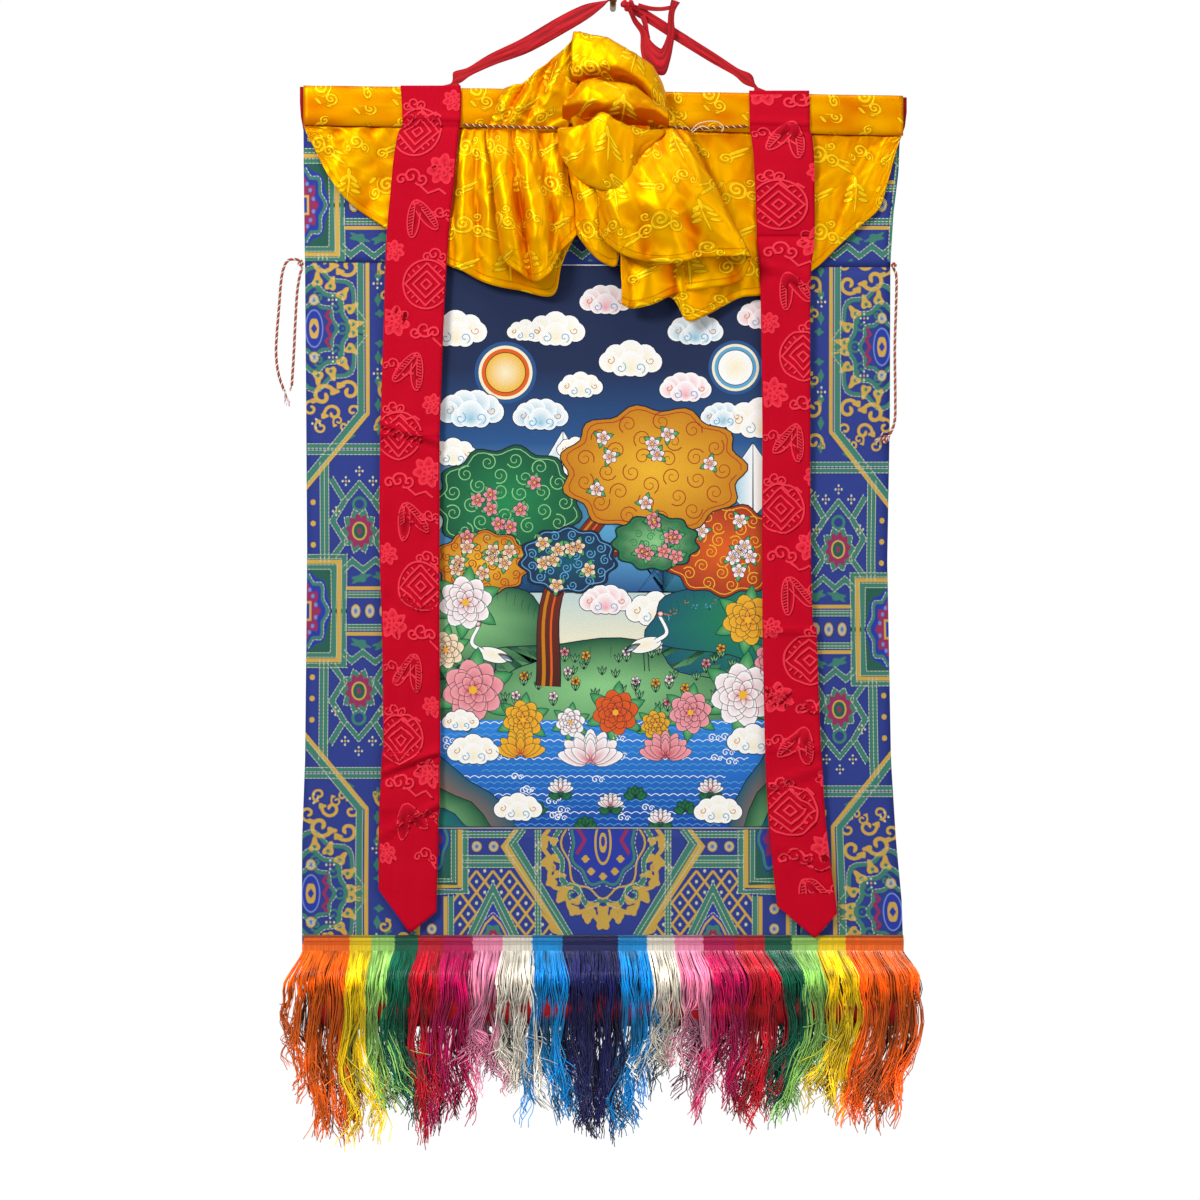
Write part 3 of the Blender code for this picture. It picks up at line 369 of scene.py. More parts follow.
LOBE_ROWS = (
    # root_x, root_z, root_depth, hem_x, hem_z, hem_depth, belly
    (3, -108, 34, 7, -241, 35.5, 2), (12, -108, 34, 15, -244, 32.5, 2),
    (21, -107, 33.5, 31, -241, 36, 4), (30, -106, 33, 50.5, -232, 32.5, 3),
    (40, -105, 32.5, 74.5, -228, 35.5, 4), (50, -104, 32, 98.5, -224, 34.5, 4),
    (57, -104, 34, 107, -215, 40, 6), (57, -103, 38, 108, -204, 47, 9),
    (49, -102, 40, 89, -204, 53, 12), (38, -102, 41, 69.5, -205, 50.5, 14),
    (26, -104, 42, 50.5, -209.5, 56, 14), (13.5, -107, 42, 29.5, -209, 51.5, 12),
    (1, -109, 42, 10.5, -204, 54, 10), (-9, -109, 41, -1.5, -196, 49, 8),
    (-16, -108, 39.5, -10.5, -186.5, 44, 5),
)
CENTRE_FOLD_ROWS = (
    (-39.5, -103.5, 34, -28.5, -185, 33.6, 1.5), (-31, -105, 35, -20, -197, 38, 3),
    (-20, -106, 36.4, -10.5, -206.5, 40.5, 4), (-9, -106, 37, 1, -211, 38.5, 3),
    (-1, -106, 36, 4, -203, 36.8, 1),
)
SLOPE_LEFT_ROWS = (
    (-102, -102.5, 29.9, -86.5, -68, 30.4, 0.2), (-96, -102.6, 30.2, -77.5, -65.5, 33.4, 2.5),
    (-90, -102.7, 30, -69.5, -62.5, 31.2, 0.5), (-82.5, -102.8, 30.2, -58.5, -53, 35.4, 3.5),
    (-72, -103, 30, -49, -45.5, 32.8, 1), (-61, -103, 30.6, -37.5, -37, 38.2, 4.5),
    (-49, -103.2, 31.4, -29.5, -25, 36.6, 3), (-36, -103.2, 33, -21, -33.5, 35, 1),
)
SLOPE_RIGHT_ROWS = (
    (30, -104, 33, 26, -62, 37, 1), (42, -104.2, 31.6, 35, -62.5, 36, 3),
    (52, -104.4, 30.4, 39, -70, 33.4, 0.5), (64.5, -104.6, 29.9, 42.5, -79, 32.4, 0.2),
)
# The leaves of the bunch go from the root up over a ridge and down again in front.
PEAK_ROWS = (
    # root (x, z, depth), ridge (x, z, depth), hem (x, z, depth)
    ((-16, -74, 34.5), (-30.5, -24.6, 37), (-33, -55.5, 41.5)),
    ((-12, -74, 34), (-19, -26.8, 40), (-20.5, -53, 47.5)),
    ((-6, -74, 33.5), (-5.2, -30.2, 41), (-7, -52, 51.5)),
    ((3, -76, 33.5), (9.5, -38.2, 41), (8.5, -55.5, 53)),
    ((12, -80, 33.5), (23.2, -46.8, 40), (22, -64.5, 50.5)),
    ((19, -84, 33.5), (34, -57, 38.5), (32.5, -76, 46)),
    ((24, -88, 34), (39.5, -71, 36), (41.5, -88, 40.5)),
)
SWAG_ROWS = (
    ((-16, -88, 38), (-36, -77.5, 41.5), (-40, -84, 43.5)),
    ((-12, -86, 39), (-26.5, -71.5, 44.5), (-28.5, -83, 50)),
    ((-8, -84, 40), (-19, -64, 49), (-19, -82.5, 55)),
    ((2, -84, 40), (-1.5, -66.5, 50), (-3, -83.5, 58)),
    ((12, -87, 39.5), (15, -68.5, 49.5), (15.5, -84.5, 56.5)),
    ((19, -90, 38), (28.5, -78, 47), (30.5, -87, 52)),
    ((24, -94, 37), (40.5, -87, 43), (44, -94.5, 45.5)),
)
POCKET_ROWS = (
    ((-20, -112, 38), (-41.5, -102, 42), (-42, -114, 43)),
    ((-15, -112, 40), (-33, -102, 50), (-38, -126, 47.5)),
    ((-10, -110, 42), (-21, -99.5, 55), (-26, -139.5, 51.5)),
    ((-5, -106, 43), (-9.5, -92.5, 59.5), (-11.5, -145.5, 56)),
    ((4, -110, 43), (3, -99.5, 59.5), (9, -146, 56.5)),
    ((14, -112, 41), (20, -103.5, 54), (20, -124.5, 51.5)),
    ((22, -110, 38), (40.5, -103.5, 43.5), (38, -108.5, 43)),
)
CORE_AT = (0.0, -87.0, 37.5)
CORE_RADII = (34.0, 34.0, 5.0)  # across, up, deep

# Twisted cords.
VEIL_CORD_LEFT_ROUTE = (
    (-119.8, -97.2, 29.3), (-110, -97.8, 31.8), (-100, -98.6, 34), (-80, -99.4, 35),
    (-62, -100, 35.4), (-44, -100.2, 36.4),
)
VEIL_CORD_RIGHT_ROUTE = (
    (46, -100, 38.4), (58, -100.4, 34.6), (70, -100.6, 33), (88, -99.2, 30.4), (106.9, -98, 29.3),
)
SIDE_CORD_LEFT_OUTER_ROUTE = (
    (-248.6, -205, 20.2), (-255, -203.4, 20.8), (-261, -205.6, 21), (-265, -217, 20.8),
    (-267, -240, 20.4), (-269.6, -276, 20), (-267.4, -296, 20), (-262.8, -309, 20),
)
SIDE_CORD_LEFT_INNER_ROUTE = (
    (-248.4, -210, 20.2), (-250.4, -216, 20.8), (-252.6, -230, 20.8), (-254, -252, 20.4),
    (-255.4, -280, 20), (-257, -304.5, 20),
)
SIDE_CORD_RIGHT_ROUTE = (
    (224.2, -210.5, 20.2), (226.6, -217, 20.8), (226.4, -240, 20.6), (225.4, -274, 20.4),
    (225.8, -312, 20.4), (225, -334, 22.4), (219, -348, 23.4),
)

# The fringe. A row says where the threads that start near x hang at the roller, half way down and at
# their tips.
FRINGE_ROWS = (
    # x, at_roller, at_middle, at_tip
    (-247, -260, -260, -252), (-238, -246, -248, -240), (-210, -212, -214, -208),
    (-174, -179, -181, -170), (-156, -162, -165, -155), (-112, -114.5, -119, -117),
    (-88, -93, -96, -88), (-65, -64, -66, -64), (-41, -37, -40, -34), (-18, -18, -18, -17),
    (4, 7, 7, -2), (27, 31, 30, 22), (50, 56, 55, 49), (72, 81, 82, 73), (98, 109, 106, 100),
    (122, 136, 136, 125), (143, 156, 157, 138), (164, 172, 175, 160), (186, 196, 193, 183),
    (214, 226, 224, 208), (232, 246, 242, 229),
)
HEADING_TOP, HEADING_HIGH = -744.0, 12.0
HEADING_BACK = BROCADE_FRONT + GAP
ROLLER_CLEAR = 3.0  # between the roller's sleeve and the threads
STRAND_SEED = 11


def sleeve_bottom(x):
    """The height of the top sleeve's lower edge."""
    return SLEEVE_TOP_LEFT - SLEEVE_HIGH + SLEEVE_SLOPE * (x - SLEEVE_LEFT)


print("tables ready")

# %% [markdown]
# ## Camera, backdrop and light
# The photograph looks straight at the hanging from about three metres with a long lens, so the
# edges of the picture stay parallel. Product photographs are often cut out on white. A lit white
# backdrop far behind gives the same clean edge, and leaves the back free to be looked at. Wide, soft
# lights from the upper left and the right let the silk shine along its folds.

# %% Camera, backdrop and light
MIDDLE_X, MIDDLE_Z = -10.4, -476.0  # what the photograph's middle shows
SEEN_WIDE = 960.0  # how much of the brocade's plane the photograph takes in
CAMERA_FAR, BROCADE_FACE = 3000.0, 20.0  # from the brocade, and the brocade from the wall
SENSOR_WIDE = 36.0

camera_data = bpy.data.cameras.new("camera")
camera_data.sensor_width = SENSOR_WIDE
camera_data.lens = SENSOR_WIDE * CAMERA_FAR / SEEN_WIDE
camera_data.clip_start, camera_data.clip_end = 0.05, 30
camera = put(bpy.data.objects.new("camera", camera_data))
camera.location = at(MIDDLE_X, MIDDLE_Z, CAMERA_FAR + BROCADE_FACE)
camera.rotation_euler = (radians(90), 0, 0)
bpy.context.scene.camera = camera

white_look, _, _ = material("lit_white_backdrop", 0.9, Emission_Strength=1.0,
                            Base_Color=(0.0, 0.0, 0.0, 1.0), Emission_Color=(1.0, 1.0, 1.0, 1.0))
BACKDROP_BACK, ROOM = 6.0, 8.0
backdrop_mesh = bpy.data.meshes.new("backdrop")
backdrop_corners = ((-1, -1), (1, -1), (1, 1), (-1, 1))
backdrop_mesh.from_pydata([(x * ROOM, BACKDROP_BACK, z * ROOM) for x, z in backdrop_corners], [],
                          [(0, 1, 2, 3)])
backdrop_mesh.materials.append(white_look)
put(bpy.data.objects.new("backdrop", backdrop_mesh))


def soft_light(name, place, aim, wide, power):
    """A square studio light with a soft edge, turned to face its aim."""
    data = bpy.data.lights.new(name, "AREA")
    data.shape, data.size, data.energy = "SQUARE", wide, power
    obj = put(bpy.data.objects.new(name, data))
    obj.location = place
    obj.rotation_euler = (Vector(aim) - Vector(place)).to_track_quat("-Z", "Y").to_euler()


soft_light("key_light", (-1.5, -2.2, 1.0), (0, 0, -0.45), 0.8, 58)
soft_light("fill_light", (1.9, -2.4, -0.2), (0, 0, -0.5), 1.6, 18)
soft_light("top_light", (0.2, -0.9, 1.3), (0, 0, -0.3), 0.7, 8)
world = bpy.data.worlds.new("studio")
world.use_nodes = True
air = world.node_tree.nodes["Background"].inputs
air["Color"].default_value, air["Strength"].default_value = (1.0, 1.0, 1.0, 1.0), 0.38
bpy.context.scene.world = world
bpy.context.scene.view_settings.view_transform = "Standard"  # dyes keep their picked colours
print("camera, backdrop and three lights set up")

# %% [markdown]
# ## Twisted cords
# Four thin threads, red, white, green and yellow, are twisted into each cord. A node tree lays the
# threads round the cord's line: it copies the line once for each thread, pushes each copy off the
# middle, and turns the push as it goes along. That is how a rope walk makes cord, so the twist keeps
# its pitch round every bend.

# %% A tree that twists threads round a line
def new_tree(name, **inputs):
    """An empty node tree with a geometry in, a geometry out and named inputs with their values."""
    kinds = {float: "NodeSocketFloat", int: "NodeSocketInt", str: "NodeSocketMaterial"}
    tree = bpy.data.node_groups.new(name, "GeometryNodeTree")
    tree.interface.new_socket("Geometry", in_out="OUTPUT", socket_type="NodeSocketGeometry")
    tree.interface.new_socket("Geometry", in_out="INPUT", socket_type="NodeSocketGeometry")
    for key, value in inputs.items():
        socket = tree.interface.new_socket(key, in_out="INPUT", socket_type=kinds[type(value)])
        if not isinstance(value, str):
            socket.default_value = value
    return tree, tree.nodes.new("NodeGroupInput").outputs


def end_tree(tree, geometry, look):
    """Realises what was made, gives it its material and sends it out."""
    plain = add(tree, "GeometryNodeRealizeInstances", geometry)
    dressed = add(tree, "GeometryNodeSetMaterial", {"Geometry": plain, "Material": look})
    end = tree.nodes.new("NodeGroupOutput")
    tree.links.new(dressed, end.inputs[0])
    return tree


def grow(obj, tree, **values):
    """Runs a tree on the object and keeps what it makes as a plain mesh."""
    modifier = obj.modifiers.new(tree.name, "NODES")
    modifier.node_group = tree
    for item in tree.interface.items_tree:
        if item.in_out == "INPUT" and item.name in values:
            modifier[item.identifier] = values[item.name]
    obj.update_tag()
    graph = bpy.context.evaluated_depsgraph_get()
    grown = bpy.data.meshes.new_from_object(obj.evaluated_get(graph))
    name = obj.data.name
    obj.modifiers.remove(modifier)
    obj.data = grown
    grown.name = name
    return obj


def line_mesh(name, lines, **attributes):
    """A mesh of bare lines, each a list of places. An attribute holds one value for each line, or a
    list with one for each of its places."""
    points, edges = [], []
    for line in lines:
        edges += [(len(points) + i, len(points) + i + 1) for i in range(len(line) - 1)]
        points += line
    mesh = bpy.data.meshes.new(name)
    mesh.from_pydata(points, edges, [])
    for key, values in attributes.items():
        spread = [value for line, given in zip(lines, values)
                  for value in (given if isinstance(given, list) else [given] * len(line))]
        colour = isinstance(spread[0], tuple)
        layer = mesh.attributes.new(key, "FLOAT_COLOR" if colour else "FLOAT", "POINT")
        flat = [part for value in spread for part in value] if colour else spread
        layer.data.foreach_set("color" if colour else "value", flat)
    return mesh


twist_tree, given = new_tree("twist", Strands=4, Pitch=0.006, Offset=0.0006, Thread=0.0006, Look="")
twist_line = add(twist_tree, "GeometryNodeMeshToCurve", given["Geometry"])
twist_line = add(twist_tree, "GeometryNodeResampleCurve", {"Curve": twist_line, "Length": 0.0007},
                 mode="LENGTH")
copies = twist_tree.nodes.new("GeometryNodeDuplicateElements")
copies.domain = "SPLINE"
twist_tree.links.new(twist_line, copies.inputs["Geometry"])
twist_tree.links.new(given["Strands"], copies.inputs["Amount"])
marked = add(twist_tree, "GeometryNodeStoreNamedAttribute",
             {"Geometry": copies.outputs["Geometry"], "Name": "strand",
              "Value": copies.outputs["Duplicate Index"]},
             data_type="FLOAT", domain="POINT")
run = add(twist_tree, "GeometryNodeSplineParameter", out="Length")
strand = add(twist_tree, "GeometryNodeInputNamedAttribute", {"Name": "strand"}, data_type="FLOAT")
turn = math_of(twist_tree, "ADD", math_of(twist_tree, "DIVIDE", run, given["Pitch"]),
               math_of(twist_tree, "DIVIDE", strand, given["Strands"]))
turn = math_of(twist_tree, "MULTIPLY", turn, tau)
tangent = add(twist_tree, "GeometryNodeInputTangent")
side = add(twist_tree, "GeometryNodeInputNormal")
other = add(twist_tree, "ShaderNodeVectorMath", tangent, side, operation="CROSS_PRODUCT")
push = add(twist_tree, "ShaderNodeVectorMath",
           add(twist_tree, "ShaderNodeVectorMath",
               {0: side, "Scale": math_of(twist_tree, "COSINE", turn)}, operation="SCALE"),
           add(twist_tree, "ShaderNodeVectorMath",
               {0: other, "Scale": math_of(twist_tree, "SINE", turn)}, operation="SCALE"),
           operation="ADD")
push = add(twist_tree, "ShaderNodeVectorMath", {0: push, "Scale": given["Offset"]}, operation="SCALE")
threads = add(twist_tree, "GeometryNodeSetPosition", {"Geometry": marked, "Offset": push})
round_thread = add(twist_tree, "GeometryNodeCurvePrimitiveCircle",
                   {"Resolution": 6, "Radius": given["Thread"]})
threads = add(twist_tree, "GeometryNodeCurveToMesh", {"Curve": threads, "Profile Curve": round_thread,
                                                      "Fill Caps": True})
end_tree(twist_tree, threads, given["Look"])

# %% [markdown]
# The threads' colours come from the number of each copy. Fine fibres are a stretched noise in the
# bump only: they are too small to see alone, but they keep the highlights matt.

# %% Make the cords
def cord_material(name, codes):
    """Cotton thread whose colour comes from the number of its strand."""
    look, tree, shader = material(name, 0.85)
    ramp = tree.nodes.new("ShaderNodeValToRGB")
    ramp.color_ramp.interpolation = "CONSTANT"
    for i, code in enumerate(codes):
        stop = ramp.color_ramp.elements[i] if i < 2 else ramp.color_ramp.elements.new(i / 4)
        stop.position = i / 4
        stop.color = linear(code)
    count = add(tree, "ShaderNodeAttribute", attribute_name="strand", out="Fac")
    tree.links.new(math_of(tree, "MULTIPLY_ADD", count, 0.25, 0.1), ramp.inputs["Fac"])
    plug(shader, Base_Color=ramp.outputs["Color"])
    fibres = add(tree, "ShaderNodeTexNoise", {"Scale": 2500.0, "Detail": 2.0})
    plug(shader, Normal=bump(tree, fibres, 0.2, 0.4))
    return look


cord_look = cord_material("twisted_cotton_cord", ("#A81420", "#F6F0E2", "#12402A", "#D2501E"))
brown_cord_look = cord_material("brown_twisted_cord", ("#6E1E14", "#EBCB86", "#241C14", "#B04A12"))
CORD_THICK, CORD_POINT_STEP = 2.4, 6.0


def cord_line(route):
    places = [at(*place) for place in route]
    return along(places, max(6, round(length_of(places) / MM / CORD_POINT_STEP)))


def make_cord(name, route, thick, look):
    line = cord_line(route)
    length = length_of(line)
    obj = piece(name + "_twisted", line_mesh(name, [line]), [], replaces=[name])
    grow(obj, twist_tree, Strands=4, Pitch=2.2 * thick * MM, Offset=0.285 * thick * MM,
         Thread=0.215 * thick * MM, Look=look)
    tuple(line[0])
    [tuple(p) for p in line]
    print(f"{obj.name}: {length / MM:.0f} mm of cord, {len(obj.data.polygons)} faces")
    return obj


def cord_detail(name, lines, twist):
    """A knot or a frayed end, from the same twisted threads."""
    strands, pitch, off, thread = twist
    obj = piece(name, line_mesh(name, lines), [])
    return grow(obj, twist_tree, Strands=strands, Pitch=pitch * MM, Offset=off * MM, Thread=thread * MM,
                Look=cord_look)


def knot_line(x, z, depth, size):
    """The way of a cord that is wound round itself into a small round knot."""
    return [at(x + size * cos(3 * t) * (0.7 + 0.3 * cos(2 * t)),
               z + size * sin(3 * t) * (0.7 + 0.3 * sin(2 * t)),
               depth + size * 0.6 * sin(2 * t)) for t in [tau * i / 48 for i in range(49)]]


def frayed_lines(x, z, depth, lean, long, count, draw):
    """Loose threads that spread from a cord's cut end."""
    lines = []
    for _ in range(count):
        swing = lean + draw.uniform(-0.45, 0.45)
        reach = long * draw.uniform(0.5, 1.0)
        half_way = at(x + swing * reach * 0.3, z - reach * 0.4, depth + draw.uniform(-1, 1))
        end = at(x + swing * reach * 0.8, z - reach, depth + draw.uniform(-2, 2))
        lines.append(along([at(x, z + 2, depth), half_way, end], 8))
    return lines


SEAM_KNOT, BEAD_KNOT = (4, 5.0, 0.5, 0.42), (4, 5.0, 0.55, 0.5)  # strands, pitch, offset and thread
FRAYED, THREAD = (2, 7.0, 0.2, 0.16), (2, 3.0, 0.26, 0.3)
fray_draw = random.Random(3)
left_knot = cord_detail("side_cord_left_seam_knot", [knot_line(-249.6, -207.0, 21.5, 2.0)], SEAM_KNOT)
left_fray = cord_detail("side_cord_left_frayed_end",
                        frayed_lines(-262.6, -309.0, 20.0, 0.25, 13.0, 9, fray_draw), FRAYED)
left_inner_fray = cord_detail("side_cord_left_inner_end",
                              frayed_lines(-257.0, -304.0, 20.0, -0.6, 5.0, 6, fray_draw), FRAYED)
right_top_knot = cord_detail("side_cord_right_seam_knot", [knot_line(224.6, -208.4, 21.5, 1.8)],
                             SEAM_KNOT)
right_knot = cord_detail("side_cord_right_bead_knot", [knot_line(217.4, -347.6, 24.4, 2.5)], BEAD_KNOT)
right_fray = cord_detail("side_cord_right_frayed_end",
                         frayed_lines(215.6, -344.0, 24.6, -1.3, 6.0, 8, fray_draw), FRAYED)
THREAD_ROUTE = ((62, -102.5, 34), (67, -97.5, 36), (73, -95.6, 36), (80, -95, 35.5), (85, -96.4, 35),
                (88, -100, 34), (86.5, -103, 33.6))
THREAD_BRANCH = ((63, -103.6, 34), (70, -99, 35.6), (76, -100.6, 35.2))
thread_end = cord_detail("veil_cord_thread_end", [
    along([at(*place) for place in THREAD_ROUTE], 26),
    along([at(*place) for place in THREAD_BRANCH], 10)], THREAD)
thread_look, _, _ = material("undyed_cotton_thread", 0.6, Base_Color=linear("#E9D3A8"))
thread_end.data.materials.clear()
thread_end.data.materials.append(thread_look)

make_cord("veil_cord_left", VEIL_CORD_LEFT_ROUTE, CORD_THICK, brown_cord_look)
make_cord("veil_cord_right", VEIL_CORD_RIGHT_ROUTE, CORD_THICK, brown_cord_look)
make_cord("side_cord_left_outer", SIDE_CORD_LEFT_OUTER_ROUTE, CORD_THICK, cord_look)
make_cord("side_cord_left_inner", SIDE_CORD_LEFT_INNER_ROUTE, CORD_THICK, cord_look)
make_cord("side_cord_right", SIDE_CORD_RIGHT_ROUTE, CORD_THICK, cord_look)

# %% [markdown]
# ## The hook and the red tape
# The hook is a bent brass rod that years of handling have darkened. Its solid already has the right
# shape, so it only gets its metal: dark, satin, with fine scratches that catch the light.
#
# The tape is a flat plain-woven ribbon about a centimetre wide. It is made as a strip between two
# edges, cupped a little across, because a tape that carries weight curls in at its edges.

# %% Hook metal
brass, tree, shader = material("dark_brass", 0.42, Metallic=1.0)
worn = add(tree, "ShaderNodeTexNoise", {"Scale": 260.0, "Detail": 4.0})
plug(shader, Base_Color=two_tone(tree, worn, "#5A4026", "#8C6A3A"))
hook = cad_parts["wall_hook"]
hook.data.materials.clear()
hook.data.materials.append(brass)
print("hook dressed in dark brass")

# %% [markdown]
# A plain weave is drawn as two crossing waves, one thread over and one thread under. Real threads
# are about 0.3 mm apart, too fine for a camera at three metres, so the waves are drawn 0.9 mm apart:
# they give the same matt, slightly broken surface.

# %% Red tape
def weave(tree, place, across, down):
    """A height that rises and falls like a plain weave. Across and down are the threads' pitch, in
    the units of the place."""
    parts = tree.nodes.new("ShaderNodeSeparateXYZ")
    tree.links.new(place, parts.inputs[0])
    waves = [
        math_of(tree, "SINE", math_of(tree, "MULTIPLY", parts.outputs[i], tau / pitch / 2))
        for i, pitch in ((0, across), (1, down))
    ]
    return math_of(tree, "MULTIPLY", *waves)


def cloth_place(tree):
    """Where a point lies on its cloth, in millimetres."""
    return add(tree, "ShaderNodeUVMap", uv_map="cloth_mm")


tape_look, tree, shader = material("red_woven_tape", 0.62, Specular_IOR_Level=0.25)
place = cloth_place(tree)
threads = weave(tree, place, 0.9, 0.9)
drawn = add(tree, "ShaderNodeMapping", {"Vector": place, "Scale": (0.42, 0.028, 1.0)})
folds = add(tree, "ShaderNodeTexNoise", {"Vector": drawn, "Scale": 1.0, "Detail": 2.0})
# The long folds that bump the tape also paint it darker and lighter along them: painted shade and
# light.
tone = math_of(tree, "MULTIPLY_ADD", threads, 0.15,
               add(tree, "ShaderNodeMapRange", {"Value": folds, 1: 0.32, 2: 0.62}))
plug(shader, Base_Color=two_tone(tree, tone, "#86040F", "#CE0F1F"),
     Normal=bump(tree, threads, 0.12, 0.7, under=bump(tree, folds, 1.6)))

TAPE_THICK, TAPE_CUP, TAPE_STEPS = 0.9, 0.08, 6


def turned_edges(table):
    """The two edges of a tape, row by row, from its middle line, width and turn."""
    middles = [at(x, z, depth) for x, z, depth, width, turn in table]
    rows = []
    for i, (x, z, depth, width, turn) in enumerate(table):
        run = (middles[min(i + 1, len(table) - 1)] - middles[max(i - 1, 0)]).normalized()
        across = Matrix.Rotation(radians(-turn), 3, run) @ run.cross(Vector((0, 1, 0))).normalized()
        half = across * (width / 2 * MM)
        rows.append((middles[i] - half, middles[i] + half))
    return rows


def make_tape(name, rows, wrinkle=0.3):
    """A tape between pairs of edge places, cupped across and lightly wrinkled along."""
    steps = 8 * (len(rows) - 1)
    left, right = along([row[0] for row in rows], steps), along([row[1] for row in rows], steps)
    columns = []
    for k in range(TAPE_STEPS + 1):
        share = k / TAPE_STEPS
        column = []
        for i, (a, b) in enumerate(zip(left, right)):
            run = (left[min(i + 1, steps)] - left[max(i - 1, 0)]).normalized()
            out = run.cross(b - a).normalized()
            out = out if out.y < 0 else -out
            cup = sin(pi * share) * TAPE_CUP * (b - a).length
            fold = wrinkle * MM * wander(share * 3.0, i * 0.16, len(name) * 1.7)
            column.append(a.lerp(b, share) + out * (cup * 0.5 + fold))
        columns.append(column)
    obj = piece(name + "_tape", grid_mesh(name, columns), [tape_look], replaces=[name])
    thicken(obj, TAPE_THICK)
    wide = sum((b - a).length for a, b in zip(left, right)) / len(left)
    long = (length_of(left) + length_of(right)) / 2
    print(f"{obj.name}: {wide / MM:.1f} mm wide, {long / MM:.0f} mm long")
    return obj


left_foot = [at(x, z, STRAP_LEFT_ROWS[0][2]) for x, z in STRAP_LEFT_FOOT]
right_foot = [at(x, z, STRAP_RIGHT_ROWS[0][2]) for x, z in STRAP_RIGHT_FOOT]
make_tape("strap_left", [left_foot, *turned_edges(STRAP_LEFT_ROWS)])
make_tape("strap_right", [right_foot, *turned_edges(STRAP_RIGHT_ROWS)])
make_tape("bow_band", [(at(ox, oz, d), at(ix, iz, d)) for ox, oz, ix, iz, d in BOW_BAND_ROWS])
make_tape("bow_eye", turned_edges(BOW_EYE_ROWS), 0.1)
make_tape("bow_strand", turned_edges(BOW_STRAND_ROWS), 0.1)

# %% [markdown]
# The knot is the same tape wound over itself. Three turns cross at slants over a small heart of
# tape, and each turn bulges where the one below pushes it out.

# %% The knot
KNOT_RADII = (7.0, 3.3, 5.2)  # across, deep, up
KNOT_TURNS = ((0.35, -1.6, 3.6), (-0.5, 1.4, 3.8), (1.45, 0.0, 4.2))  # slant, shift and width


def knot_turn(slant, shift, wide, swell):
    """One turn of tape round the heart of the knot, as a closed ring of places."""
    rows = []
    for i in range(33):
        around = tau * i / 32
        row = []
        for k in range(7):
            off = (k / 6 - 0.5) * wide + shift
            place = Vector((off, cos(around), sin(around)))
            girth = sqrt(max(0.15, 1 - (off / KNOT_RADII[0]) ** 2)) * swell
            cup = 1.0 + 0.1 * sin(pi * k / 6)
            y, z = place.y * KNOT_RADII[1] * girth * cup, place.z * KNOT_RADII[2] * girth * cup
            x, z = (place.x * cos(slant) - z * sin(slant), place.x * sin(slant) + z * cos(slant))
            row.append(at(*KNOT_AT) + Vector((x, -y, z)) * MM)
        rows.append(row)
    return rows


turns = [grid_mesh("turn", knot_turn(*turn, 0.86 + 0.07 * i)) for i, turn in enumerate(KNOT_TURNS)]


def joined(name, meshes):
    """Several meshes as one, with their UV maps and attributes."""
    parts = []
    for i, mesh in enumerate(meshes):
        parts.append(put(bpy.data.objects.new(f"{name}_{i}", mesh)))
    with bpy.context.temp_override(active_object=parts[0], selected_editable_objects=parts,
                                   object=parts[0]):
        bpy.ops.object.join()
    mesh = parts[0].data.copy()
    bpy.data.objects.remove(parts[0], do_unlink=True)
    mesh.name = name
    return mesh


knot = piece("strap_knot_turns", joined("knot", turns), [tape_look], replaces=["strap_knot"])
thicken(knot, 1.0, offset=-1.0)
print("knot wound in three turns")

# %% [markdown]
# ## The red cloth
# A plain red cotton backs the whole hanging and is wound round the roller at the foot. It shows as a
# narrow edge at both ends of the top sleeve, and through the gaps of the fringe.

# %% Red cotton, backing and roller sleeve
cotton_look, tree, shader = material("red_plain_cotton", 0.8, Specular_IOR_Level=0.2)
place = cloth_place(tree)
threads = weave(tree, place, 1.0, 1.0)
tone = math_of(tree, "MULTIPLY_ADD", threads, 0.2,
               add(tree, "ShaderNodeTexNoise", {"Vector": place, "Scale": 0.2, "Detail": 4.0}))
plug(shader, Base_Color=two_tone(tree, tone, "#7C060C", "#B8121A"),
     Normal=bump(tree, threads, 0.12, 0.7))


def left_edge(z):
    """The brocade's left edge at a height."""
    return row_at(EDGE_ROWS, z)[0]


def right_edge(z):
    return row_at(EDGE_ROWS, z)[1]


def flat_rows(ends, sides, back, steps_x, steps_z):
    """Places of a hanging flat cloth, from the left to the right and from the top down. Each end and
    side is a number, or a rule that gives the end's height at x, or the side's x at a height."""
    top_z, bottom_z, left_of, right_of = [
        rule if callable(rule) else (lambda _, number=rule: number) for rule in (*ends, *sides)]
    rows = []
    for i in range(steps_x + 1):
        column = []
        for j in range(steps_z + 1):
            share = j / steps_z
            z = mix(top_z(0.0), bottom_z(0.0), share)
            x = mix(left_of(z), right_of(z), i / steps_x)
            z = mix(top_z(x), bottom_z(x), share)
            column.append(at(x, z, back))
        rows.append(column)
    return rows


def below_sleeve(z):
    """Goes from 0 beside the top sleeve to 1 under it."""
    return clamped((-90 - z) / 12)


backing = flat_rows(
    (lambda x: sleeve_bottom(x) + SLEEVE_HIGH - 0.6, BROCADE_BOTTOM),
    (lambda z: mix(SLEEVE_LEFT - BACKING_PEEP, left_edge(z), below_sleeve(z)),
     lambda z: mix(SLEEVE_RIGHT + BACKING_PEEP, right_edge(z), below_sleeve(z))),
    BACKING_BACK + BACKING_THICK / 2, 24, 60)
cloth = piece("backing_cotton", grid_mesh("backing", backing), [cotton_look],
              replaces=["backing_cloth"])
thicken(cloth, 0.5)


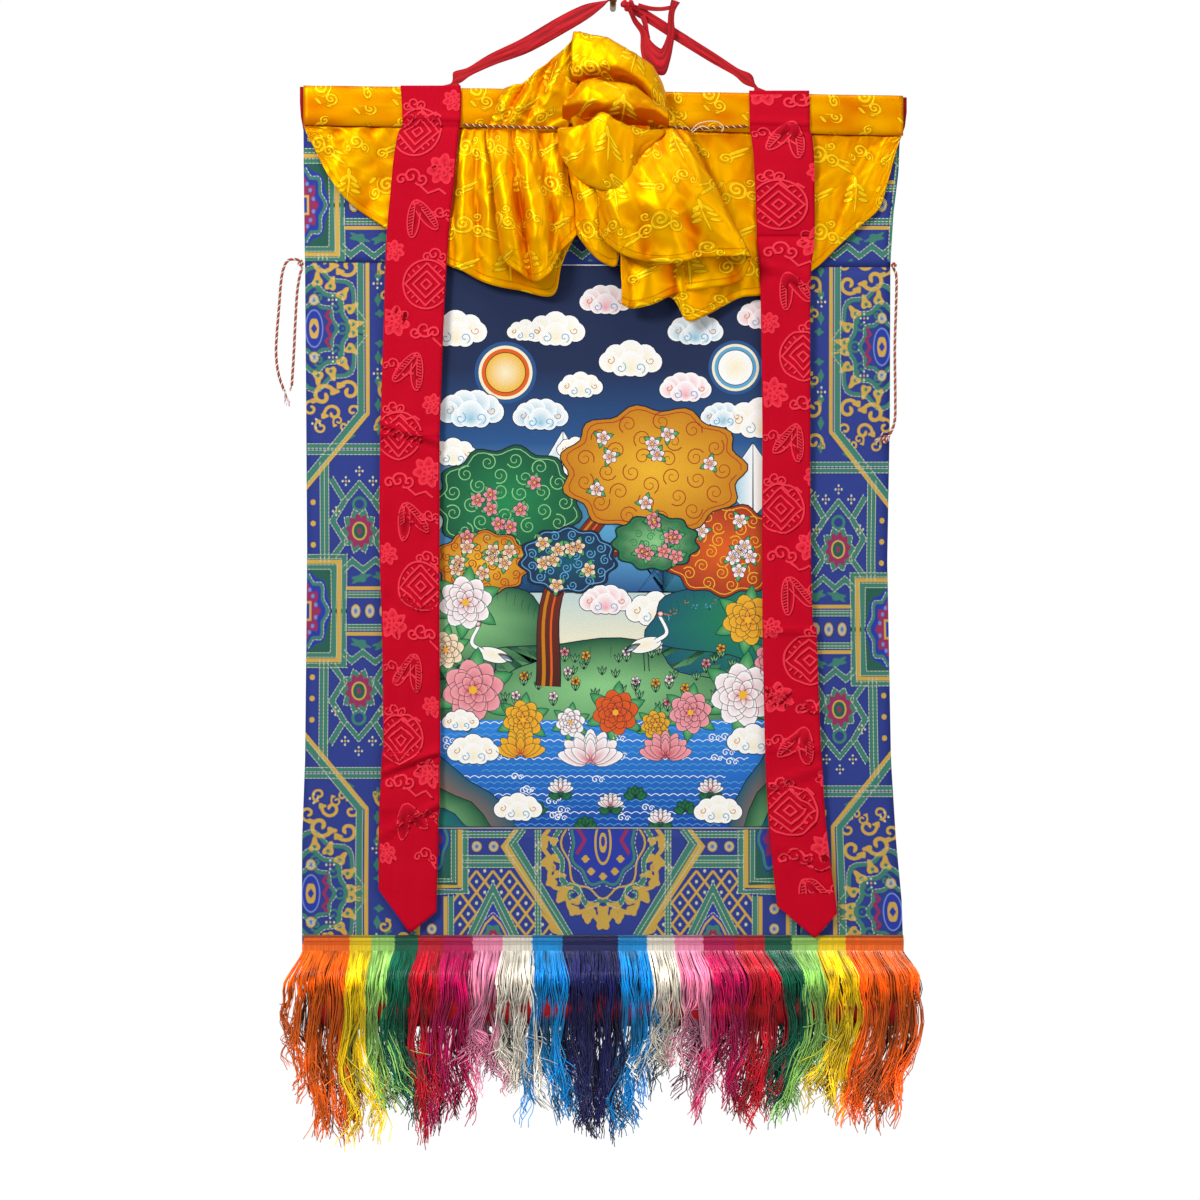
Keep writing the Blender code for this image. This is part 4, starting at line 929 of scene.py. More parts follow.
def wound(name, left, right, middle_z, middle_depth, high, deep, steps, pucker, power=2.0):
    """A tube of cloth round a stick: an oval, or with a higher power a flat bar with round edges."""
    rows = []
    for i in range(48):
        around = tau * i / 48
        c, s = cos(around), sin(around)
        reach = (abs(c) ** power + abs(s) ** power) ** (-1 / power)
        column = []
        for j in range(steps + 1):
            x = mix(left, right, j / steps)
            fold = 1 + pucker * 2 / high * wander(x / 26, c * 1.3, s * 1.3)
            column.append(at(x, middle_z(x) + s * reach * high / 2 * fold,
                             middle_depth + c * reach * deep / 2 * fold))
        rows.append(column)
    return grid_mesh(name, rows, closed=True)


ROLLER_Z, ROLLER_MIDDLE = BROCADE_BOTTOM - GAP - ROLLER_HIGH / 2, BACKING_BACK + BACKING_THICK
ROLLER_PUCKER = 0.5
roller = wound("roller", ROLLER_LEFT + 0.5, ROLLER_RIGHT - 0.5, lambda x: ROLLER_Z, ROLLER_MIDDLE,
               ROLLER_HIGH - 1.6, ROLLER_DEEP - 1.6, 90, ROLLER_PUCKER)
sleeve = piece("roller_cotton", roller, [cotton_look], replaces=["bottom_sleeve"])
thicken(sleeve, 0.6)


def end_cap(name, x, middle_z, middle_depth, high, deep):
    """The red cloth that is folded in over the end of a stick."""
    ring = [at(x, middle_z + sin(a) * high / 2, middle_depth + cos(a) * deep / 2)
            for a in [tau * i / 24 for i in range(24)]]
    mesh = bpy.data.meshes.new(name)
    mesh.from_pydata(ring, [], [tuple(range(24))])
    lay_out(mesh, [(p.y / MM, p.z / MM) for p in ring])
    return thicken(piece(name, mesh, [cotton_look]), 0.8)


for side, x in (("left", ROLLER_LEFT + 2), ("right", ROLLER_RIGHT - 2)):
    end_cap("roller_end_" + side, x, ROLLER_Z, ROLLER_MIDDLE, ROLLER_HIGH - 3, ROLLER_DEEP - 3)
print("backing and roller sleeve made")

# %% [markdown]
# ## Drawing with thread and ink
# The brocade's figures and the picture are drawn the same way: from small flat shapes laid just in
# front of the cloth, each a few hundredths of a millimetre above the last, as a figure thread floats
# over its ground. A drawing is a list of shapes; a shape has a height, a kind of thread and corners,
# each with its own colour, so a petal can fade from its root to its rim.

# %% Helpers for drawing
def dye(code):
    return linear(code)[:3]


GOLD, SILVER = dye("#CFA94E"), dye("#C9D0B8")  # metal threads


def thread_of(colour):
    """The kind of thread: 1 for metal, which shines, and 0 for silk, cotton or ink."""
    return int(colour in (GOLD, SILVER))


def fan(drawing, height, outline, rim, middle=None, centre=None):
    """A filled shape that fades from the colour of its rim to that of its middle."""
    n = len(outline)
    cx, cz = centre or (sum(p[0] for p in outline) / n, sum(p[1] for p in outline) / n)
    for (ax, az), (bx, bz) in zip(outline, outline[1:] + outline[:1]):
        drawing.append((height, thread_of(rim), [(cx, cz, *(middle or rim)), (ax, az, *rim),
                                                 (bx, bz, *rim)]))


def stroke(drawing, height, path, wide, colour, end=None, taper=1.0):
    """A line of a given width, which may change its colour and narrow towards its end."""
    n = len(path)
    sides = []
    for i, (x, z) in enumerate(path):
        (ax, az), (bx, bz) = path[max(i - 1, 0)], path[min(i + 1, n - 1)]
        run = hypot(bx - ax, bz - az) or 1.0
        nx, nz = -(bz - az) / run, (bx - ax) / run
        if 0 < i < n - 1:  # keep the width round a corner
            px, pz = path[i - 1]
            step = hypot(x - px, z - pz) or 1.0
            turn = abs(nx * -(z - pz) / step + nz * (x - px) / step)
            nx, nz = nx / max(turn, 0.45), nz / max(turn, 0.45)
        half = wide / 2 * mix(1.0, taper, i / (n - 1))
        tone = tuple(mix(p, q, i / (n - 1)) for p, q in zip(colour, end or colour))
        sides.append(((x + nx * half, z + nz * half, *tone), (x - nx * half, z - nz * half, *tone)))
    for (a, b), (c, d) in zip(sides, sides[1:]):
        drawing.append((height, thread_of(colour), [a, b, d, c]))


def blob(drawing, height, colour, x, z, across, up, *edge):
    """A filled oval of one colour."""
    fan(drawing, height, oval(x, z, across, up, *edge), colour)


def oval(x, z, across, up, count=20, lobes=0, deep=0.0, start=0.0, turn=0.0):
    """Places round an oval. Lobes make its edge wavy."""
    places = []
    for i in range(count):
        a = tau * i / count
        reach = 1 + deep * cos(lobes * a + start)
        px, pz = cos(a) * across * reach, sin(a) * up * reach
        places.append((x + px * cos(turn) - pz * sin(turn), z + px * sin(turn) + pz * cos(turn)))
    return places


def curl(x, z, size, start, turns=1.25, count=14, hand=1):
    """Places along a spiral that winds in to its middle."""
    return [
        (x + cos(start + hand * tau * turns * t) * size * (1 - 0.85 * t),
         z + sin(start + hand * tau * turns * t) * size * (1 - 0.85 * t))
        for t in [i / count for i in range(count + 1)]
    ]


def clipped(corners, limits):
    """The part of a shape inside (low x, high x, low z, high z). Colours are carried along the cut."""
    for axis, limit, keep in ((0, limits[0], 1), (0, limits[1], -1), (1, limits[2], 1),
                              (1, limits[3], -1)):
        kept = []
        for a, b in zip(corners, corners[1:] + corners[:1]):
            in_a, in_b = (a[axis] - limit) * keep >= 0, (b[axis] - limit) * keep >= 0
            if in_a:
                kept.append(a)
            if in_a != in_b:
                share = (limit - a[axis]) / (b[axis] - a[axis])
                kept.append(tuple(mix(p, q, share) for p, q in zip(a, b)))
        corners = kept
        if len(corners) < 3:
            return []
    return corners


def drawing_mesh(name, shapes, depth, step, lay=None):
    """The shapes as a mesh in front of the cloth, facing the room, with their colours in `dye`. A lay
    puts them on cloth that isn't flat."""
    lay = lay or (lambda x, z, above: at(x, z, depth + above))
    points, faces, colours, threads = [], [], [], []
    for height, thread, corners in shapes:
        area = sum(a[0] * b[1] - b[0] * a[1] for a, b in zip(corners, corners[1:] + corners[:1]))
        if abs(area) < 0.004:
            continue
        corners = corners if area > 0 else corners[::-1]
        faces.append(tuple(range(len(points), len(points) + len(corners))))
        above = height + 0.1 * (len(faces) * 0.618 % 1)  # so that two shapes never lie in one plane
        points += [lay(c[0], c[1], above * step) for c in corners]
        colours += [part for c in corners for part in (*c[2:5], 1.0)]
        threads.append(thread)
    mesh = bpy.data.meshes.new(name)
    mesh.from_pydata(points, [], faces)
    layer = mesh.attributes.new("dye", "FLOAT_COLOR", "POINT")
    layer.data.foreach_set("color", colours)
    lay_out(mesh, [(p.x / MM, p.z / MM) for p in points])
    mesh.polygons.foreach_set("material_index", threads)
    mesh.update()
    return mesh


print("drawing helpers ready")

# %% [markdown]
# ## The brocade frame
# Brocade is a silk ground with extra threads woven in for the pattern: here green, gold and crimson
# on blue, each figure edged with a broken silver thread. Four panels are cut from the cloth and sewn
# round the picture. The ground is a plain weave whose threads change from dark to light blue.

# %% Brocade ground and panels
SWELL = 45.0  # how long the slow swells of a hanging cloth are


def woven_look(name, rough, tones, pitch, speckle=0.3, **constants):
    """A woven cloth between two tones, or without them in the colours of its drawing."""
    look, tree, shader = material(name, rough, Specular_IOR_Level=0.25, **constants)
    place = cloth_place(tree)
    threads = weave(tree, place, *pitch)
    grain = add(tree, "ShaderNodeTexNoise", {"Vector": place, "Scale": 1.1, "Detail": 3.0,
                                             "Roughness": 0.7})
    tone = math_of(tree, "MULTIPLY_ADD", threads, speckle, grain)
    if not tones:
        bright = add(tree, "ShaderNodeMapRange", {"Value": tone, 3: 0.62, 4: 1.25})
        drawn = add(tree, "ShaderNodeAttribute", attribute_name="dye", out="Color")
        shade = add(tree, "ShaderNodeMix", {0: 1.0, 6: drawn, 7: bright}, data_type="RGBA",
                    blend_type="MULTIPLY", out=2)
    else:
        shade = two_tone(tree, tone, *tones)
    plug(shader, Base_Color=shade)
    swell = add(tree, "ShaderNodeTexNoise", {"Vector": place, "Scale": 1.0 / SWELL, "Detail": 1.0})
    plug(shader, Normal=bump(tree, threads, 0.12, 0.8, under=bump(tree, swell, 0.8)))
    return look


brocade_look = woven_look("blue_brocade_ground", 0.6, ("#141C5C", "#3148A4"), (0.9, 0.7), 0.45)
figure_look = woven_look("brocade_figure_thread", 0.6, None, (1.1, 0.8), 0.9)
metal_look = woven_look("gilt_brocade_thread", 0.42, None, (1.3, 0.8), 1.0, Metallic=0.35)

BROCADE_SHEET = 0.7  # how thick the cloth is
BROCADE_MIDDLE = BROCADE_BACK + BROCADE_THICK / 2


def brocade_panel(name, ends, sides, steps):
    rows = flat_rows(ends, sides, BROCADE_MIDDLE, *steps)
    obj = piece(name + "_cloth", grid_mesh(name, rows), [brocade_look], replaces=[name])
    thicken(obj, BROCADE_SHEET)
    return obj


def seam_z(x):
    """The height of the seam under the top panel, which slopes a little."""
    return mix(SEAM_LEFT_Z, SEAM_RIGHT_Z, (x - EDGE_ROWS[3][1]) / (EDGE_ROWS[3][2] - EDGE_ROWS[3][1]))


SEAM_ROOM = 0.2  # between a panel and its neighbour
side_ends = (lambda x: seam_z(x) - GAP, BROCADE_BOTTOM)
brocade_panel("brocade_top", (lambda x: sleeve_bottom(x) - GAP, seam_z), (left_edge, right_edge),
              (60, 16))
brocade_panel("brocade_left", side_ends, (left_edge, WINDOW_LEFT - SEAM_ROOM), (10, 70))
brocade_panel("brocade_right", side_ends, (WINDOW_RIGHT + SEAM_ROOM, right_edge), (10, 70))
brocade_panel("brocade_bottom", (WINDOW_BOTTOM - SEAM_ROOM, BROCADE_BOTTOM),
              (WINDOW_LEFT + SEAM_ROOM, WINDOW_RIGHT - SEAM_ROOM), (38, 16))
print("four brocade panels made")

# %% [markdown]
# ### The woven figures
# The loom repeats one unit and mirrors it at every repeat, so only one quarter of each repeat is
# drawn: straps of green and gold that cross and turn, flowers with crimson petals, framed medallions,
# pairs of roundels and lattices of gold diamonds. Every strap carries broken silver lines along its
# edges.

# %% Threads and figures
GREEN, DEEP_GREEN = dye("#3A7D6C"), dye("#1E5A4C")
CRIMSON, BLUE, PALE_BLUE = dye("#93285A"), dye("#2236A0"), dye("#6E86CF")


def strap(unit, height, path, wide, colour=GREEN, silver=(-1, 1)):
    """A woven strap. If it isn't gold, broken silver lines run along it at shares of its half width."""
    shapes, lines = unit
    stroke(shapes, height, path, wide, colour)
    for side in () if colour == GOLD else silver:
        edge = []
        stroke(edge, 0, path, wide * abs(side), colour)
        corner = 0 if side > 0 else 1
        line = [quad[2][corner][:2] for quad in edge] + [edge[-1][2][3 if corner == 0 else 2][:2]]
        lines.append(line if side else path)


def ring_of(unit, height, places, wide, colour):
    stroke(unit[0], height, places + places[:2], wide, colour)


def roundel(unit, x, z, across, up, height=6):
    """A small coin: a gold ring round a silver heart."""
    blob(unit[0], height, GOLD, x, z, across, up, 10)
    fan(unit[0], height + 1, oval(x, z, across * 0.72, up * 0.72, 10), SILVER, BLUE)


def flower(unit, x, z, size, height=5):
    """A crimson flower: ragged green leaves, ragged petals, a gold ring and a green heart."""
    shapes, lines = unit
    leaves = oval(x, z, size, size * 1.2, 40, 10, 0.13)
    fan(shapes, height, leaves, GREEN)
    lines.append(leaves + leaves[:1])
    blob(shapes, height + 1, CRIMSON, x, z, size * 0.74, size * 0.95, 40, 10, 0.14, 1.5)
    blob(shapes, height + 2, GOLD, x, z, size * 0.42, size * 0.62, 16, 2, 0.1)
    blob(shapes, height + 3, DEEP_GREEN, x, z, size * 0.32, size * 0.5, 16, 2, 0.1)
    blob(shapes, height + 4, CRIMSON, x, z, size * 0.12, size * 0.2, 8)


def quincunx(unit, x, z, step=3.0, height=6):
    """Five dots as on a die, standing on its corner."""
    for dx, dz in ((0, 0), (step, 0), (-step, 0), (0, step), (0, -step)):
        blob(unit[0], height, GOLD if dx == dz else SILVER, x + dx, z + dz * 1.15, 0.95, 1.15, 6)


def scroll(unit, x, z, size, start, hand, height=5, colour=GOLD):
    """A cusped scroll: a spiral with a leaf at its outer end."""
    path = curl(x, z, size, start, 1.1, 16, hand)
    stroke(unit[0], height, path, size * 0.34, colour)
    blob(unit[0], height, colour, *path[0], size * 0.42, size * 0.3, 12, 3, 0.25)


AXIS = 226  # how far the second mirror line of the side panels is above the first
SIDE_SCROLLS = (
    # s, d, size, start, hand
    (14, 172, 9.5, 0.4, 1), (35, 176, 8.5, 2.6, -1), (4, 162, 6.5, 1.2, 1), (22, 158, 7.5, 3.4, -1),
    (38, 160, 6.0, 5.0, 1), (12, 147, 5.5, 2.0, 1), (31, 148, 5.0, 0.6, -1), (26, 152, 4.5, 4.0, -1),
    (64, 150, 7.5, 3.6, -1), (78, 160, 6.0, 0.5, 1), (66, 176, 7.5, 2.4, 1), (80, 190, 7.0, 5.2, -1),
    (64, 200, 5.5, 1.0, -1),
)


def side_unit():
    """A quarter of the side panels' repeat: s runs in from the outer edge, d up from the middle."""
    unit = ([], [])
    shapes, lines = unit
    # the framed medallion on the middle line
    fan(shapes, 1, [(0, 0), (30, 0), (30, 44), (0, 44)], DEEP_GREEN)
    strap(unit, 2, [(-4, 43.5), (30.5, 43.5), (30.5, -3)], 3.4)
    strap(unit, 3, [(-4, 39.4), (26.4, 39.4), (26.4, -3)], 3.2, GOLD)
    strap(unit, 2, [(-4, 35.2), (22.2, 35.2), (22.2, -3)], 3.6)
    blob(shapes, 3, BLUE, 0, 0, 19.5, 31, 48, 8, 0.05)
    ring_of(unit, 4, oval(0, 0, 15.5, 26, 48, 8, 0.10), 2.6, GREEN)
    lines.append(oval(0, 0, 17.0, 28, 48, 8, 0.10))
    blob(shapes, 5, CRIMSON, 0, 0, 10.5, 20, 32, 8, 0.16, 0.4)
    for x, z in ((5, 12), (7.5, 5), (2.5, 17)):
        blob(shapes, 6, PALE_BLUE, x, z, 1.6, 1.9, 6)
    fan(shapes, 6, [(-4, -8), (4, -8), (4, 8), (-4, 8)], GOLD)
    fan(shapes, 7, [(-2.2, -6), (2.2, -6), (2.2, 6), (-2.2, 6)], BLUE)
    # bars with roundels beside it
    strap(unit, 3, [(32, 18.2), (90, 18.2)], 3.0, GOLD)
    strap(unit, 2, [(32, 13.0), (90, 13.0)], 5.0, GREEN, (-0.9, 0.1, 0.9))
    for s in (40, 51.5, 63, 74.5):
        roundel(unit, s, 0, 3.9, 5.6)
    # ivy leaves and a wavy strap
    for s, hand in ((44, 1), (62, -1)):
        blob(shapes, 4, GREEN, s, 26.5, 7.5, 3.4, 24, 5, 0.28, 0.6, 0.35 * hand)
    strap(unit, 3, [(30, 33), (37, 40), (46, 33), (56, 41), (66, 33), (76, 41), (88, 33)], 4.2)
    # the flower and the straps that cross round it
    flower(unit, 43, 64, 13.5)
    strap(unit, 3, [(20, 106), (31, 88), (21, 72), (31, 56), (22, 44)], 4.6)
    strap(unit, 3, [(66, 106), (55, 88), (66, 72), (56, 56), (64, 44)], 4.6)
    strap(unit, 4, [(31, 88), (43, 102), (55, 88)], 4.0)
    ring_of(unit, 5, oval(43, 85.5, 5.0, 5.0, 14), 2.4, GREEN)
    for s, d in ((43, 112), (32, 104), (54, 104), (24, 80), (62, 80), (72, 60), (74, 92)):
        quincunx(unit, s, d, 2.6)
    flower(unit, 84, 76, 10)
    # the blue strip with gold dots, and the broad strap beside it
    strap(unit, 2, [(14.5, 40), (14.5, 118)], 7.4, GREEN, (-0.95, 0, 0.95))
    for d in (53, 70, 87):
        blob(shapes, 4, GOLD, 5.2, d, 2.3, 2.4, 8)
    # the zigzag to the edge, the double band and the scrolls above it
    strap(unit, 7, [(-6, 92), (50, 158), (50, 230)], 3.2, GOLD)
    strap(unit, 6, [(-6, 98.5), (44.5, 158.5), (44.5, 230)], 5.2)
    strap(unit, 5, [(-4, 127), (90, 127)], 3.6)
    strap(unit, 5, [(-4, 132), (90, 132)], 3.6)
    strap(unit, 4, [(66, 112), (88, 88)], 3.2, GOLD)
    strap(unit, 4, [(62, 108), (84, 84)], 4.0)
    for s, d, size, start, hand in SIDE_SCROLLS:
        scroll(unit, s, d, size, start, hand)
    for s, d in ((22, 203), (8, 150), (72, 142), (58, 190)):
        quincunx(unit, s, d)
    for reach, wide in ((1.42, 3.0), (1.0, 3.6), (0.62, 2.6)):
        ring_of(unit, 4, oval(7, AXIS, 27 * reach, 32 * reach, 56, 8, 0.08), wide, GREEN)
        lines.append(oval(7, AXIS, 27 * reach + 2, 32 * reach + 2.2, 56, 8, 0.08))
    for k in range(9):  # gold cusps that point outwards all round it
        a = radians(-85 + 19.95 * k)
        px, pz = 7 + cos(a) * 33, AXIS + sin(a) * 39
        blob(shapes, 6, GOLD, px, pz, 5.6, 3.8, 18, 3, 0.3, 0.5, a)
        blob(shapes, 7, GREEN, px - cos(a) * 1.5, pz - sin(a) * 1.5, 1.6, 1.6, 8)
    for k in range(5):
        a = radians(-80 + 40 * k)
        scroll(unit, 7 + cos(a) * 22, AXIS + sin(a) * 26, 5.0, a, 1 if k % 2 else -1, 6, GREEN)
    blob(shapes, 6, PALE_BLUE, 7, AXIS, 7.5, 15.5, 24)
    blob(shapes, 7, BLUE, 7, AXIS, 6.4, 14.2, 24)
    blob(shapes, 8, GOLD, 7, AXIS, 3.2, 10.5, 20, 2, 0.25)
    fan(shapes, 9, [(7, AXIS - 4), (9.6, AXIS), (7, AXIS + 4), (4.4, AXIS)], BLUE)
    roundel(unit, 7, AXIS - 23, 4.0, 4.6)
    stroke(shapes, 7, [(20, AXIS - 15), (16.5, AXIS - 10), (20.5, AXIS - 6), (17, AXIS),
                       (20.5, AXIS + 6)], 2.4, CRIMSON)
    for s, d in ((60, 60), (70, 70), (36, 140.5), (70, 120), (86, 118), (60, 214), (66, 196)):
        blob(shapes, 4, GREEN, s, d, 3.4, 2.6, 14, 4, 0.3, 0.4)
    for d in (146, 165, 184, 203):
        blob(shapes, 5, GREEN, 58.5, d, 2.4, 4.6, 14, 4, 0.25)
    ring_of(unit, 5, oval(84, AXIS, 14, 22, 32, 4, 0.1), 2.4, GREEN)
    return unit


def bottom_unit():
    """Half of the bottom panel's repeat: u runs from a medallion's middle, h down from the window."""
    unit = ([], [])
    shapes, lines = unit
    # the medallion
    ring_of(unit, 2, oval(0, -11, 46, 60, 72, 12, 0.07), 3.4, GOLD)
    for i in range(12):
        a = radians(90 - 15 * i)
        blob(shapes, 3, GOLD, cos(a) * 47.5, -11 + sin(a) * 62, 4.4, 4.4, 12, 3, 0.25, i)
    ring_of(unit, 3, oval(0, -11, 37, 49, 64, 10, 0.07), 3.8, GREEN)
    lines += [oval(0, -11, 35, 46.6, 64, 10, 0.07), oval(0, -11, 39, 51.4, 64, 10, 0.07)]
    blob(shapes, 4, BLUE, 0, -11, 27, 36, 56, 8, 0.07, pi)
    ring_of(unit, 5, oval(0, -11, 25, 33.5, 56, 8, 0.07, pi), 2.2, GREEN)
    lines.append(oval(0, -11, 27.5, 36.5, 56, 8, 0.07, pi))
    stroke(shapes, 6, [(21, 2), (14.5, -9), (21, -20)], 2.8, CRIMSON)
    blob(shapes, 6, GOLD, 0, -11, 7, 18, 24)
    blob(shapes, 7, BLUE, 0, -11, 5.2, 15.6, 24)
    blob(shapes, 8, GOLD, 0, -11, 2.6, 10, 16, 2, 0.2)
    blob(shapes, 9, BLUE, 0, -10, 1.6, 4.2, 12)
    for x, z in ((14, -24), (9.5, -34), (0, -38)):
        blob(shapes, 6, GOLD, x, z, 3.0, 3.0, 10, 4, 0.2)
    for k in range(9):  # gold leaves that lick outwards round the medallion
        a = radians(2 - 15 * k)
        px, pz = cos(a) * 40.5, -11 + sin(a) * 54.5
        blob(shapes, 6, GOLD, px, pz, 5.2, 2.9, 16, 3, 0.35, 1.2 * k, a + 0.5)
    ring_of(unit, 6, oval(0, -11, 31.5, 42, 60, 8, 0.07), 1.6, GOLD)
    for x, z in ((46, -8), (47, -24), (44, -42), (36, -58), (26, -70)):
        quincunx(unit, x * 1.12, z * 1.12 - 4, 2.2)
    scroll(unit, 24, -52, 9, 0.8, 1, 5, GREEN)
    lines.append(curl(24, -52, 9, 0.8, 1.1))
    scroll(unit, 9, -66, 6.5, 2.2, -1, 6)
    blob(shapes, 6, GOLD, 0, -74, 4.5, 8, 16, 3, 0.3, 1.5)
    scroll(unit, 41, -30, 5, 1.0, -1, 5)
    scroll(unit, 38, -78, 5.5, 4.0, 1, 5)
    # the big V: gold inside, green outside
    strap(unit, 8, [(66, 4), (79, -12.8), (20, -106), (0, -137)], 3.2, GOLD)
    strap(unit, 7, [(61, 4), (73.4, -12.8), (15, -105), (-5, -136)], 5.6, GREEN, (-0.95, 0, 0.95))
    strap(unit, 5, [(52, 4), (52, -130)], 5.0, GREEN, (-0.9, 0, 0.9))
    # bars and roundels
    strap(unit, 5, [(72, -4.4), (112, -4.4)], 5.4, GREEN, (-0.9, 0, 0.9))
    strap(unit, 5, [(72, -26), (112, -26)], 10.0, GREEN, (-0.95, -0.2, 0.2, 0.95))
    for u in (87.5, 101):
        roundel(unit, u, -14, 4.1, 4.4)
    # the gold lattice with a dot in every diamond
    for j in range(12):
        for i in range(-10, 6):
            u, h = 88 + 6.6 * i, -33.5 - 8.6 * j
            if not 82 + (h + 12.8) * 0.633 < u < 120:  # it lies between the V and the corner
                continue
            if (i + j) % 2:
                blob(shapes, 4, SILVER, u, h, 1.25, 1.5, 8)
                continue
            for side in (-1, 1):
                stroke(shapes, 3, [(u, h), (u + 6.6 * side, h - 8.6)], 2.0, GOLD)
    # the chevron and the niche in it
    fan(shapes, 5, [(88, -46), (60, -110), (116, -110)], BLUE)
    strap(unit, 6, [(58, -112), (88, -50), (118, -112)], 7.6, GREEN, (-0.95, -0.1, 0.95))
    stroke(shapes, 6, [(76, -100), (77, -86), (82, -76), (88, -70), (94, -76), (99, -86), (100, -100)],
           1.8, GOLD)
    lines.append([(73.5, -100), (75, -84), (81, -73), (88, -66.5), (95, -73), (101, -84),
                  (102.5, -100)])
    blob(shapes, 7, GREEN, 88, -86, 7.5, 9.5, 24, 6, 0.15)
    blob(shapes, 8, CRIMSON, 88, -86, 4.2, 5.6, 16, 6, 0.15)
    blob(shapes, 9, GOLD, 88, -86, 1.6, 2.2, 8)
    # the corner bands and the medallion on the far mirror line
    strap(unit, 10, [(114.5, 4), (114.5, -46), (142, -46)], 3.6, GOLD)
    strap(unit, 9, [(110.2, 4), (110.2, -50.2), (142, -50.2)], 4.4)
    fan(shapes, 5, [(116, 0), (142, 0), (142, -46), (116, -46)], DEEP_GREEN)
    strap(unit, 6, [(119.6, 4), (119.6, -41), (142, -41)], 4.0, GREEN, (-0.9, 0.9))
    blob(shapes, 7, BLUE, 137, -8, 13.5, 27, 40, 6, 0.1)
    ring_of(unit, 8, oval(137, -8, 11.5, 24, 40, 6, 0.1), 2.2, GREEN)
    blob(shapes, 8, CRIMSON, 137, -8, 7.5, 16, 32, 8, 0.2)
    blob(shapes, 9, GOLD, 137, -8, 2.8, 6.5, 12)
    strap(unit, 5, [(126, -54), (126, -130)], 3.2, GOLD)
    strap(unit, 5, [(121.6, -54), (121.6, -130)], 4.2)
    for h in (-64, -80, -96):
        roundel(unit, 137, h, 4.0, 4.4, 5)
    return unit


# %% [markdown]
# The quarter is mirrored over the panel like the loom does it, cut at the panel's edges, and bent to
# the panel's side, which draws in a little. The silver lines go to a node tree that sets one short
# stitch after another along them.

# %% Lay the figures on the panels
stitch_tree, given = new_tree("stitches", Step=0.003, Long=0.002, Wide=0.0006, Look="")
line = add(stitch_tree, "GeometryNodeMeshToCurve", given["Geometry"])
dots = stitch_tree.nodes.new("GeometryNodeCurveToPoints")
dots.mode = "LENGTH"
stitch_tree.links.new(line, dots.inputs["Curve"])
stitch_tree.links.new(given["Step"], dots.inputs["Length"])
heading = add(stitch_tree, "FunctionNodeAlignRotationToVector", {"Vector": dots.outputs["Tangent"]},
              axis="X", pivot_axis="Y")
flat_stitch = add(stitch_tree, "GeometryNodeMeshGrid",
                  {"Size X": given["Long"], "Size Y": given["Wide"], "Vertices X": 2, "Vertices Y": 2})
flat_stitch = add(stitch_tree, "GeometryNodeTransform",
                  {"Geometry": flat_stitch, "Rotation": (radians(90), 0, 0)})
stitches = add(stitch_tree, "GeometryNodeInstanceOnPoints",
               {"Points": dots.outputs["Points"], "Instance": flat_stitch, "Rotation": heading})
end_tree(stitch_tree, stitches, given["Look"])

silver_look, _, _ = material("silver_stitch_thread", 0.45, Metallic=0.25, Base_Color=(*SILVER, 1.0))
FIGURE_STEP = 0.035  # how far each layer of thread lies above the last
STITCH_HEIGHT = 13.0


def lay_figures(name, unit, cell, middle, limits, bend):
    """Mirrors a unit from a middle over the limits, and makes its figures and its stitches."""
    wide, high = cell
    shapes, lines = [], []
    low_x, high_x, low_z, high_z = limits
    for i in range(floor((low_x - middle[0]) / wide), ceil((high_x - middle[0]) / wide)):
        for j in range(floor((low_z - middle[1]) / high), ceil((high_z - middle[1]) / high)):

            def laid(x, z):
                x, z = (x if i % 2 == 0 else wide - x), (z if j % 2 == 0 else high - z)
                return middle[0] + i * wide + x, middle[1] + j * high + z

            for height, thread, corners in unit[0]:
                corners = clipped(corners, (0, wide, 0, high))
                corners = clipped([(*laid(c[0], c[1]), *c[2:]) for c in corners],
                                  limits) if corners else []
                if corners:
                    shapes.append((height, thread, [(*bend(c[0], c[1]), *c[2:]) for c in corners]))
            for path in unit[1]:
                run = []
                for a, b in zip(path, path[1:]):
                    parts = max(1, round(dist(a, b) / 3))
                    for k in range(parts + 1):
                        x, z = mix(a[0], b[0], k / parts), mix(a[1], b[1], k / parts)
                        px, pz = laid(x, z)
                        drawn = 0 <= x <= wide and 0 <= z <= high
                        if drawn and low_x < px < high_x and low_z < pz < high_z:
                            run.append(at(*bend(px, pz), FIGURE_DEPTH + STITCH_HEIGHT * FIGURE_STEP))
                        else:
                            lines += [run] * (len(run) > 1)
                            run = []
                lines += [run] * (len(run) > 1)
    obj = piece(name + "_figures", drawing_mesh(name, shapes, FIGURE_DEPTH, FIGURE_STEP),
                [figure_look, metal_look])
    dashes = piece(name + "_silver", line_mesh(name + "_lines", lines), [])
    grow(dashes, stitch_tree, Step=0.0030, Long=0.0021, Wide=0.00062, Look=silver_look)
    print(f"{name}: {len(obj.data.polygons)} shapes, {len(dashes.data.polygons)} stitches")


FIGURE_DEPTH = BROCADE_MIDDLE + BROCADE_SHEET / 2 + 0.03
side_repeat = side_unit()
SIDE_WIDE, FOOT = 84, 137  # the side repeat's width, and the bottom repeat's width and height
foot_shapes, foot_lines = bottom_unit()
foot_repeat = ([(h, t, [(c[0], c[1] + FOOT, *c[2:]) for c in corners]) for h, t,
                corners in foot_shapes],
               [[(x, z + FOOT) for x, z in path] for path in foot_lines])
LEFT_AXIS_Z, RIGHT_AXIS_Z, FOOT_AXIS_X, TOP_AXIS_Z = -484.8, -499.5, -8.0, -160.0
# The sides between which the figures are drawn, before they are bent to the cloth's own.
LEFT_PANEL, RIGHT_PANEL, TOP_PANEL = (-246.0, -162.0), (150.0, 226.0), (-247.5, 226.0)


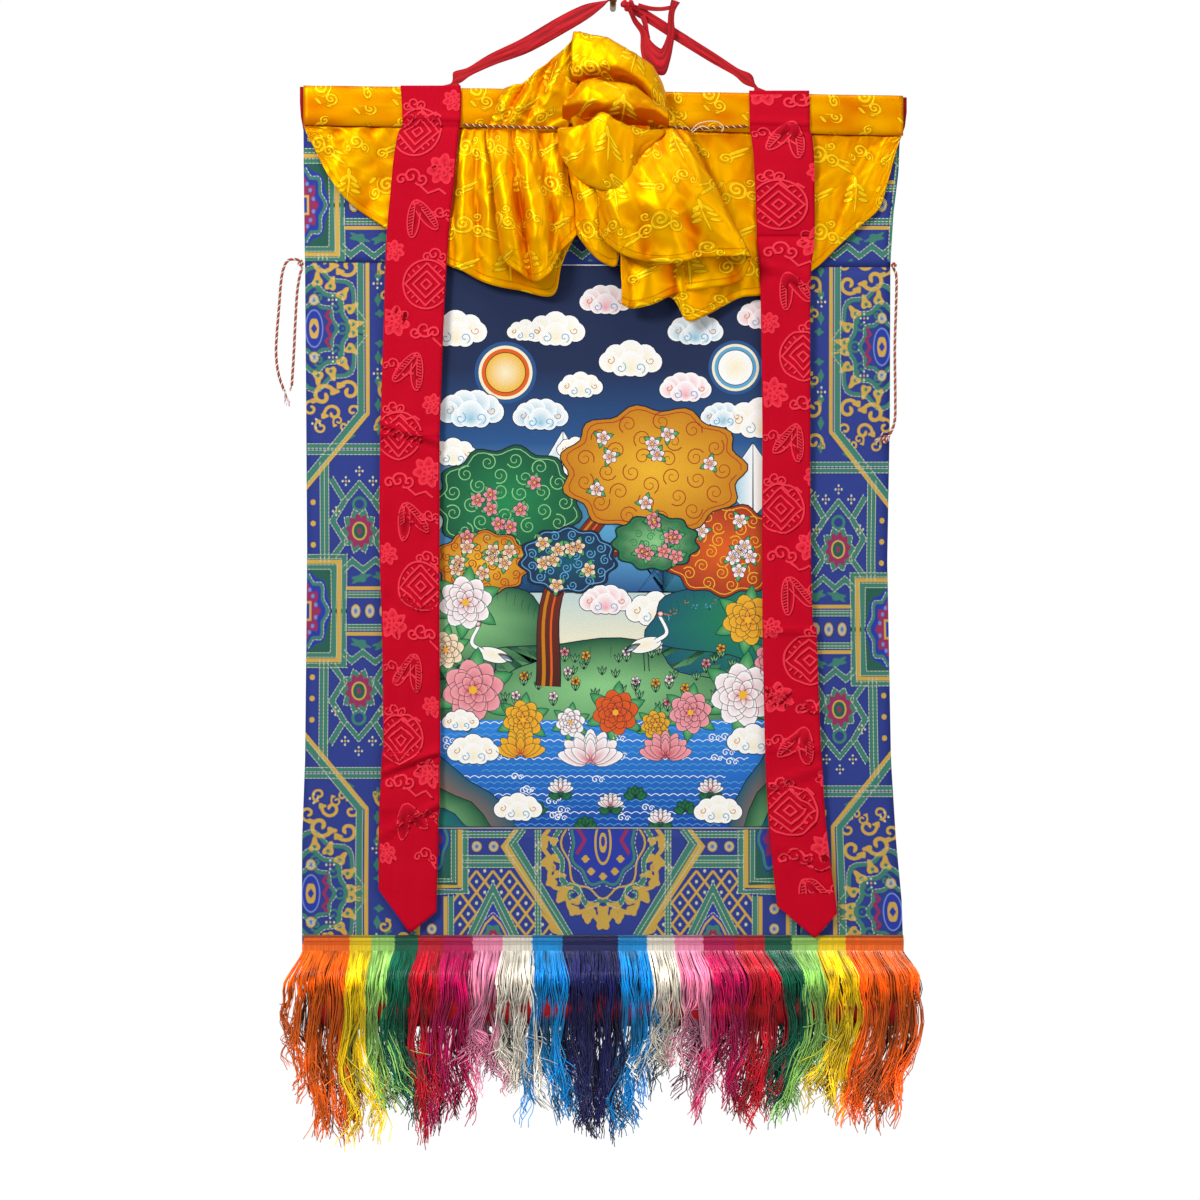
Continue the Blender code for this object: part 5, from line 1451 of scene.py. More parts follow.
def left_bend(x, z):
    share = (x - LEFT_PANEL[0]) / (LEFT_PANEL[1] - LEFT_PANEL[0])
    return mix(left_edge(z), WINDOW_LEFT - SEAM_ROOM, share), z


def right_bend(x, z):
    share = (RIGHT_PANEL[1] - x) / (RIGHT_PANEL[1] - RIGHT_PANEL[0])
    return mix(right_edge(z), WINDOW_RIGHT + SEAM_ROOM, share), z


def top_bend(x, z):
    share = (x - TOP_PANEL[0]) / (TOP_PANEL[1] - TOP_PANEL[0])
    return mix(left_edge(z), right_edge(z), share), min(z, sleeve_bottom(x) - 0.6)


side_cell, foot_cell = (SIDE_WIDE, AXIS), (FOOT, FOOT)
lay_figures("brocade_left", side_repeat, side_cell, (LEFT_PANEL[0], LEFT_AXIS_Z),
            (*LEFT_PANEL, BROCADE_BOTTOM, SEAM_LEFT_Z - 0.6), left_bend)
lay_figures("brocade_right", side_repeat, side_cell, (RIGHT_PANEL[1], RIGHT_AXIS_Z),
            (*RIGHT_PANEL, BROCADE_BOTTOM, SEAM_RIGHT_Z - 0.2), right_bend)
lay_figures("brocade_bottom", foot_repeat, foot_cell, (FOOT_AXIS_X, WINDOW_BOTTOM - FOOT),
            (WINDOW_LEFT + 0.4, WINDOW_RIGHT - 0.4, BROCADE_BOTTOM, WINDOW_BOTTOM - 0.4), lambda x,
            z: (x, z))
lay_figures("brocade_top", side_repeat, side_cell, (TOP_PANEL[0], TOP_AXIS_Z),
            (*TOP_PANEL, -205.0, -97.5), top_bend)

# %% [markdown]
# ## The picture
# The printed cotton is a sheet of its own in the window. It carries a plain landscape drawn for this
# scene: a flowering tree on a green mound, snow peaks and scrolled clouds behind, and a lake with
# lotus flowers in front. Shapes are shaded from rim to middle and edged in dark ink.

# %% Printed cotton
print_look = woven_look("printed_cotton", 0.7, None, (0.8, 0.8), 0.12)
primed_look, _, _ = material("primed_cotton", 0.75, Base_Color=linear("#EFEDE6"))
CANVAS_MIDDLE = BROCADE_BACK + 0.5
canvas = flat_rows((WINDOW_TOP - SEAM_ROOM, WINDOW_BOTTOM + SEAM_ROOM),
                   (WINDOW_LEFT + SEAM_ROOM, WINDOW_RIGHT - SEAM_ROOM), CANVAS_MIDDLE, 12, 18)
canvas_piece = piece("picture_canvas", grid_mesh("canvas", canvas), [primed_look],
                     replaces=["picture_panel"])
thicken(canvas_piece, 0.6)
print("picture canvas made")

# %% Inks and motifs
INK, NIGHT, DUSK, DAY = dye("#141B2C"), dye("#1B2A50"), dye("#27568F"), dye("#8CC7DC")
CLOUD, CREAM, SHADE = dye("#FFFFFF"), dye("#FBEFCB"), dye("#5FA9D6")
MOSS, LEAF, LIME, TEAL = dye("#14553A"), dye("#1F8A50"), dye("#8FD08A"), dye("#125A70")
OCHRE, SUN, ORANGE = dye("#C97E12"), dye("#F2B92C"), dye("#E4611A")
RUST, BARK = dye("#A8341A"), dye("#4A2117")
PINK, ROSE, RED = dye("#F6A6AE"), dye("#E04A5E"), dye("#C9202E")
LAKE, DEEP = dye("#2C86E0"), dye("#0A49A8")
picture_draw = random.Random(7)
drawing = []


def smooth_line(path, steps):
    """A smooth line through the places of a path."""
    return [(p.x / MM, p.z / MM) for p in along([at(x, z, 0) for x, z in path], steps)]


def inked(height, outline, rim, middle=None, centre=None, line=0.55):
    """A shaded shape with an ink line round it."""
    fan(drawing, height, outline, rim, middle, centre)
    stroke(drawing, height + 0.5, outline + outline[:1], line, INK)


def puff(x, z, size, height=8, tint=CREAM, lobes=5):
    """A scrolled cloud: ink discs behind white ones, with a curl in the lowest lobes."""
    spots = [(cos(a) * size, sin(a) * size * 0.45, size * (0.62 - 0.13 * abs(cos(a)))) for a in
             [pi * (0.02 + 0.96 * k / (lobes - 1)) for k in range(lobes)]]
    spots += [(-0.45 * size, -0.22 * size, size * 0.42), (0.45 * size, -0.25 * size, size * 0.42),
              (0, -0.05 * size, size * 0.6)]
    for grown, tier, rim, middle in ((0.6, 0, INK, INK), (0.0, 1.5, CLOUD, tint)):
        for k, (dx, dz, r) in enumerate(spots):
            fan(drawing, height + tier + 0.11 * k, oval(x + dx, z + dz, r + grown, r + grown, 18), rim,
                middle,
                centre=(x + dx * 0.7, z + dz - r * 0.45))
    for side in (-1, 1):
        stroke(drawing, height + 3, curl(x + side * 0.45 * size, z - 0.25 * size, size * 0.27,
                                         -1.2 * side, 1.1, 12, side), 0.7, SHADE)
        stroke(drawing, height + 3, curl(x + side * 0.95 * size, z + 0.1 * size, size * 0.22, 2 + side,
                                         1.0, 10, side), 0.6, OCHRE)


def petals(x, z, size, count, rim, root, height, turn=0.0, slim=0.42, spread=tau):
    for k in range(count):
        a = turn + spread * (k / count if spread > 6 else k / (count - 1))
        px, pz = x + cos(a) * size * 0.56, z + sin(a) * size * 0.56
        inked(height + (k % 2) * 0.2, oval(px, pz, size * 0.5, size * slim, 14, 3, 0.06, 0, a), rim,
              root, (x, z), 0.4)


def peony(x, z, size, rim, root, height=24):
    """A full flower: three rings of petals over a gold heart, on its leaves."""
    for k in range(6):
        sprig(x, z, size * 1.5, k * 1.05 + 0.4, height - 3)
    petals(x, z, size, 8, rim, root, height, 0.2)
    petals(x, z, size * 0.74, 7, rim, root, height + 1, 0.6)
    petals(x, z, size * 0.48, 6, rim, root, height + 2, 0.1)
    blob(drawing, height + 3, SUN, x, z, size * 0.15, size * 0.15, 8)


def sprig(x, z, long, angle, height, light=LIME, dark=LEAF, wide=0.2):
    """A pointed leaf with a light middle."""
    ca, sa = cos(angle), sin(angle)
    edge = [(t, wide * sin(pi * t) ** 0.8) for t in [k / 7 for k in range(8)]]
    edge += [(t, -w) for t, w in edge[::-1]][1:-1]
    inked(height, [(x + (t * ca - w * sa) * long, z + (t * sa + w * ca) * long) for t, w in edge], dark,
          light,
          (x + 0.4 * long * ca, z + 0.4 * long * sa), 0.4)


def lotus(x, z, size, rim, root, height=24):
    """A lotus from the side: petals spread over half a turn, the middle ones in front."""
    for k, share in enumerate((1.0, 0.86, 0.7)):
        petals(x, z, size * share, 7 - 2 * k, rim, root, height + k, 0.25 + 0.2 * k, 0.24,
               pi - 0.5 - 0.4 * k)


def crown(x, z, across, up, rim, middle, line, height, blossom, seed):
    """A crown of leaves: a lobed shape full of scrolls, with blossoms on it."""
    chance = random.Random(seed)
    inked(height, oval(x, z, across, up, 72, 11, 0.06, seed), rim, middle, line=0.9)
    stroke(drawing, height + 1, oval(x, z, across * 0.93, up * 0.93, 72, 11, 0.06, seed), 0.7, line)
    for ring in range(3):
        for k in range(13 - 4 * ring):
            a = tau * k / (13 - 4 * ring) + ring * 0.4
            px, pz = x + cos(a) * across * (0.78 - 0.27 * ring), z + sin(a) * up * (0.78 - 0.27 * ring)
            stroke(drawing, height + 1, curl(px, pz, up * 0.155, chance.uniform(0, 6), 1.5, 18,
                                             chance.choice((-1, 1))), 0.9, line, taper=0.5)
    for k in range(8):
        a, r = chance.uniform(0, tau), chance.uniform(0.2, 0.85)
        px, pz = x + cos(a) * across * r, z + sin(a) * up * r
        for turn in (0.6, 2.4, 4.6):
            sprig(px, pz, 9, turn + k, height + 2, wide=0.24)
        petals(px, pz, 5.6, 5, blossom[0], blossom[1], height + 3, chance.uniform(0, 1))
        blob(drawing, height + 4, SUN, px, pz, 1.1, 1.1, 8)


def wave_row(z, left, right, height, size, colour):
    """A row of low waves."""
    path = [(left + k * size / 6, z + abs(sin(pi * k / 6)) * size * 0.24)
            for k in range(int((right - left) / size * 6))]
    stroke(drawing, height, path, 0.55, colour)


# %% [markdown]
# The picture is put together from back to front.

# %% Draw the picture
MARGIN = 1.2  # unprinted cotton at the window's edge
LEFT, RIGHT = WINDOW_LEFT + MARGIN, WINDOW_RIGHT - MARGIN
TOP, BOTTOM = WINDOW_TOP - MARGIN, WINDOW_BOTTOM + MARGIN
bands = [(TOP, NIGHT), (-290, NIGHT), (-350, DUSK), (-440, DAY), (-520, CREAM)]
for (high, upper), (low, lower) in zip(bands, bands[1:]):
    drawing.append((0, 0, [(LEFT, high, *upper), (LEFT, low, *lower), (RIGHT, low, *lower),
                           (RIGHT, high, *upper)]))
for x, z, size, disc, glow in ((-86, -294, 16, SUN, ORANGE), (98, -290, 14, CLOUD, SHADE)):
    for wide, tone in ((1.55, DUSK), (1.35, CREAM), (1.2, glow)):
        fan(drawing, 3 - wide, oval(x, z, size * wide, size * wide, 40), tone)
    inked(3, oval(x, z, size, size, 40), disc, CREAM)
for x, top, foot, wide in ((-118, -372, -470, 74), (-40, -340, -470, 84), (112, -350, -470, 92),
                           (40, -385, -470, 60)):
    for side in (-1, 1):
        slope = [(x, top)] + [(x + side * wide * t, mix(top, foot, t) + 4 * sin(19 * t))
                              for t in (0.2, 0.4, 0.6, 0.8, 1)]
        inked(4, slope + [(x, foot)], TEAL if side > 0 else DUSK, SHADE)
        snow = slope[:3] + [(x + side * wide * 0.30, mix(top, foot, 0.52)),
                            (x + side * wide * 0.18, mix(top, foot, 0.36)), (x, mix(top, foot, 0.5))]
        inked(5, snow, CLOUD, CREAM if side > 0 else DAY)
for k, (x, z, size) in enumerate(((-126, -262, 17), (-114, -326, 18), (-46, -262, 16), (-6, -238, 14),
                                  (14, -286, 17), (66, -262, 15),
                                  (118, -334, 19), (120, -250, 14), (-128, -360, 13), (-58, -330, 15),
                                  (-26, -306, 12), (58, -308, 14),
                                  (-70, -262, 10), (88, -330, 12), (-30, -356, 10), (-6, -478, 14),
                                  (34, -486, 16), (70, -478, 12))):
    puff(x, z, size, 6, (CREAM, DAY, CREAM, PINK)[k % 4], 5 + k % 2)
for x, z, across, up, rim, middle in ((-120, -500, 74, 40, MOSS, LIME), (112, -500, 84, 44, TEAL, LEAF),
                                      (-10, -560, 150, 52, MOSS, LIME)):
    inked(9, oval(x, z, across, up, 60, 9, 0.04, across), rim, middle, (x, z + up * 0.3), 0.8)
    for k in range(22):
        a = radians(15 + 150 * k / 21)
        px, pz = x + cos(a) * across * 0.9, z + sin(a) * up * 0.9
        stroke(drawing, 10, [(px, pz), (px * 0.97 + x * 0.03, pz - 5), (px * 0.98 + x * 0.02, pz - 9)],
               0.6, MOSS, taper=0.3)
for k in range(64):  # tufts and small flowers on the grass
    x, z = picture_draw.uniform(-132, 128), picture_draw.uniform(-568, -520)
    for lean in (-0.5, 0.0, 0.5):
        sprig(x, z, 7.5, pi / 2 + lean, 10.5, LIME, MOSS, 0.12)
    if k % 3 == 0:
        petals(x, z + 8, 3.6, 5, (CLOUD, PINK, SUN)[k // 3 % 3], (ROSE, RED, ORANGE)[k // 3 % 3], 10.8,
               0.4 * k)
# trunk and boughs
for path, wide in (([(-52, -545), (-40, -520), (-34, -490), (-44, -460), (-30, -425), (-2, -395),
                     (30, -360)], 19),
                   ([(-40, -470), (-64, -440), (-82, -400)], 11),
                   ([(-32, -440), (10, -436), (52, -428), (88, -436)], 9)):
    line = smooth_line(path[::3] + path[-1:] if len(path) > 4 else path, 24)
    stroke(drawing, 11, line, wide + 1.6, INK, taper=0.35)
    stroke(drawing, 12, line, wide, BARK, RUST, taper=0.32)
    stroke(drawing, 13, [(x - wide * 0.2, z) for x, z in line], wide * 0.16, OCHRE, taper=0.3)
    stroke(drawing, 13, [(x + wide * 0.12, z) for x, z in line], wide * 0.1, ORANGE, taper=0.3)
crown(-84, -398, 58, 44, MOSS, LEAF, LIME, 14, (PINK, RED), 3)
crown(90, -436, 50, 36, RUST, ORANGE, SUN, 14, (CLOUD, PINK), 5)
crown(-104, -446, 38, 25, OCHRE, SUN, RUST, 15, (CREAM, ROSE), 21)
crown(-36, -444, 38, 26, NIGHT, TEAL, SHADE, 18, (CREAM, ORANGE), 8)
crown(32, -372, 72, 50, OCHRE, SUN, RUST, 18, (CLOUD, ROSE), 12)
crown(34, -430, 34, 22, MOSS, LIME, LEAF, 22, (PINK, ROSE), 15)
# two white birds at the foot of the tree
for x, z, side in ((26, -512, 1), (-96, -520, -1)):
    for leg in (-1.6, 2.0):
        stroke(drawing, 14, [(x + leg, z - 6), (x + leg + side, z - 21)], 0.7, INK)
    inked(15, oval(x, z, 12, 6.6, 24, 2, 0.1, 0, 0.25 * side), CLOUD, CREAM)
    neck = smooth_line([(x + 8 * side, z + 3), (x + 17 * side, z + 10), (x + 11 * side, z + 24)], 12)
    stroke(drawing, 15.6, neck, 4.0, INK, taper=0.7)
    stroke(drawing, 16, neck, 3.0, CLOUD, taper=0.7)
    inked(16.6, oval(x + 12 * side, z + 25, 2.6, 2.2, 12), RED, CLOUD)
    stroke(drawing, 16, [(x + 14 * side, z + 25), (x + 21 * side, z + 23.5)], 1.3, OCHRE, taper=0.2)
    for k in range(5):
        sprig(x - (4 + k) * side, z + 1 - k * 0.9, 13 - k, (pi if side > 0 else 0) + 0.35 * side,
              17 + k * 0.4, CREAM, INK if k < 2 else SHADE, 0.13)
# lake
drawing.append((19, 0, [(LEFT, -572, *LAKE), (LEFT, BOTTOM, *DEEP), (RIGHT, BOTTOM, *DEEP),
                        (RIGHT, -572, *LAKE)]))
for k in range(18):
    wave_row(-575 - 4.8 * k, LEFT + (k * 37) % 60, RIGHT - (k * 53) % 70, 20, 7.0,
             SHADE if k % 3 else CLOUD)
for k in range(26):
    x, z = picture_draw.uniform(-140, 130), picture_draw.uniform(-652, -585)
    stroke(drawing, 21, curl(x, z, 3.2, 0.4, 1.2, 12), 0.7, CLOUD)
    stroke(drawing, 21, curl(x + 5, z - 0.6, 2.4, 0.2, 1.2, 12), 0.6, CLOUD)
# banks
for side, x in ((-1, LEFT), (1, RIGHT)):
    for k, (wide, high) in enumerate(((84, 70), (64, 46), (46, 24)) if side < 0
                                     else ((56, 96), (44, 66), (30, 38))):
        edge = [(x, BOTTOM + high)] + [(x - side * wide * t,
                                        BOTTOM + high * (1 - t) ** 0.7 + 3 * sin(9 * t + k))
                                       for t in (0.15, 0.35, 0.55, 0.75, 0.9)]
        inked(22 + k, edge + [(x - side * wide, BOTTOM), (x, BOTTOM)], MOSS if k % 2 else TEAL,
              (OCHRE, LIME, LEAF)[k], (x - side * 6, BOTTOM + 6), 0.7)
for x, z, size in ((-76, -644, 13), (-112, -598, 14), (84, -646, 13), (112, -590, 14),
                   (-122, -574, 10)):
    puff(x, z, size, 26, CREAM)
for k in range(8):
    x, z = (-62 + 20 * k, -646 + 14 * sin(2.1 * k))
    for turn in range(5):
        sprig(x, z, 10, 0.3 + turn * 0.65, 23, LEAF, MOSS, 0.34)
    if k % 2:
        lotus(x, z + 5, 10, CLOUD, (PINK, ROSE)[k % 4 // 2], 26)
lotus(-18, -606, 25, CLOUD, ROSE, 27)
lotus(-74, -600, 19, SUN, ORANGE, 27)
lotus(42, -602, 20, PINK, RED, 27)
for x, z, size, rim, root in ((-118, -478, 20, CLOUD, ROSE), (-112, -548, 23, PINK, RED),
                              (108, -492, 19, SUN, ORANGE),
                              (104, -552, 24, CLOUD, ROSE), (-72, -572, 15, SUN, ORANGE),
                              (62, -566, 16, PINK, RED),
                              (2, -566, 17, ORANGE, RED), (128, -524, 14, PINK, ROSE),
                              (-134, -516, 14, CREAM, ORANGE),
                              (-34, -574, 11, CLOUD, PINK), (34, -576, 11, SUN, RED)):
    peony(x, z, size, rim, root, 24)
drawing = [(h, t, cut) for h, t, corners in drawing
           if (cut := clipped(corners, (LEFT, RIGHT, BOTTOM, TOP)))]
printed = piece("picture_print", drawing_mesh("print", drawing, CANVAS_MIDDLE + 0.35, 0.018),
                [print_look])
print(f"picture drawn with {len(printed.data.polygons)} shapes")

# %% [markdown]
# ## Yellow damask silk
# The cover and the sleeve are of one damask: a satin in which the pattern is the same thread with its
# float turned round, so that cloud scrolls and sprigs shine where the ground is dull; their shine is
# painted in as a brighter yellow. The satin glows yellow on its ridges, and the orange of the hollows,
# where light bounces between the folds, is painted shade.

# %% Silk look
def motif_distance(tree, place, tile, shapes):
    """How far a place is from the nearest shape, in millimetres and less than nothing inside it. The
    shapes repeat over a tile, and every second column of tiles is dropped by half."""
    wide, high = tile
    parts = tree.nodes.new("ShaderNodeSeparateXYZ")
    tree.links.new(place, parts.inputs[0])
    column = math_of(tree, "FLOOR", math_of(tree, "DIVIDE", parts.outputs[0], wide))
    drop = math_of(tree, "MULTIPLY", math_of(tree, "FLOORED_MODULO", column, 2.0), high / 2)
    x = math_of(tree, "FLOORED_MODULO", parts.outputs[0], wide)
    y = math_of(tree, "FLOORED_MODULO", math_of(tree, "ADD", parts.outputs[1], drop), high)
    inside = add(tree, "ShaderNodeCombineXYZ", x, y)
    nearest = None
    for x, y, across, up, turn, line in shapes:
        moved = add(tree, "ShaderNodeMapping", {"Vector": inside, "Location": (x, y, 0),
                                                "Rotation": (0, 0, turn),
                                               "Scale": (across, up, 1)}, vector_type="TEXTURE")
        far = add(tree, "ShaderNodeVectorMath", moved, operation="LENGTH", out=1)
        far = math_of(tree, "MULTIPLY", math_of(tree, "SUBTRACT", far, 1.0), min(across, up))
        if line:  # a line that winds out from the middle, instead of the whole oval
            spot = tree.nodes.new("ShaderNodeSeparateXYZ")
            tree.links.new(moved, spot.inputs[0])
            around = math_of(tree, "DIVIDE", math_of(tree, "ARCTAN2", spot.outputs[1], spot.outputs[0]),
                             tau)
            reach = add(tree, "ShaderNodeVectorMath", moved, operation="LENGTH", out=1)
            wound_up = math_of(tree, "FRACT",
                               math_of(tree, "SUBTRACT", math_of(tree, "MULTIPLY", reach, line),
                                       around))
            band = math_of(tree, "SUBTRACT",
                           math_of(tree, "ABSOLUTE", math_of(tree, "SUBTRACT", wound_up, 0.5)), 0.24)
            far = math_of(tree, "MAXIMUM", far, math_of(tree, "MULTIPLY", band, min(across, up) / line))
        nearest = far if nearest is None else math_of(tree, "MINIMUM", nearest, far)
    return nearest


def step_between(tree, value, low, high):
    """Goes from 1 below the low value to 0 above the high one."""
    return add(tree, "ShaderNodeMapRange", {"Value": value, 1: low, 2: high, 3: 1.0, 4: 0.0},
               interpolation_type="SMOOTHSTEP")


SILK_MOTIFS = (
    # x, y, half width, half height, turn, and how often a line winds round, or 0 when filled
    (15, 15, 8.6, 7.6, 0.0, 1.9), (27, 20, 6.6, 5.2, 0.4, 1.7), (5, 22, 5.8, 4.8, 2.0, 1.7),
    (26, 9, 4.4, 3.4, 3.0, 1.4),
    (37, 26, 8.5, 1.2, 0.5, 0), (38, 21, 6.0, 0.9, 0.3, 0), (3, 12, 3.4, 1.2, -0.8, 0),
    (48, 38, 1.7, 4.4, 0.0, 0), (43.5, 42, 1.5, 4.2, 0.8, 0), (52.5, 42, 1.5, 4.2, -0.8, 0),
    (42, 47, 1.4, 4.2, 1.1, 0), (54, 47, 1.4, 4.2, -1.1, 0),
    (41.5, 52, 1.3, 4.0, 1.3, 0), (54.5, 52, 1.3, 4.0, -1.3, 0), (48, 51, 0.7, 10.5, 0.1, 0),
    (53, 12, 6.6, 5.2, 0.3, 1.7), (61, 17, 4.2, 3.4, 1.0, 1.4), (46, 17, 3.6, 2.8, 4.0, 1.3),
    (20, 46, 8.5, 1.2, -0.4, 0), (18, 50, 6.5, 0.9, -0.4, 0), (10, 52, 5.2, 4.2, 0.0, 1.6),
)
silk_look, tree, shader = material("yellow_damask_silk", 0.34, Metallic=0.42, Specular_IOR_Level=0.6,
                                   Specular_Tint=linear("#FFB000"))
place = cloth_place(tree)
far = motif_distance(tree, place, (66.0, 62.0), SILK_MOTIFS)
motif = step_between(tree, far, -0.25, 0.25)
outline = math_of(tree, "SUBTRACT", step_between(tree, far, 0.4, 0.8), motif)
# The orange of the hollows is painted shade, read from the attribute that leaf() fills.
painted_shade = add(tree, "ShaderNodeAttribute", attribute_name="painted_shade", out="Fac")
shade = two_tone(tree, painted_shade, "#F4AC00", "#D46000")
# The figures are painted a brighter yellow for their sheen, each edged by a thin darker line.
shade = two_tone(tree, math_of(tree, "MULTIPLY", motif, 0.7), shade, "#FFDC20")
shade = two_tone(tree, math_of(tree, "MULTIPLY", outline, 0.45), shade, "#B27400")
hem = add(tree, "ShaderNodeAttribute", attribute_name="from_end", out="Fac")
seam = step_between(tree, math_of(tree, "ABSOLUTE", math_of(tree, "SUBTRACT", hem, 6.0)), 0.25, 0.6)
shade = two_tone(tree, math_of(tree, "MULTIPLY", seam, 0.3), shade, "#B46A00")
plug(shader, Base_Color=shade)
drawn = add(tree, "ShaderNodeMapping", {"Vector": place, "Rotation": (0, 0, 0.5),
                                        "Scale": (0.05, 0.03, 0.05)})
crumple = add(tree, "ShaderNodeTexNoise", {"Vector": drawn, "Scale": 1.0, "Detail": 2.5,
                                           "Roughness": 0.55},
              noise_type="RIDGED_MULTIFRACTAL")
threads = weave(tree, place, 0.9, 0.5)
raised = math_of(tree, "SUBTRACT", math_of(tree, "MULTIPLY", motif, 0.5), seam)
raised = math_of(tree, "ADD", math_of(tree, "MULTIPLY", threads, 0.10), raised)
plug(shader, Normal=bump(tree, raised, 0.4, 0.9, under=bump(tree, crumple, 0.9)))
print("silk dyed, with a pattern of", len(SILK_MOTIFS), "shapes to a tile")

# %% Top sleeve
SLEEVE_MIDDLE = BROCADE_BACK + SLEEVE_DEEP / 2
sleeve_mesh = wound("top", SLEEVE_LEFT + 0.3, SLEEVE_RIGHT - 0.3,
                    lambda x: sleeve_bottom(x) + SLEEVE_HIGH / 2,
                    SLEEVE_MIDDLE, SLEEVE_HIGH - 1.0, SLEEVE_DEEP - 1.0, 120, 0.35, power=5.0)
top_silk = piece("top_sleeve_silk", sleeve_mesh, [silk_look], replaces=["top_sleeve"])
no_hem = [99.0] * len(top_silk.data.vertices)
top_silk.data.attributes["from_end"].data.foreach_set("value", no_hem)
# The sleeve gets the same orange painted shade as the cover, over a base of 0.45, in patches that
# change at random along it.
orange_patches = [wander(v.co.x * 40, v.co.y * 40, v.co.z * 90) for v in top_silk.data.vertices]
measure(top_silk.data, "painted_shade", [clamped(0.45 + 0.6 * patch) for patch in orange_patches])
thicken(top_silk, 0.5)
for side, x in (("left", SLEEVE_LEFT + 1.5), ("right", SLEEVE_RIGHT - 1.5)):
    end_cap("top_sleeve_end_" + side, x, sleeve_bottom(x) + SLEEVE_HIGH / 2, SLEEVE_MIDDLE,
            SLEEVE_HIGH - 3, SLEEVE_DEEP - 2)
print("top sleeve made")

# %% Silk cover
SILK_THICK = 0.6


def leaf(name, folds, across_steps=9, along_steps=56, crumple=1.0, seed=0.0, turned=1.0, base_painted_shade=0.2):
    """One stretch of silk: each fold is the places that it passes, from root to hem. It is creased,
    and each place keeps how much orange painted shade it gets: a base amount, more the deeper it
    lies between the folds round it and the nearer it is to the root, and full shade where the cloth
    has turned in under its edge, past the turned share of its way."""
    columns = []
    for i in range((len(folds) - 1) * across_steps + 1):
        share = i / ((len(folds) - 1) * across_steps)
        curve = [smooth_through([fold[k] for fold in folds], share) for k in range(len(folds[0]))]
        columns.append(along(curve, along_steps))
    columns, fronts = wrinkled(columns, crumple, seed)
    mesh = grid_mesh(name, columns)
    values, high, wide = [], len(columns[0]), len(columns)
    for i in range(wide):
        for j in range(high):
            near = [columns[clamped(i + di, 0, wide - 1)][clamped(j + dj, 0, high - 1)]
                    for di, dj in ((5, 0), (-5, 0), (0, 4), (0, -4))]
            sunk = (sum(near, Vector()) / 4 - columns[i][j]).dot(fronts[i][j]) / MM
            under = clamped((j / high - turned) * 12.0)
            # Painted shade: the base, the hollows, the root under the gathers, and the turned-under
            # part.
            values.append(clamped(base_painted_shade + sunk * 0.5 + 0.4 * exp(-9 * j / high) + under))
    measure(mesh, "painted_shade", values)
    return mesh


def wrinkled(columns, crumple, seed):
    """Folds that run down from the gathers, softer towards the hem, with sharp creases across them.
    Gives the moved places and the way that each one faces."""
    moved, fronts = [], []
    width = 0.0
    for i, column in enumerate(columns):
        beside = columns[min(i + 1, len(columns) - 1)], columns[max(i - 1, 0)]
        if i:
            width += (column[len(column) // 2] - columns[i - 1][len(column) // 2]).length / MM
        row, facing = [], []
        for j, place in enumerate(column):
            run = column[min(j + 1, len(column) - 1)] - column[max(j - 1, 0)]
            out = (beside[0][j] - beside[1][j]).cross(run)
            out = out.normalized() if out.length > 1e-12 else Vector((0, -1, 0))
            out = -out if out.y > 0 else out
            share = j / (len(column) - 1)
            pleat = wander(width / 10, share * 1.5, seed)
            dent = wander(width / 24 + share, share * 3.2, seed + 9)
            crease = 1 - abs(wander(width / 19 - share * 1.5, share * 4.2 + width / 60, seed + 3)) * 2.2
            near, next_one = noise.voronoi(Vector((width / 16 + share, share * 3.4 + width / 40,
                                                   seed)))[0][:2]
            facet = max(0.0, 0.3 - (next_one - near)) * 3.2  # sharp ridges between flat facets
            lift = pleat * (1.0 - 0.6 * share) + dent * 2.2 + max(crease, 0.0) ** 3 * 0.8
            lift += facet * (1.1 - 0.5 * share)
            row.append(place + out * MM * crumple * lift)
            facing.append(out)
        moved.append(row)
        fronts.append(facing)
    return moved, fronts


def hanging_fold(root, hem, belly):
    return (root, (root + hem) / 2 + Vector((0, -belly * MM, 0)), hem)


def side_folds(table):
    return [hanging_fold(at(rx, sleeve_bottom(rx) - GAP, rd), at(hx, hz, hd), belly) for rx, rd, hx, hz,
            hd, belly in table]


def free_folds(table):
    return [hanging_fold(at(rx, rz, rd), at(hx, hz, hd), belly) for rx, rz, rd, hx, hz, hd,
            belly in table]


def ridge_folds(table):
    return [tuple(at(*place) for place in row) for row in table]


def tucked(table, down, back):
    """Folds with one place more, where the cloth turns in below its lower edge."""
    return [(*fold, fold[2] + Vector((0, back, -down)) * MM) for fold in ridge_folds(table)]


def heart():
    """The rolled cloth inside the bunch."""
    across, up, deep = CORE_RADII
    folds = []
    for i in range(9):
        around = tau * i / 8
        folds.append([at(*CORE_AT) + Vector((cos(around) * sin(t) * across, -cos(t) * deep,
                                             sin(around) * sin(t) * up)) * MM
                      for t in [pi * k / 8 for k in range(9)]])
    # The heart is painted in full orange shade, as it lies deep inside the bunch.
    return leaf("heart", folds, across_steps=4, along_steps=32, crumple=0.8, seed=31.0, base_painted_shade=1.8)


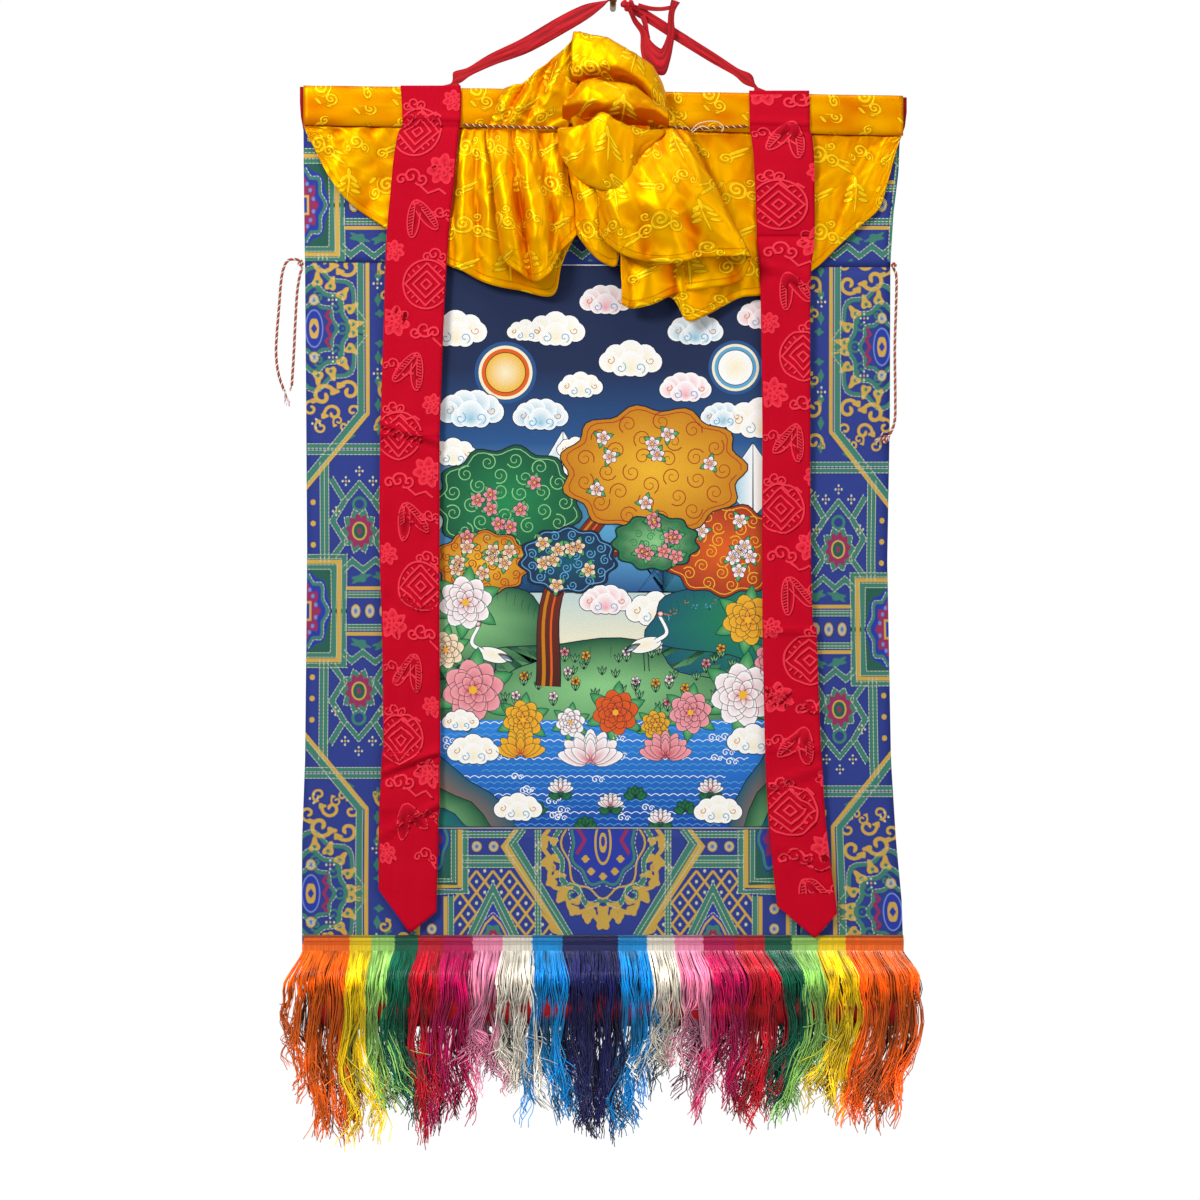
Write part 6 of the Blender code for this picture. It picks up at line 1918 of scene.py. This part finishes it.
leaves = [
    leaf("side_left", side_folds(SIDE_LEFT_ROWS), crumple=0.7, seed=1.0),
    leaf("tubes", side_folds(TUBES_ROWS), seed=2.0),
    leaf("side_right", side_folds(SIDE_RIGHT_ROWS), crumple=0.7, seed=3.0),
    leaf("turned_lobe", free_folds(LOBE_ROWS), seed=4.0),
    leaf("centre_fold", free_folds(CENTRE_FOLD_ROWS), crumple=0.8, seed=5.0),
    leaf("slope_left", free_folds(SLOPE_LEFT_ROWS), crumple=0.8, seed=6.0),
    leaf("slope_right", free_folds(SLOPE_RIGHT_ROWS), crumple=0.8, seed=7.0),
    leaf("peak", tucked(PEAK_ROWS, 12, 13), crumple=0.75, seed=8.0, turned=0.60),
    leaf("swag", tucked(SWAG_ROWS, 14, 15), crumple=0.7, seed=9.0, turned=0.6, base_painted_shade=0.35),
    leaf("pocket", tucked(POCKET_ROWS, 2, 10), crumple=0.65, seed=10.0, turned=0.78, base_painted_shade=0.4),
    heart(),
]
cover = piece("silk_cover_cloth", joined("silk_cover", leaves), [silk_look], replaces=["silk_cover"])
thicken(cover, SILK_THICK)
print(f"silk cover: {len(cover.data.polygons)} faces")

# %% [markdown]
# ## The red ribbons
# Two long ribbons of red damask hang over the silk. The weaver's pattern repeats every 122 mm: a ring
# with nested squares in it, peonies, clouds and a pair of leaves. Its figures are the same red with
# the thread turned round, so the light that they catch is painted: each line is a brighter red as a
# painted highlight, with a fine dark painted shadow beside it.

# %% Ribbon pattern
ribbon_look = woven_look("red_damask_ribbon", 0.45, ("#94041A", "#E20C2C"), (0.9, 0.6), 0.4,
                         Specular_Tint=linear("#FF5050"))
damask_look = woven_look("red_damask_figure", 0.35, None, (1.0, 0.6), 0.3,
                         Specular_Tint=linear("#FF6060"))
RIBBON_THICK, RIBBON_WIDE, REPEAT = 0.7, 48, 122
FRET_FROM_TOP, FRET_FROM_END = 16, 52  # a ring keeps this far from the ribbon's ends
EIGHTH_TURN = sqrt(0.5)  # sine and cosine of 45 degrees
# BRIGHT_RED paints the light that the figures catch, and DARK_RED their painted shadows and the leaves'
# darker middles.
BRIGHT_RED, MID_RED, DARK_RED = dye("#F63A4C"), dye("#D20E2C"), dye("#840414")


def ribbon_drawing(long, shift):
    """The figures of one ribbon: x runs over its width and z down from its top. Every other repeat
    is mirrored."""
    shapes = []

    def raised(path, wide, height=2):
        """A line painted bright as a highlight, with a painted shadow on its lower right, in short
        steps that can follow a fold.
        """
        path = [(mix(a[0], b[0], k / n), mix(a[1], b[1], k / n)) for a, b in zip(path, path[1:])
                for n in [max(1, round(dist(a, b) / 3))] for k in range(n)] + path[-1:]
        stroke(shapes, height, [(x + 0.45, z + 0.45) for x, z in path], wide + 0.5, DARK_RED)
        stroke(shapes, height + 1, path, wide, BRIGHT_RED)

    def edged(height, outline, rim=BRIGHT_RED, middle=MID_RED, line=0.7):
        # A painted shadow on the lower right, then the shape, painted brighter at its rim as sheen, and
        # a bright painted line round it.
        fan(shapes, height, [(x + 0.5, z + 0.5) for x, z in outline], DARK_RED)
        fan(shapes, height + 0.5, outline, rim, middle)
        stroke(shapes, height + 1, outline + outline[:1], line, BRIGHT_RED)

    def round_fret(x, z):
        def spun(across, down):
            """The fret stands on its corner."""
            return x + (across - down) * EIGHTH_TURN, z + (across + down) * EIGHTH_TURN

        ring = oval(x, z, 18.5, 19.5, 32)
        raised(ring + ring[:1], 1.5)
        for reach in (12.0, 7.5, 3.0):  # nested squares, and short bars on their four sides
            corners = ((-1, -1), (1, -1), (1, 1), (-1, 1), (-1, -1))
            raised([spun(dx * reach, dz * reach) for dx, dz in corners], 1.5)
        for dx, dz in ((1, 0), (-1, 0), (0, 1), (0, -1)):
            for off in (-5.0, 0.0, 5.0):
                raised([spun(dx * reach + dz * off, dz * reach + dx * off) for reach in (13.0, 16.0)],
                       1.3)

    def ribbon_peony(x, z, size):
        for k in range(7):
            a = tau * k / 7 + 0.3
            edged(1 + k % 2, oval(x + cos(a) * size * 0.58, z + sin(a) * size * 0.58, size * 0.46,
                                  size * 0.36, 14, 3, 0.1, 0, a))
        for k in range(5):
            a = tau * k / 5
            edged(4, oval(x + cos(a) * size * 0.27, z + sin(a) * size * 0.27, size * 0.26, size * 0.2,
                          10, 0, 0, 0, a), line=0.5)

    def leaf_pair(x, z, turn):
        for side in (-1, 1):
            a = turn + side * 0.36
            px, pz = x + cos(a) * 14, z + sin(a) * 14
            ring = oval(px, pz, 15.0, 4.8, 24, 0, 0, 0, a)
            fan(shapes, 1, ring, MID_RED, DARK_RED)
            raised(ring + ring[:1], 1.1)
            raised([(px + cos(a) * reach, pz + sin(a) * reach) for reach in (-13, 13)], 0.9, 4)
            for k in range(-5, 6):
                mx, mz = px + cos(a) * 2.4 * k, pz + sin(a) * 2.4 * k
                reach = 4.2 * sqrt(1 - (k / 6.2) ** 2)
                raised([(mx, mz), (mx + cos(a + 1.1 * side) * reach, mz + sin(a + 1.1 * side) * reach)],
                       0.8, 4)

    def cloud_scroll(x, z, size, hand):
        for dx, dz, r, start in ((0, 0, 1.0, 0.5), (1.15, 0.35, 0.75, 2.6), (-1.05, 0.4, 0.7, 0.2)):
            raised(curl(x + dx * size, z + dz * size, size * r, start, 1.25, 18, hand), size * 0.24, 1)
        tail = ((1.0, 1.0), (2.0, 1.9), (3.2, 1.4), (4.0, 2.0))
        raised([(x + dx * size, z + dz * size) for dx, dz in tail], 1.6, 1)

    middle = RIBBON_WIDE // 2
    for k in range(-1, int(long / REPEAT) + 2):
        z = shift + REPEAT * k
        side = 1 if k % 2 else -1
        if FRET_FROM_TOP < z < long - FRET_FROM_END:
            round_fret(middle + 9 * side, z)
        ribbon_peony(middle - 15 * side, z + 30, 11.5)
        cloud_scroll(middle + 9 * side, z + 36, 7.0, side)
        leaf_pair(middle + 4 * side, z + 56, pi / 2 + 0.35 * side)
        cloud_scroll(middle - 16 * side, z + 64, 5.0, -side)
        ribbon_peony(middle + 18 * side, z + 96, 8.0)
        cloud_scroll(middle - 14 * side, z + 98, 5.5, side)
    return shapes


# %% Make the ribbons
def on_cloth(columns, x, z, above):
    """The place on a cloth at x millimetres across it and z down it, and so far in front of it."""
    wide = len(columns) - 1
    spans = [(b[len(b) // 2] - a[len(a) // 2]).length / MM for a, b in zip(columns, columns[1:])]
    i = 0
    while i < wide - 1 and x > spans[i]:
        x -= spans[i]
        i += 1
    share = clamped(x / spans[i])
    steps = len(columns[0]) - 1
    run = z
    for j in range(steps):
        reach = (columns[i][j + 1] - columns[i][j]).length / MM
        if run <= reach or j == steps - 1:
            break
        run -= reach
    down = clamped(run / reach) if reach else 0.0
    a, b = (columns[k][j].lerp(columns[k][j + 1], down) for k in (i, i + 1))
    out = (b - a).cross(columns[i][j + 1] - columns[i][j])
    out = out.normalized() if out.length > 1e-12 else Vector((0, -1, 0))
    return a.lerp(b, share) + (-out if out.y > 0 else out) * above * MM


SELVAGE = 0.8  # the edge of a ribbon, which carries no figures


def creased(x, z, creases):
    """How far hard folds across a ribbon lift it, in millimetres. A fold runs from side to side."""
    lift = 0.0
    for left_z, right_z, deep in creases:
        far = z - mix(left_z, right_z, x)
        lift += deep * (exp(-((far - 2.0) / 3.2) ** 2) - 0.8 * exp(-((far + 2.5) / 2.2) ** 2))
    return lift


def make_ribbon(name, table, point, creases, shift):
    rows = [[at(left_x, z, depth), at(right_x, z, depth)] for z, left_x, right_x, depth in table]
    steps = 11 * (len(rows) - 1)
    left, right = along([row[0] for row in rows], steps), along([row[1] for row in rows], steps)
    (left_x, left_z), (tip_x, tip_z), (right_x, right_z) = point
    depth = table[-1][3]
    columns = []
    for k in range(17):
        share = k / 16
        column = [a.lerp(b, share) for a, b in zip(left, right)]
        if share < (tip_x - left_x) / (right_x - left_x):
            part = share * (right_x - left_x) / (tip_x - left_x)
            end = at(mix(left_x, tip_x, part), mix(left_z, tip_z, part), depth)
        else:
            part = (share * (right_x - left_x) - (tip_x - left_x)) / (right_x - tip_x)
            end = at(mix(tip_x, right_x, part), mix(tip_z, right_z, part), depth)
        last = column[-1]
        column += [last.lerp(end, s / 8) if (end - last).z < -0.5 * MM else end for s in range(1, 9)]
        for place in column:
            z = place.z / MM
            wave = wander(share * 1.6, z / 42, shift) * 1.2
            wave += 0.5 * wander(share * 3.5 + z / 30, z / 15, shift)
            lift = creased(share, z, creases)
            place.y -= MM * (lift + wave if z < -130 else max(lift, -0.1))
        columns.append(column)
    obj = piece(name + "_damask", grid_mesh(name, columns), [ribbon_look], replaces=[name])
    thicken(obj, RIBBON_THICK)
    long = length_of(columns[8]) / MM
    limits = (SELVAGE, RIBBON_WIDE - SELVAGE, 3.0, long - 30)
    shapes = [(h, t, cut) for h, t, corners in ribbon_drawing(long, shift)
              if (cut := clipped(corners, limits))]
    figures = drawing_mesh(name + "_pattern", shapes, 0, 0.03,
                           lambda x, z, above: on_cloth(columns, x, z, above + RIBBON_THICK / 2 + 0.06))
    made = piece(name + "_figures", figures, [damask_look])
    print(f"{name}: {len(made.data.polygons)} figure shapes")
    return obj


# Where each hard fold meets the left and the right edge, and how high it stands.
LEFT_CREASES = ((-92, -94, 1.1), (-240, -262, 0.9), (-336, -352, 1.8), (-402, -424, 1.4),
                (-468, -488, 1.6), (-560, -540, 1.2), (-616, -598, 2.4), (-668, -640, 2.4))
RIGHT_CREASES = ((-96, -98, 1.1), (-210, -222, 2.0), (-330, -312, 1.0), (-430, -418, 1.4),
                 (-548, -566, 1.8), (-628, -612, 2.0), (-676, -690, 1.4))
make_ribbon("ribbon_left", RIBBON_LEFT_ROWS, RIBBON_LEFT_POINT, LEFT_CREASES, 38)
make_ribbon("ribbon_right", RIBBON_RIGHT_ROWS, RIBBON_RIGHT_POINT, RIGHT_CREASES, 92)
print("two ribbons made")

# %% [markdown]
# ## The fringe
# Rayon threads are looped through a stitched heading and cut at the lower end. They bulge out over the
# roller, fall in under it, cling together in wavy locks, and part at their tips into curled ends of
# very different lengths. Light and shade are painted into the threads' colours: the threads at the back
# are painted darker, because little light reaches them, a painted highlight runs where the threads
# bulge over the roller and painted shade where they fall in under it, and each lock is painted lighter
# and darker along its length.

# %% Yarn
yarn_look, tree, shader = material("rayon_fringe_yarn", 0.3, Specular_IOR_Level=0.7)
# The colour attribute holds each thread's dye times its painted light and shade.
colour = add(tree, "ShaderNodeAttribute", attribute_name="dye", out="Color")
plug(shader, Base_Color=colour)

yarn_tree, given = new_tree("yarn", Thread=0.0005, Look="")
line = add(yarn_tree, "GeometryNodeMeshToCurve", given["Geometry"])
thin = add(yarn_tree, "GeometryNodeInputNamedAttribute", {"Name": "thick"}, data_type="FLOAT")
line = add(yarn_tree, "GeometryNodeSetCurveRadius", {"Curve": line, "Radius": thin})
section = add(yarn_tree, "GeometryNodeCurvePrimitiveCircle",
              {"Resolution": 3, "Radius": given["Thread"]})
line = add(yarn_tree, "GeometryNodeCurveToMesh", {"Curve": line, "Profile Curve": section})
end_tree(yarn_tree, line, given["Look"])

DYE_BANDS = (
    # where each band ends at the heading, in millimetres, and its dye
    (-210.4, "#FF7000"), (-193.6, "#FFDC00"), (-174.4, "#A6DC70"), (-156.0, "#00664A"),
    (-136.0, "#D00A28"),
    (-112.0, "#C8005C"), (-88.0, "#FF9ABE"), (-64.8, "#F4ECDC"), (-40.8, "#0098E0"), (4.0, "#1C1F62"),
    (27.2, "#0098E0"), (49.6, "#F4ECDC"), (72.0, "#FF9ABE"), (97.6, "#C8005C"), (121.6, "#D00A28"),
    (143.2, "#00664A"), (164.0, "#A6DC70"), (186.4, "#FFDC00"), (240.0, "#FF7000"),
)
TIP_OUTLINE = (
    # how low the longest threads reach
    (-257, -876), (-247, -884), (-238, -908), (-218, -919), (-199, -922), (-180, -898), (-170, -886),
    (-151, -914),
    (-132, -916), (-122, -900), (-113, -873), (-94, -872), (-84, -880), (-65, -887), (-55, -906),
    (-36, -894),
    (-17, -918), (-7, -920), (12, -903), (22, -884), (50, -869), (70, -900), (89, -884), (98, -904),
    (137, -904),
    (156, -886), (175, -892), (204, -906), (214, -888), (223, -916), (233, -892), (246, -852),
)
fringe_draw = random.Random(STRAND_SEED)
FRONT = ROLLER_MIDDLE + ROLLER_DEEP / 2 + ROLLER_CLEAR
OVER_ROLLER, UNDER_ROLLER = -775.0, -797.0  # where the threads stand out most, and where they fall in
HEADING_FOOT, HEADING_FACE = HEADING_TOP - HEADING_HIGH, HEADING_BACK + 1.9
LOCKS, LOCK_THREADS, ROW_STEP = 240, 14, 3.4
FRINGE_LEFT, FRINGE_RIGHT, FRINGE_FOOT = -0.266, 0.253, -0.9275  # no thread swings past these
FRINGE_START, FRINGE_END = FRINGE_ROWS[0][0], FRINGE_ROWS[-1][0]


def dye_at(x):
    return next(dye for end, dye in DYE_BANDS if x <= end)


def shaded(x, bright):
    return (*[part * bright for part in linear(dye_at(x))[:3]], 1.0)


def fringe_lock(x, row):
    """A lock of threads that wave together: where its threads pass, and their colours there, with
    painted light and shade.
    """
    draw = fringe_draw
    at_roller, at_middle, at_tip = row_at(FRINGE_ROWS, x)
    if x < -226 and draw.random() < 0.3:  # some of the outer threads swing clear of the rest
        at_roller, at_middle = at_roller - 3, at_middle - 9 * draw.random()
        at_tip -= 4 * draw.random()
    lowest = row_at(TIP_OUTLINE, at_tip)[0] + 3.0
    low_z = lowest + draw.uniform(0.0, 1.0) ** 1.6 * 34.0 + (10.0 if row else 0.0)
    lean = draw.gauss(0, 3.0)
    seed = draw.uniform(0, 90)
    gather = draw.uniform(0.1, 0.9)  # how closely the tips cling
    # A random tone for the lock, painted darker in the rows behind as painted shade.
    lock_tone_and_row_shade = draw.uniform(0.72, 1.2) * (1.15, 0.55, 0.25)[row]
    for _ in range(LOCK_THREADS):
        off = draw.uniform(-1.0, 1.0)
        tone = draw.uniform(0.6, 1.3) * lock_tone_and_row_shade
        loose = draw.random() < 0.14
        fling = clamped(draw.gauss(0, 10.0 if loose else 1.5), -12.0, 12.0)
        end_z = low_z + draw.uniform(-3, 16) + (draw.uniform(0, 30) if loose else 0.0)
        depth = FRONT - 1.0 - ROW_STEP * row + draw.uniform(-1.2, 1.2)
        wide = 1.35 + 2.2 * (1 - gather)
        keys = [at(x + off * 2.4, HEADING_FOOT + 5, 20.6),
                at(x + off * 2.6, HEADING_FOOT - 2, 22.6 - 0.8 * row),
                at(mix(x, at_roller, 0.8) + off * 3.2, OVER_ROLLER, depth + 3.4),
                at(at_roller + off * 3.4 + lean * 0.3, UNDER_ROLLER, depth - 2.0),
                at(at_middle + off * 2.8 + lean, mix(UNDER_ROLLER, end_z, 0.45), depth - 4.0),
                at(at_tip + off * wide * 1.5 + lean * 1.7 + fling * 0.2, mix(UNDER_ROLLER, end_z, 0.8),
                   depth - 3.0),
                at(at_tip + off * wide * 0.8 + lean * 2.3 + fling, end_z,
                   depth - 3.0 + abs(fling) * 0.2)]
        places, tones = along(keys, 21), []
        own = draw.uniform(0, 90)
        for i, place in enumerate(places):
            sway = clamped((i - 3) / 10, 0.0, 1.3)
            curly = max(0.0, (i - 15) / 6)
            step = i * 0.62
            swing = wander(seed, step * 0.5, 0)
            place.x += MM * (7.0 * sway * swing + 2.2 * sway * wander(own, step * 0.6, 0)
                             + 3.4 * curly * wander(own, step * 0.5, 4))
            place.y += MM * (3.0 * sway * wander(seed, step * 0.45,
                                                 7) + 1.8 * sway * wander(own, step * 0.6, 7))
            place.x = clamped(place.x, FRINGE_LEFT, FRINGE_RIGHT)
            place.z = max(place.z + MM * 3.0 * curly * wander(own, step * 0.5, 11), FRINGE_FOOT)
            z = place.z / MM
            # Painted highlight over the roller, painted shade under it, and painted light and shade
            # along the lock as its waves turn.
            glow = 1.0 + 0.45 * exp(-((z + 776) / 12) ** 2) - 0.38 * exp(-((z + 812) / 22) ** 2)
            tones.append(shaded(x + off, tone * glow * (1.0 + 0.9 * wander(seed, step * 0.8, 21))))
        yield places, tones


lines, dyes = [], []
for i in range(LOCKS):
    x = mix(FRINGE_START, FRINGE_END, (i + fringe_draw.uniform(0.2, 0.8)) / LOCKS)
    for places, tones in fringe_lock(x, (0, 1, 0, 2)[i % 4]):
        lines.append(places)
        dyes.append(tones)
third = len(lines) // 3
for n, name in enumerate(("fringe_left_third", "fringe_middle_third", "fringe_right_third")):
    span = slice(n * third, (n + 1) * third)
    obj = piece(name, line_mesh(name, lines[span], dye=dyes[span], thick=[1.0] * third), [],
                replaces=["fringe"] if n == 0 else ())
    grow(obj, yarn_tree, Thread=0.00042, Look=yarn_look)
    print(f"{name}: {len(obj.data.polygons)} faces")

# %% [markdown]
# The heading is a narrow strip that the loops of thread cover: upright threads lie side by side over
# it, and two rows of chain stitch and a cord along the top hold them.

# %% Fringe heading
strip_rows = [[at(x, HEADING_TOP - HEADING_HIGH * j / 4, HEADING_BACK + 0.9) for j in range(5)]
              for x in [mix(FRINGE_START, FRINGE_END, i / 240) for i in range(241)]]
strip = piece("fringe_heading", grid_mesh("heading", strip_rows), [yarn_look])
# The strip is coloured at 0.4 of its band's dye: painted shade between the threads that cover it.
strip_shade_layer = strip.data.attributes.new("dye", "FLOAT_COLOR", "POINT")
strip_shade_layer.data.foreach_set("color",
                           [part for column in strip_rows for p in column
                            for part in shaded(p.x / MM, 0.4)])
thicken(strip, 1.4)
lines, dyes, sizes = [], [], []


def sew(x, bright, thick, places):
    """A short thread on the heading, through places beside x, below its top and before its face."""
    lines.append([at(x + dx, HEADING_TOP + dz, HEADING_FACE + out) for dx, dz, out in places])
    dyes.append(shaded(x, bright))
    sizes.append(thick)


x, stitch, STITCH_STEP = FRINGE_START, 0, 0.72
while x < FRINGE_END:
    sew(x, fringe_draw.uniform(0.75, 1.05), 1.0,
        ((0, -0.6, -0.3), (0.3, -5, 0.2), (0, -HEADING_HIGH - 3, 0.1)))
    if stitch % 2 == 0:
        for z, lean in ((-4.6, 1.0), (-6.6, -1.0)):
            sew(x, 0.85, 1.25, ((-0.9, z - 0.8 * lean, 0.5), (0, z, 1.1), (0.9, z + 0.8 * lean, 0.5)))
        sew(x, 0.4, 1.3, ((-1.0, -1.5, 0.4), (0, -1.0, 0.9), (1.0, -0.4, 0.4)))
    x += STITCH_STEP
    stitch += 1
heading = piece("fringe_heading_stitches", line_mesh("heading_stitches", lines, dye=dyes, thick=sizes),
                [])
grow(heading, yarn_tree, Thread=0.0005, Look=yarn_look)
print(f"fringe heading: {len(lines)} threads and stitches")
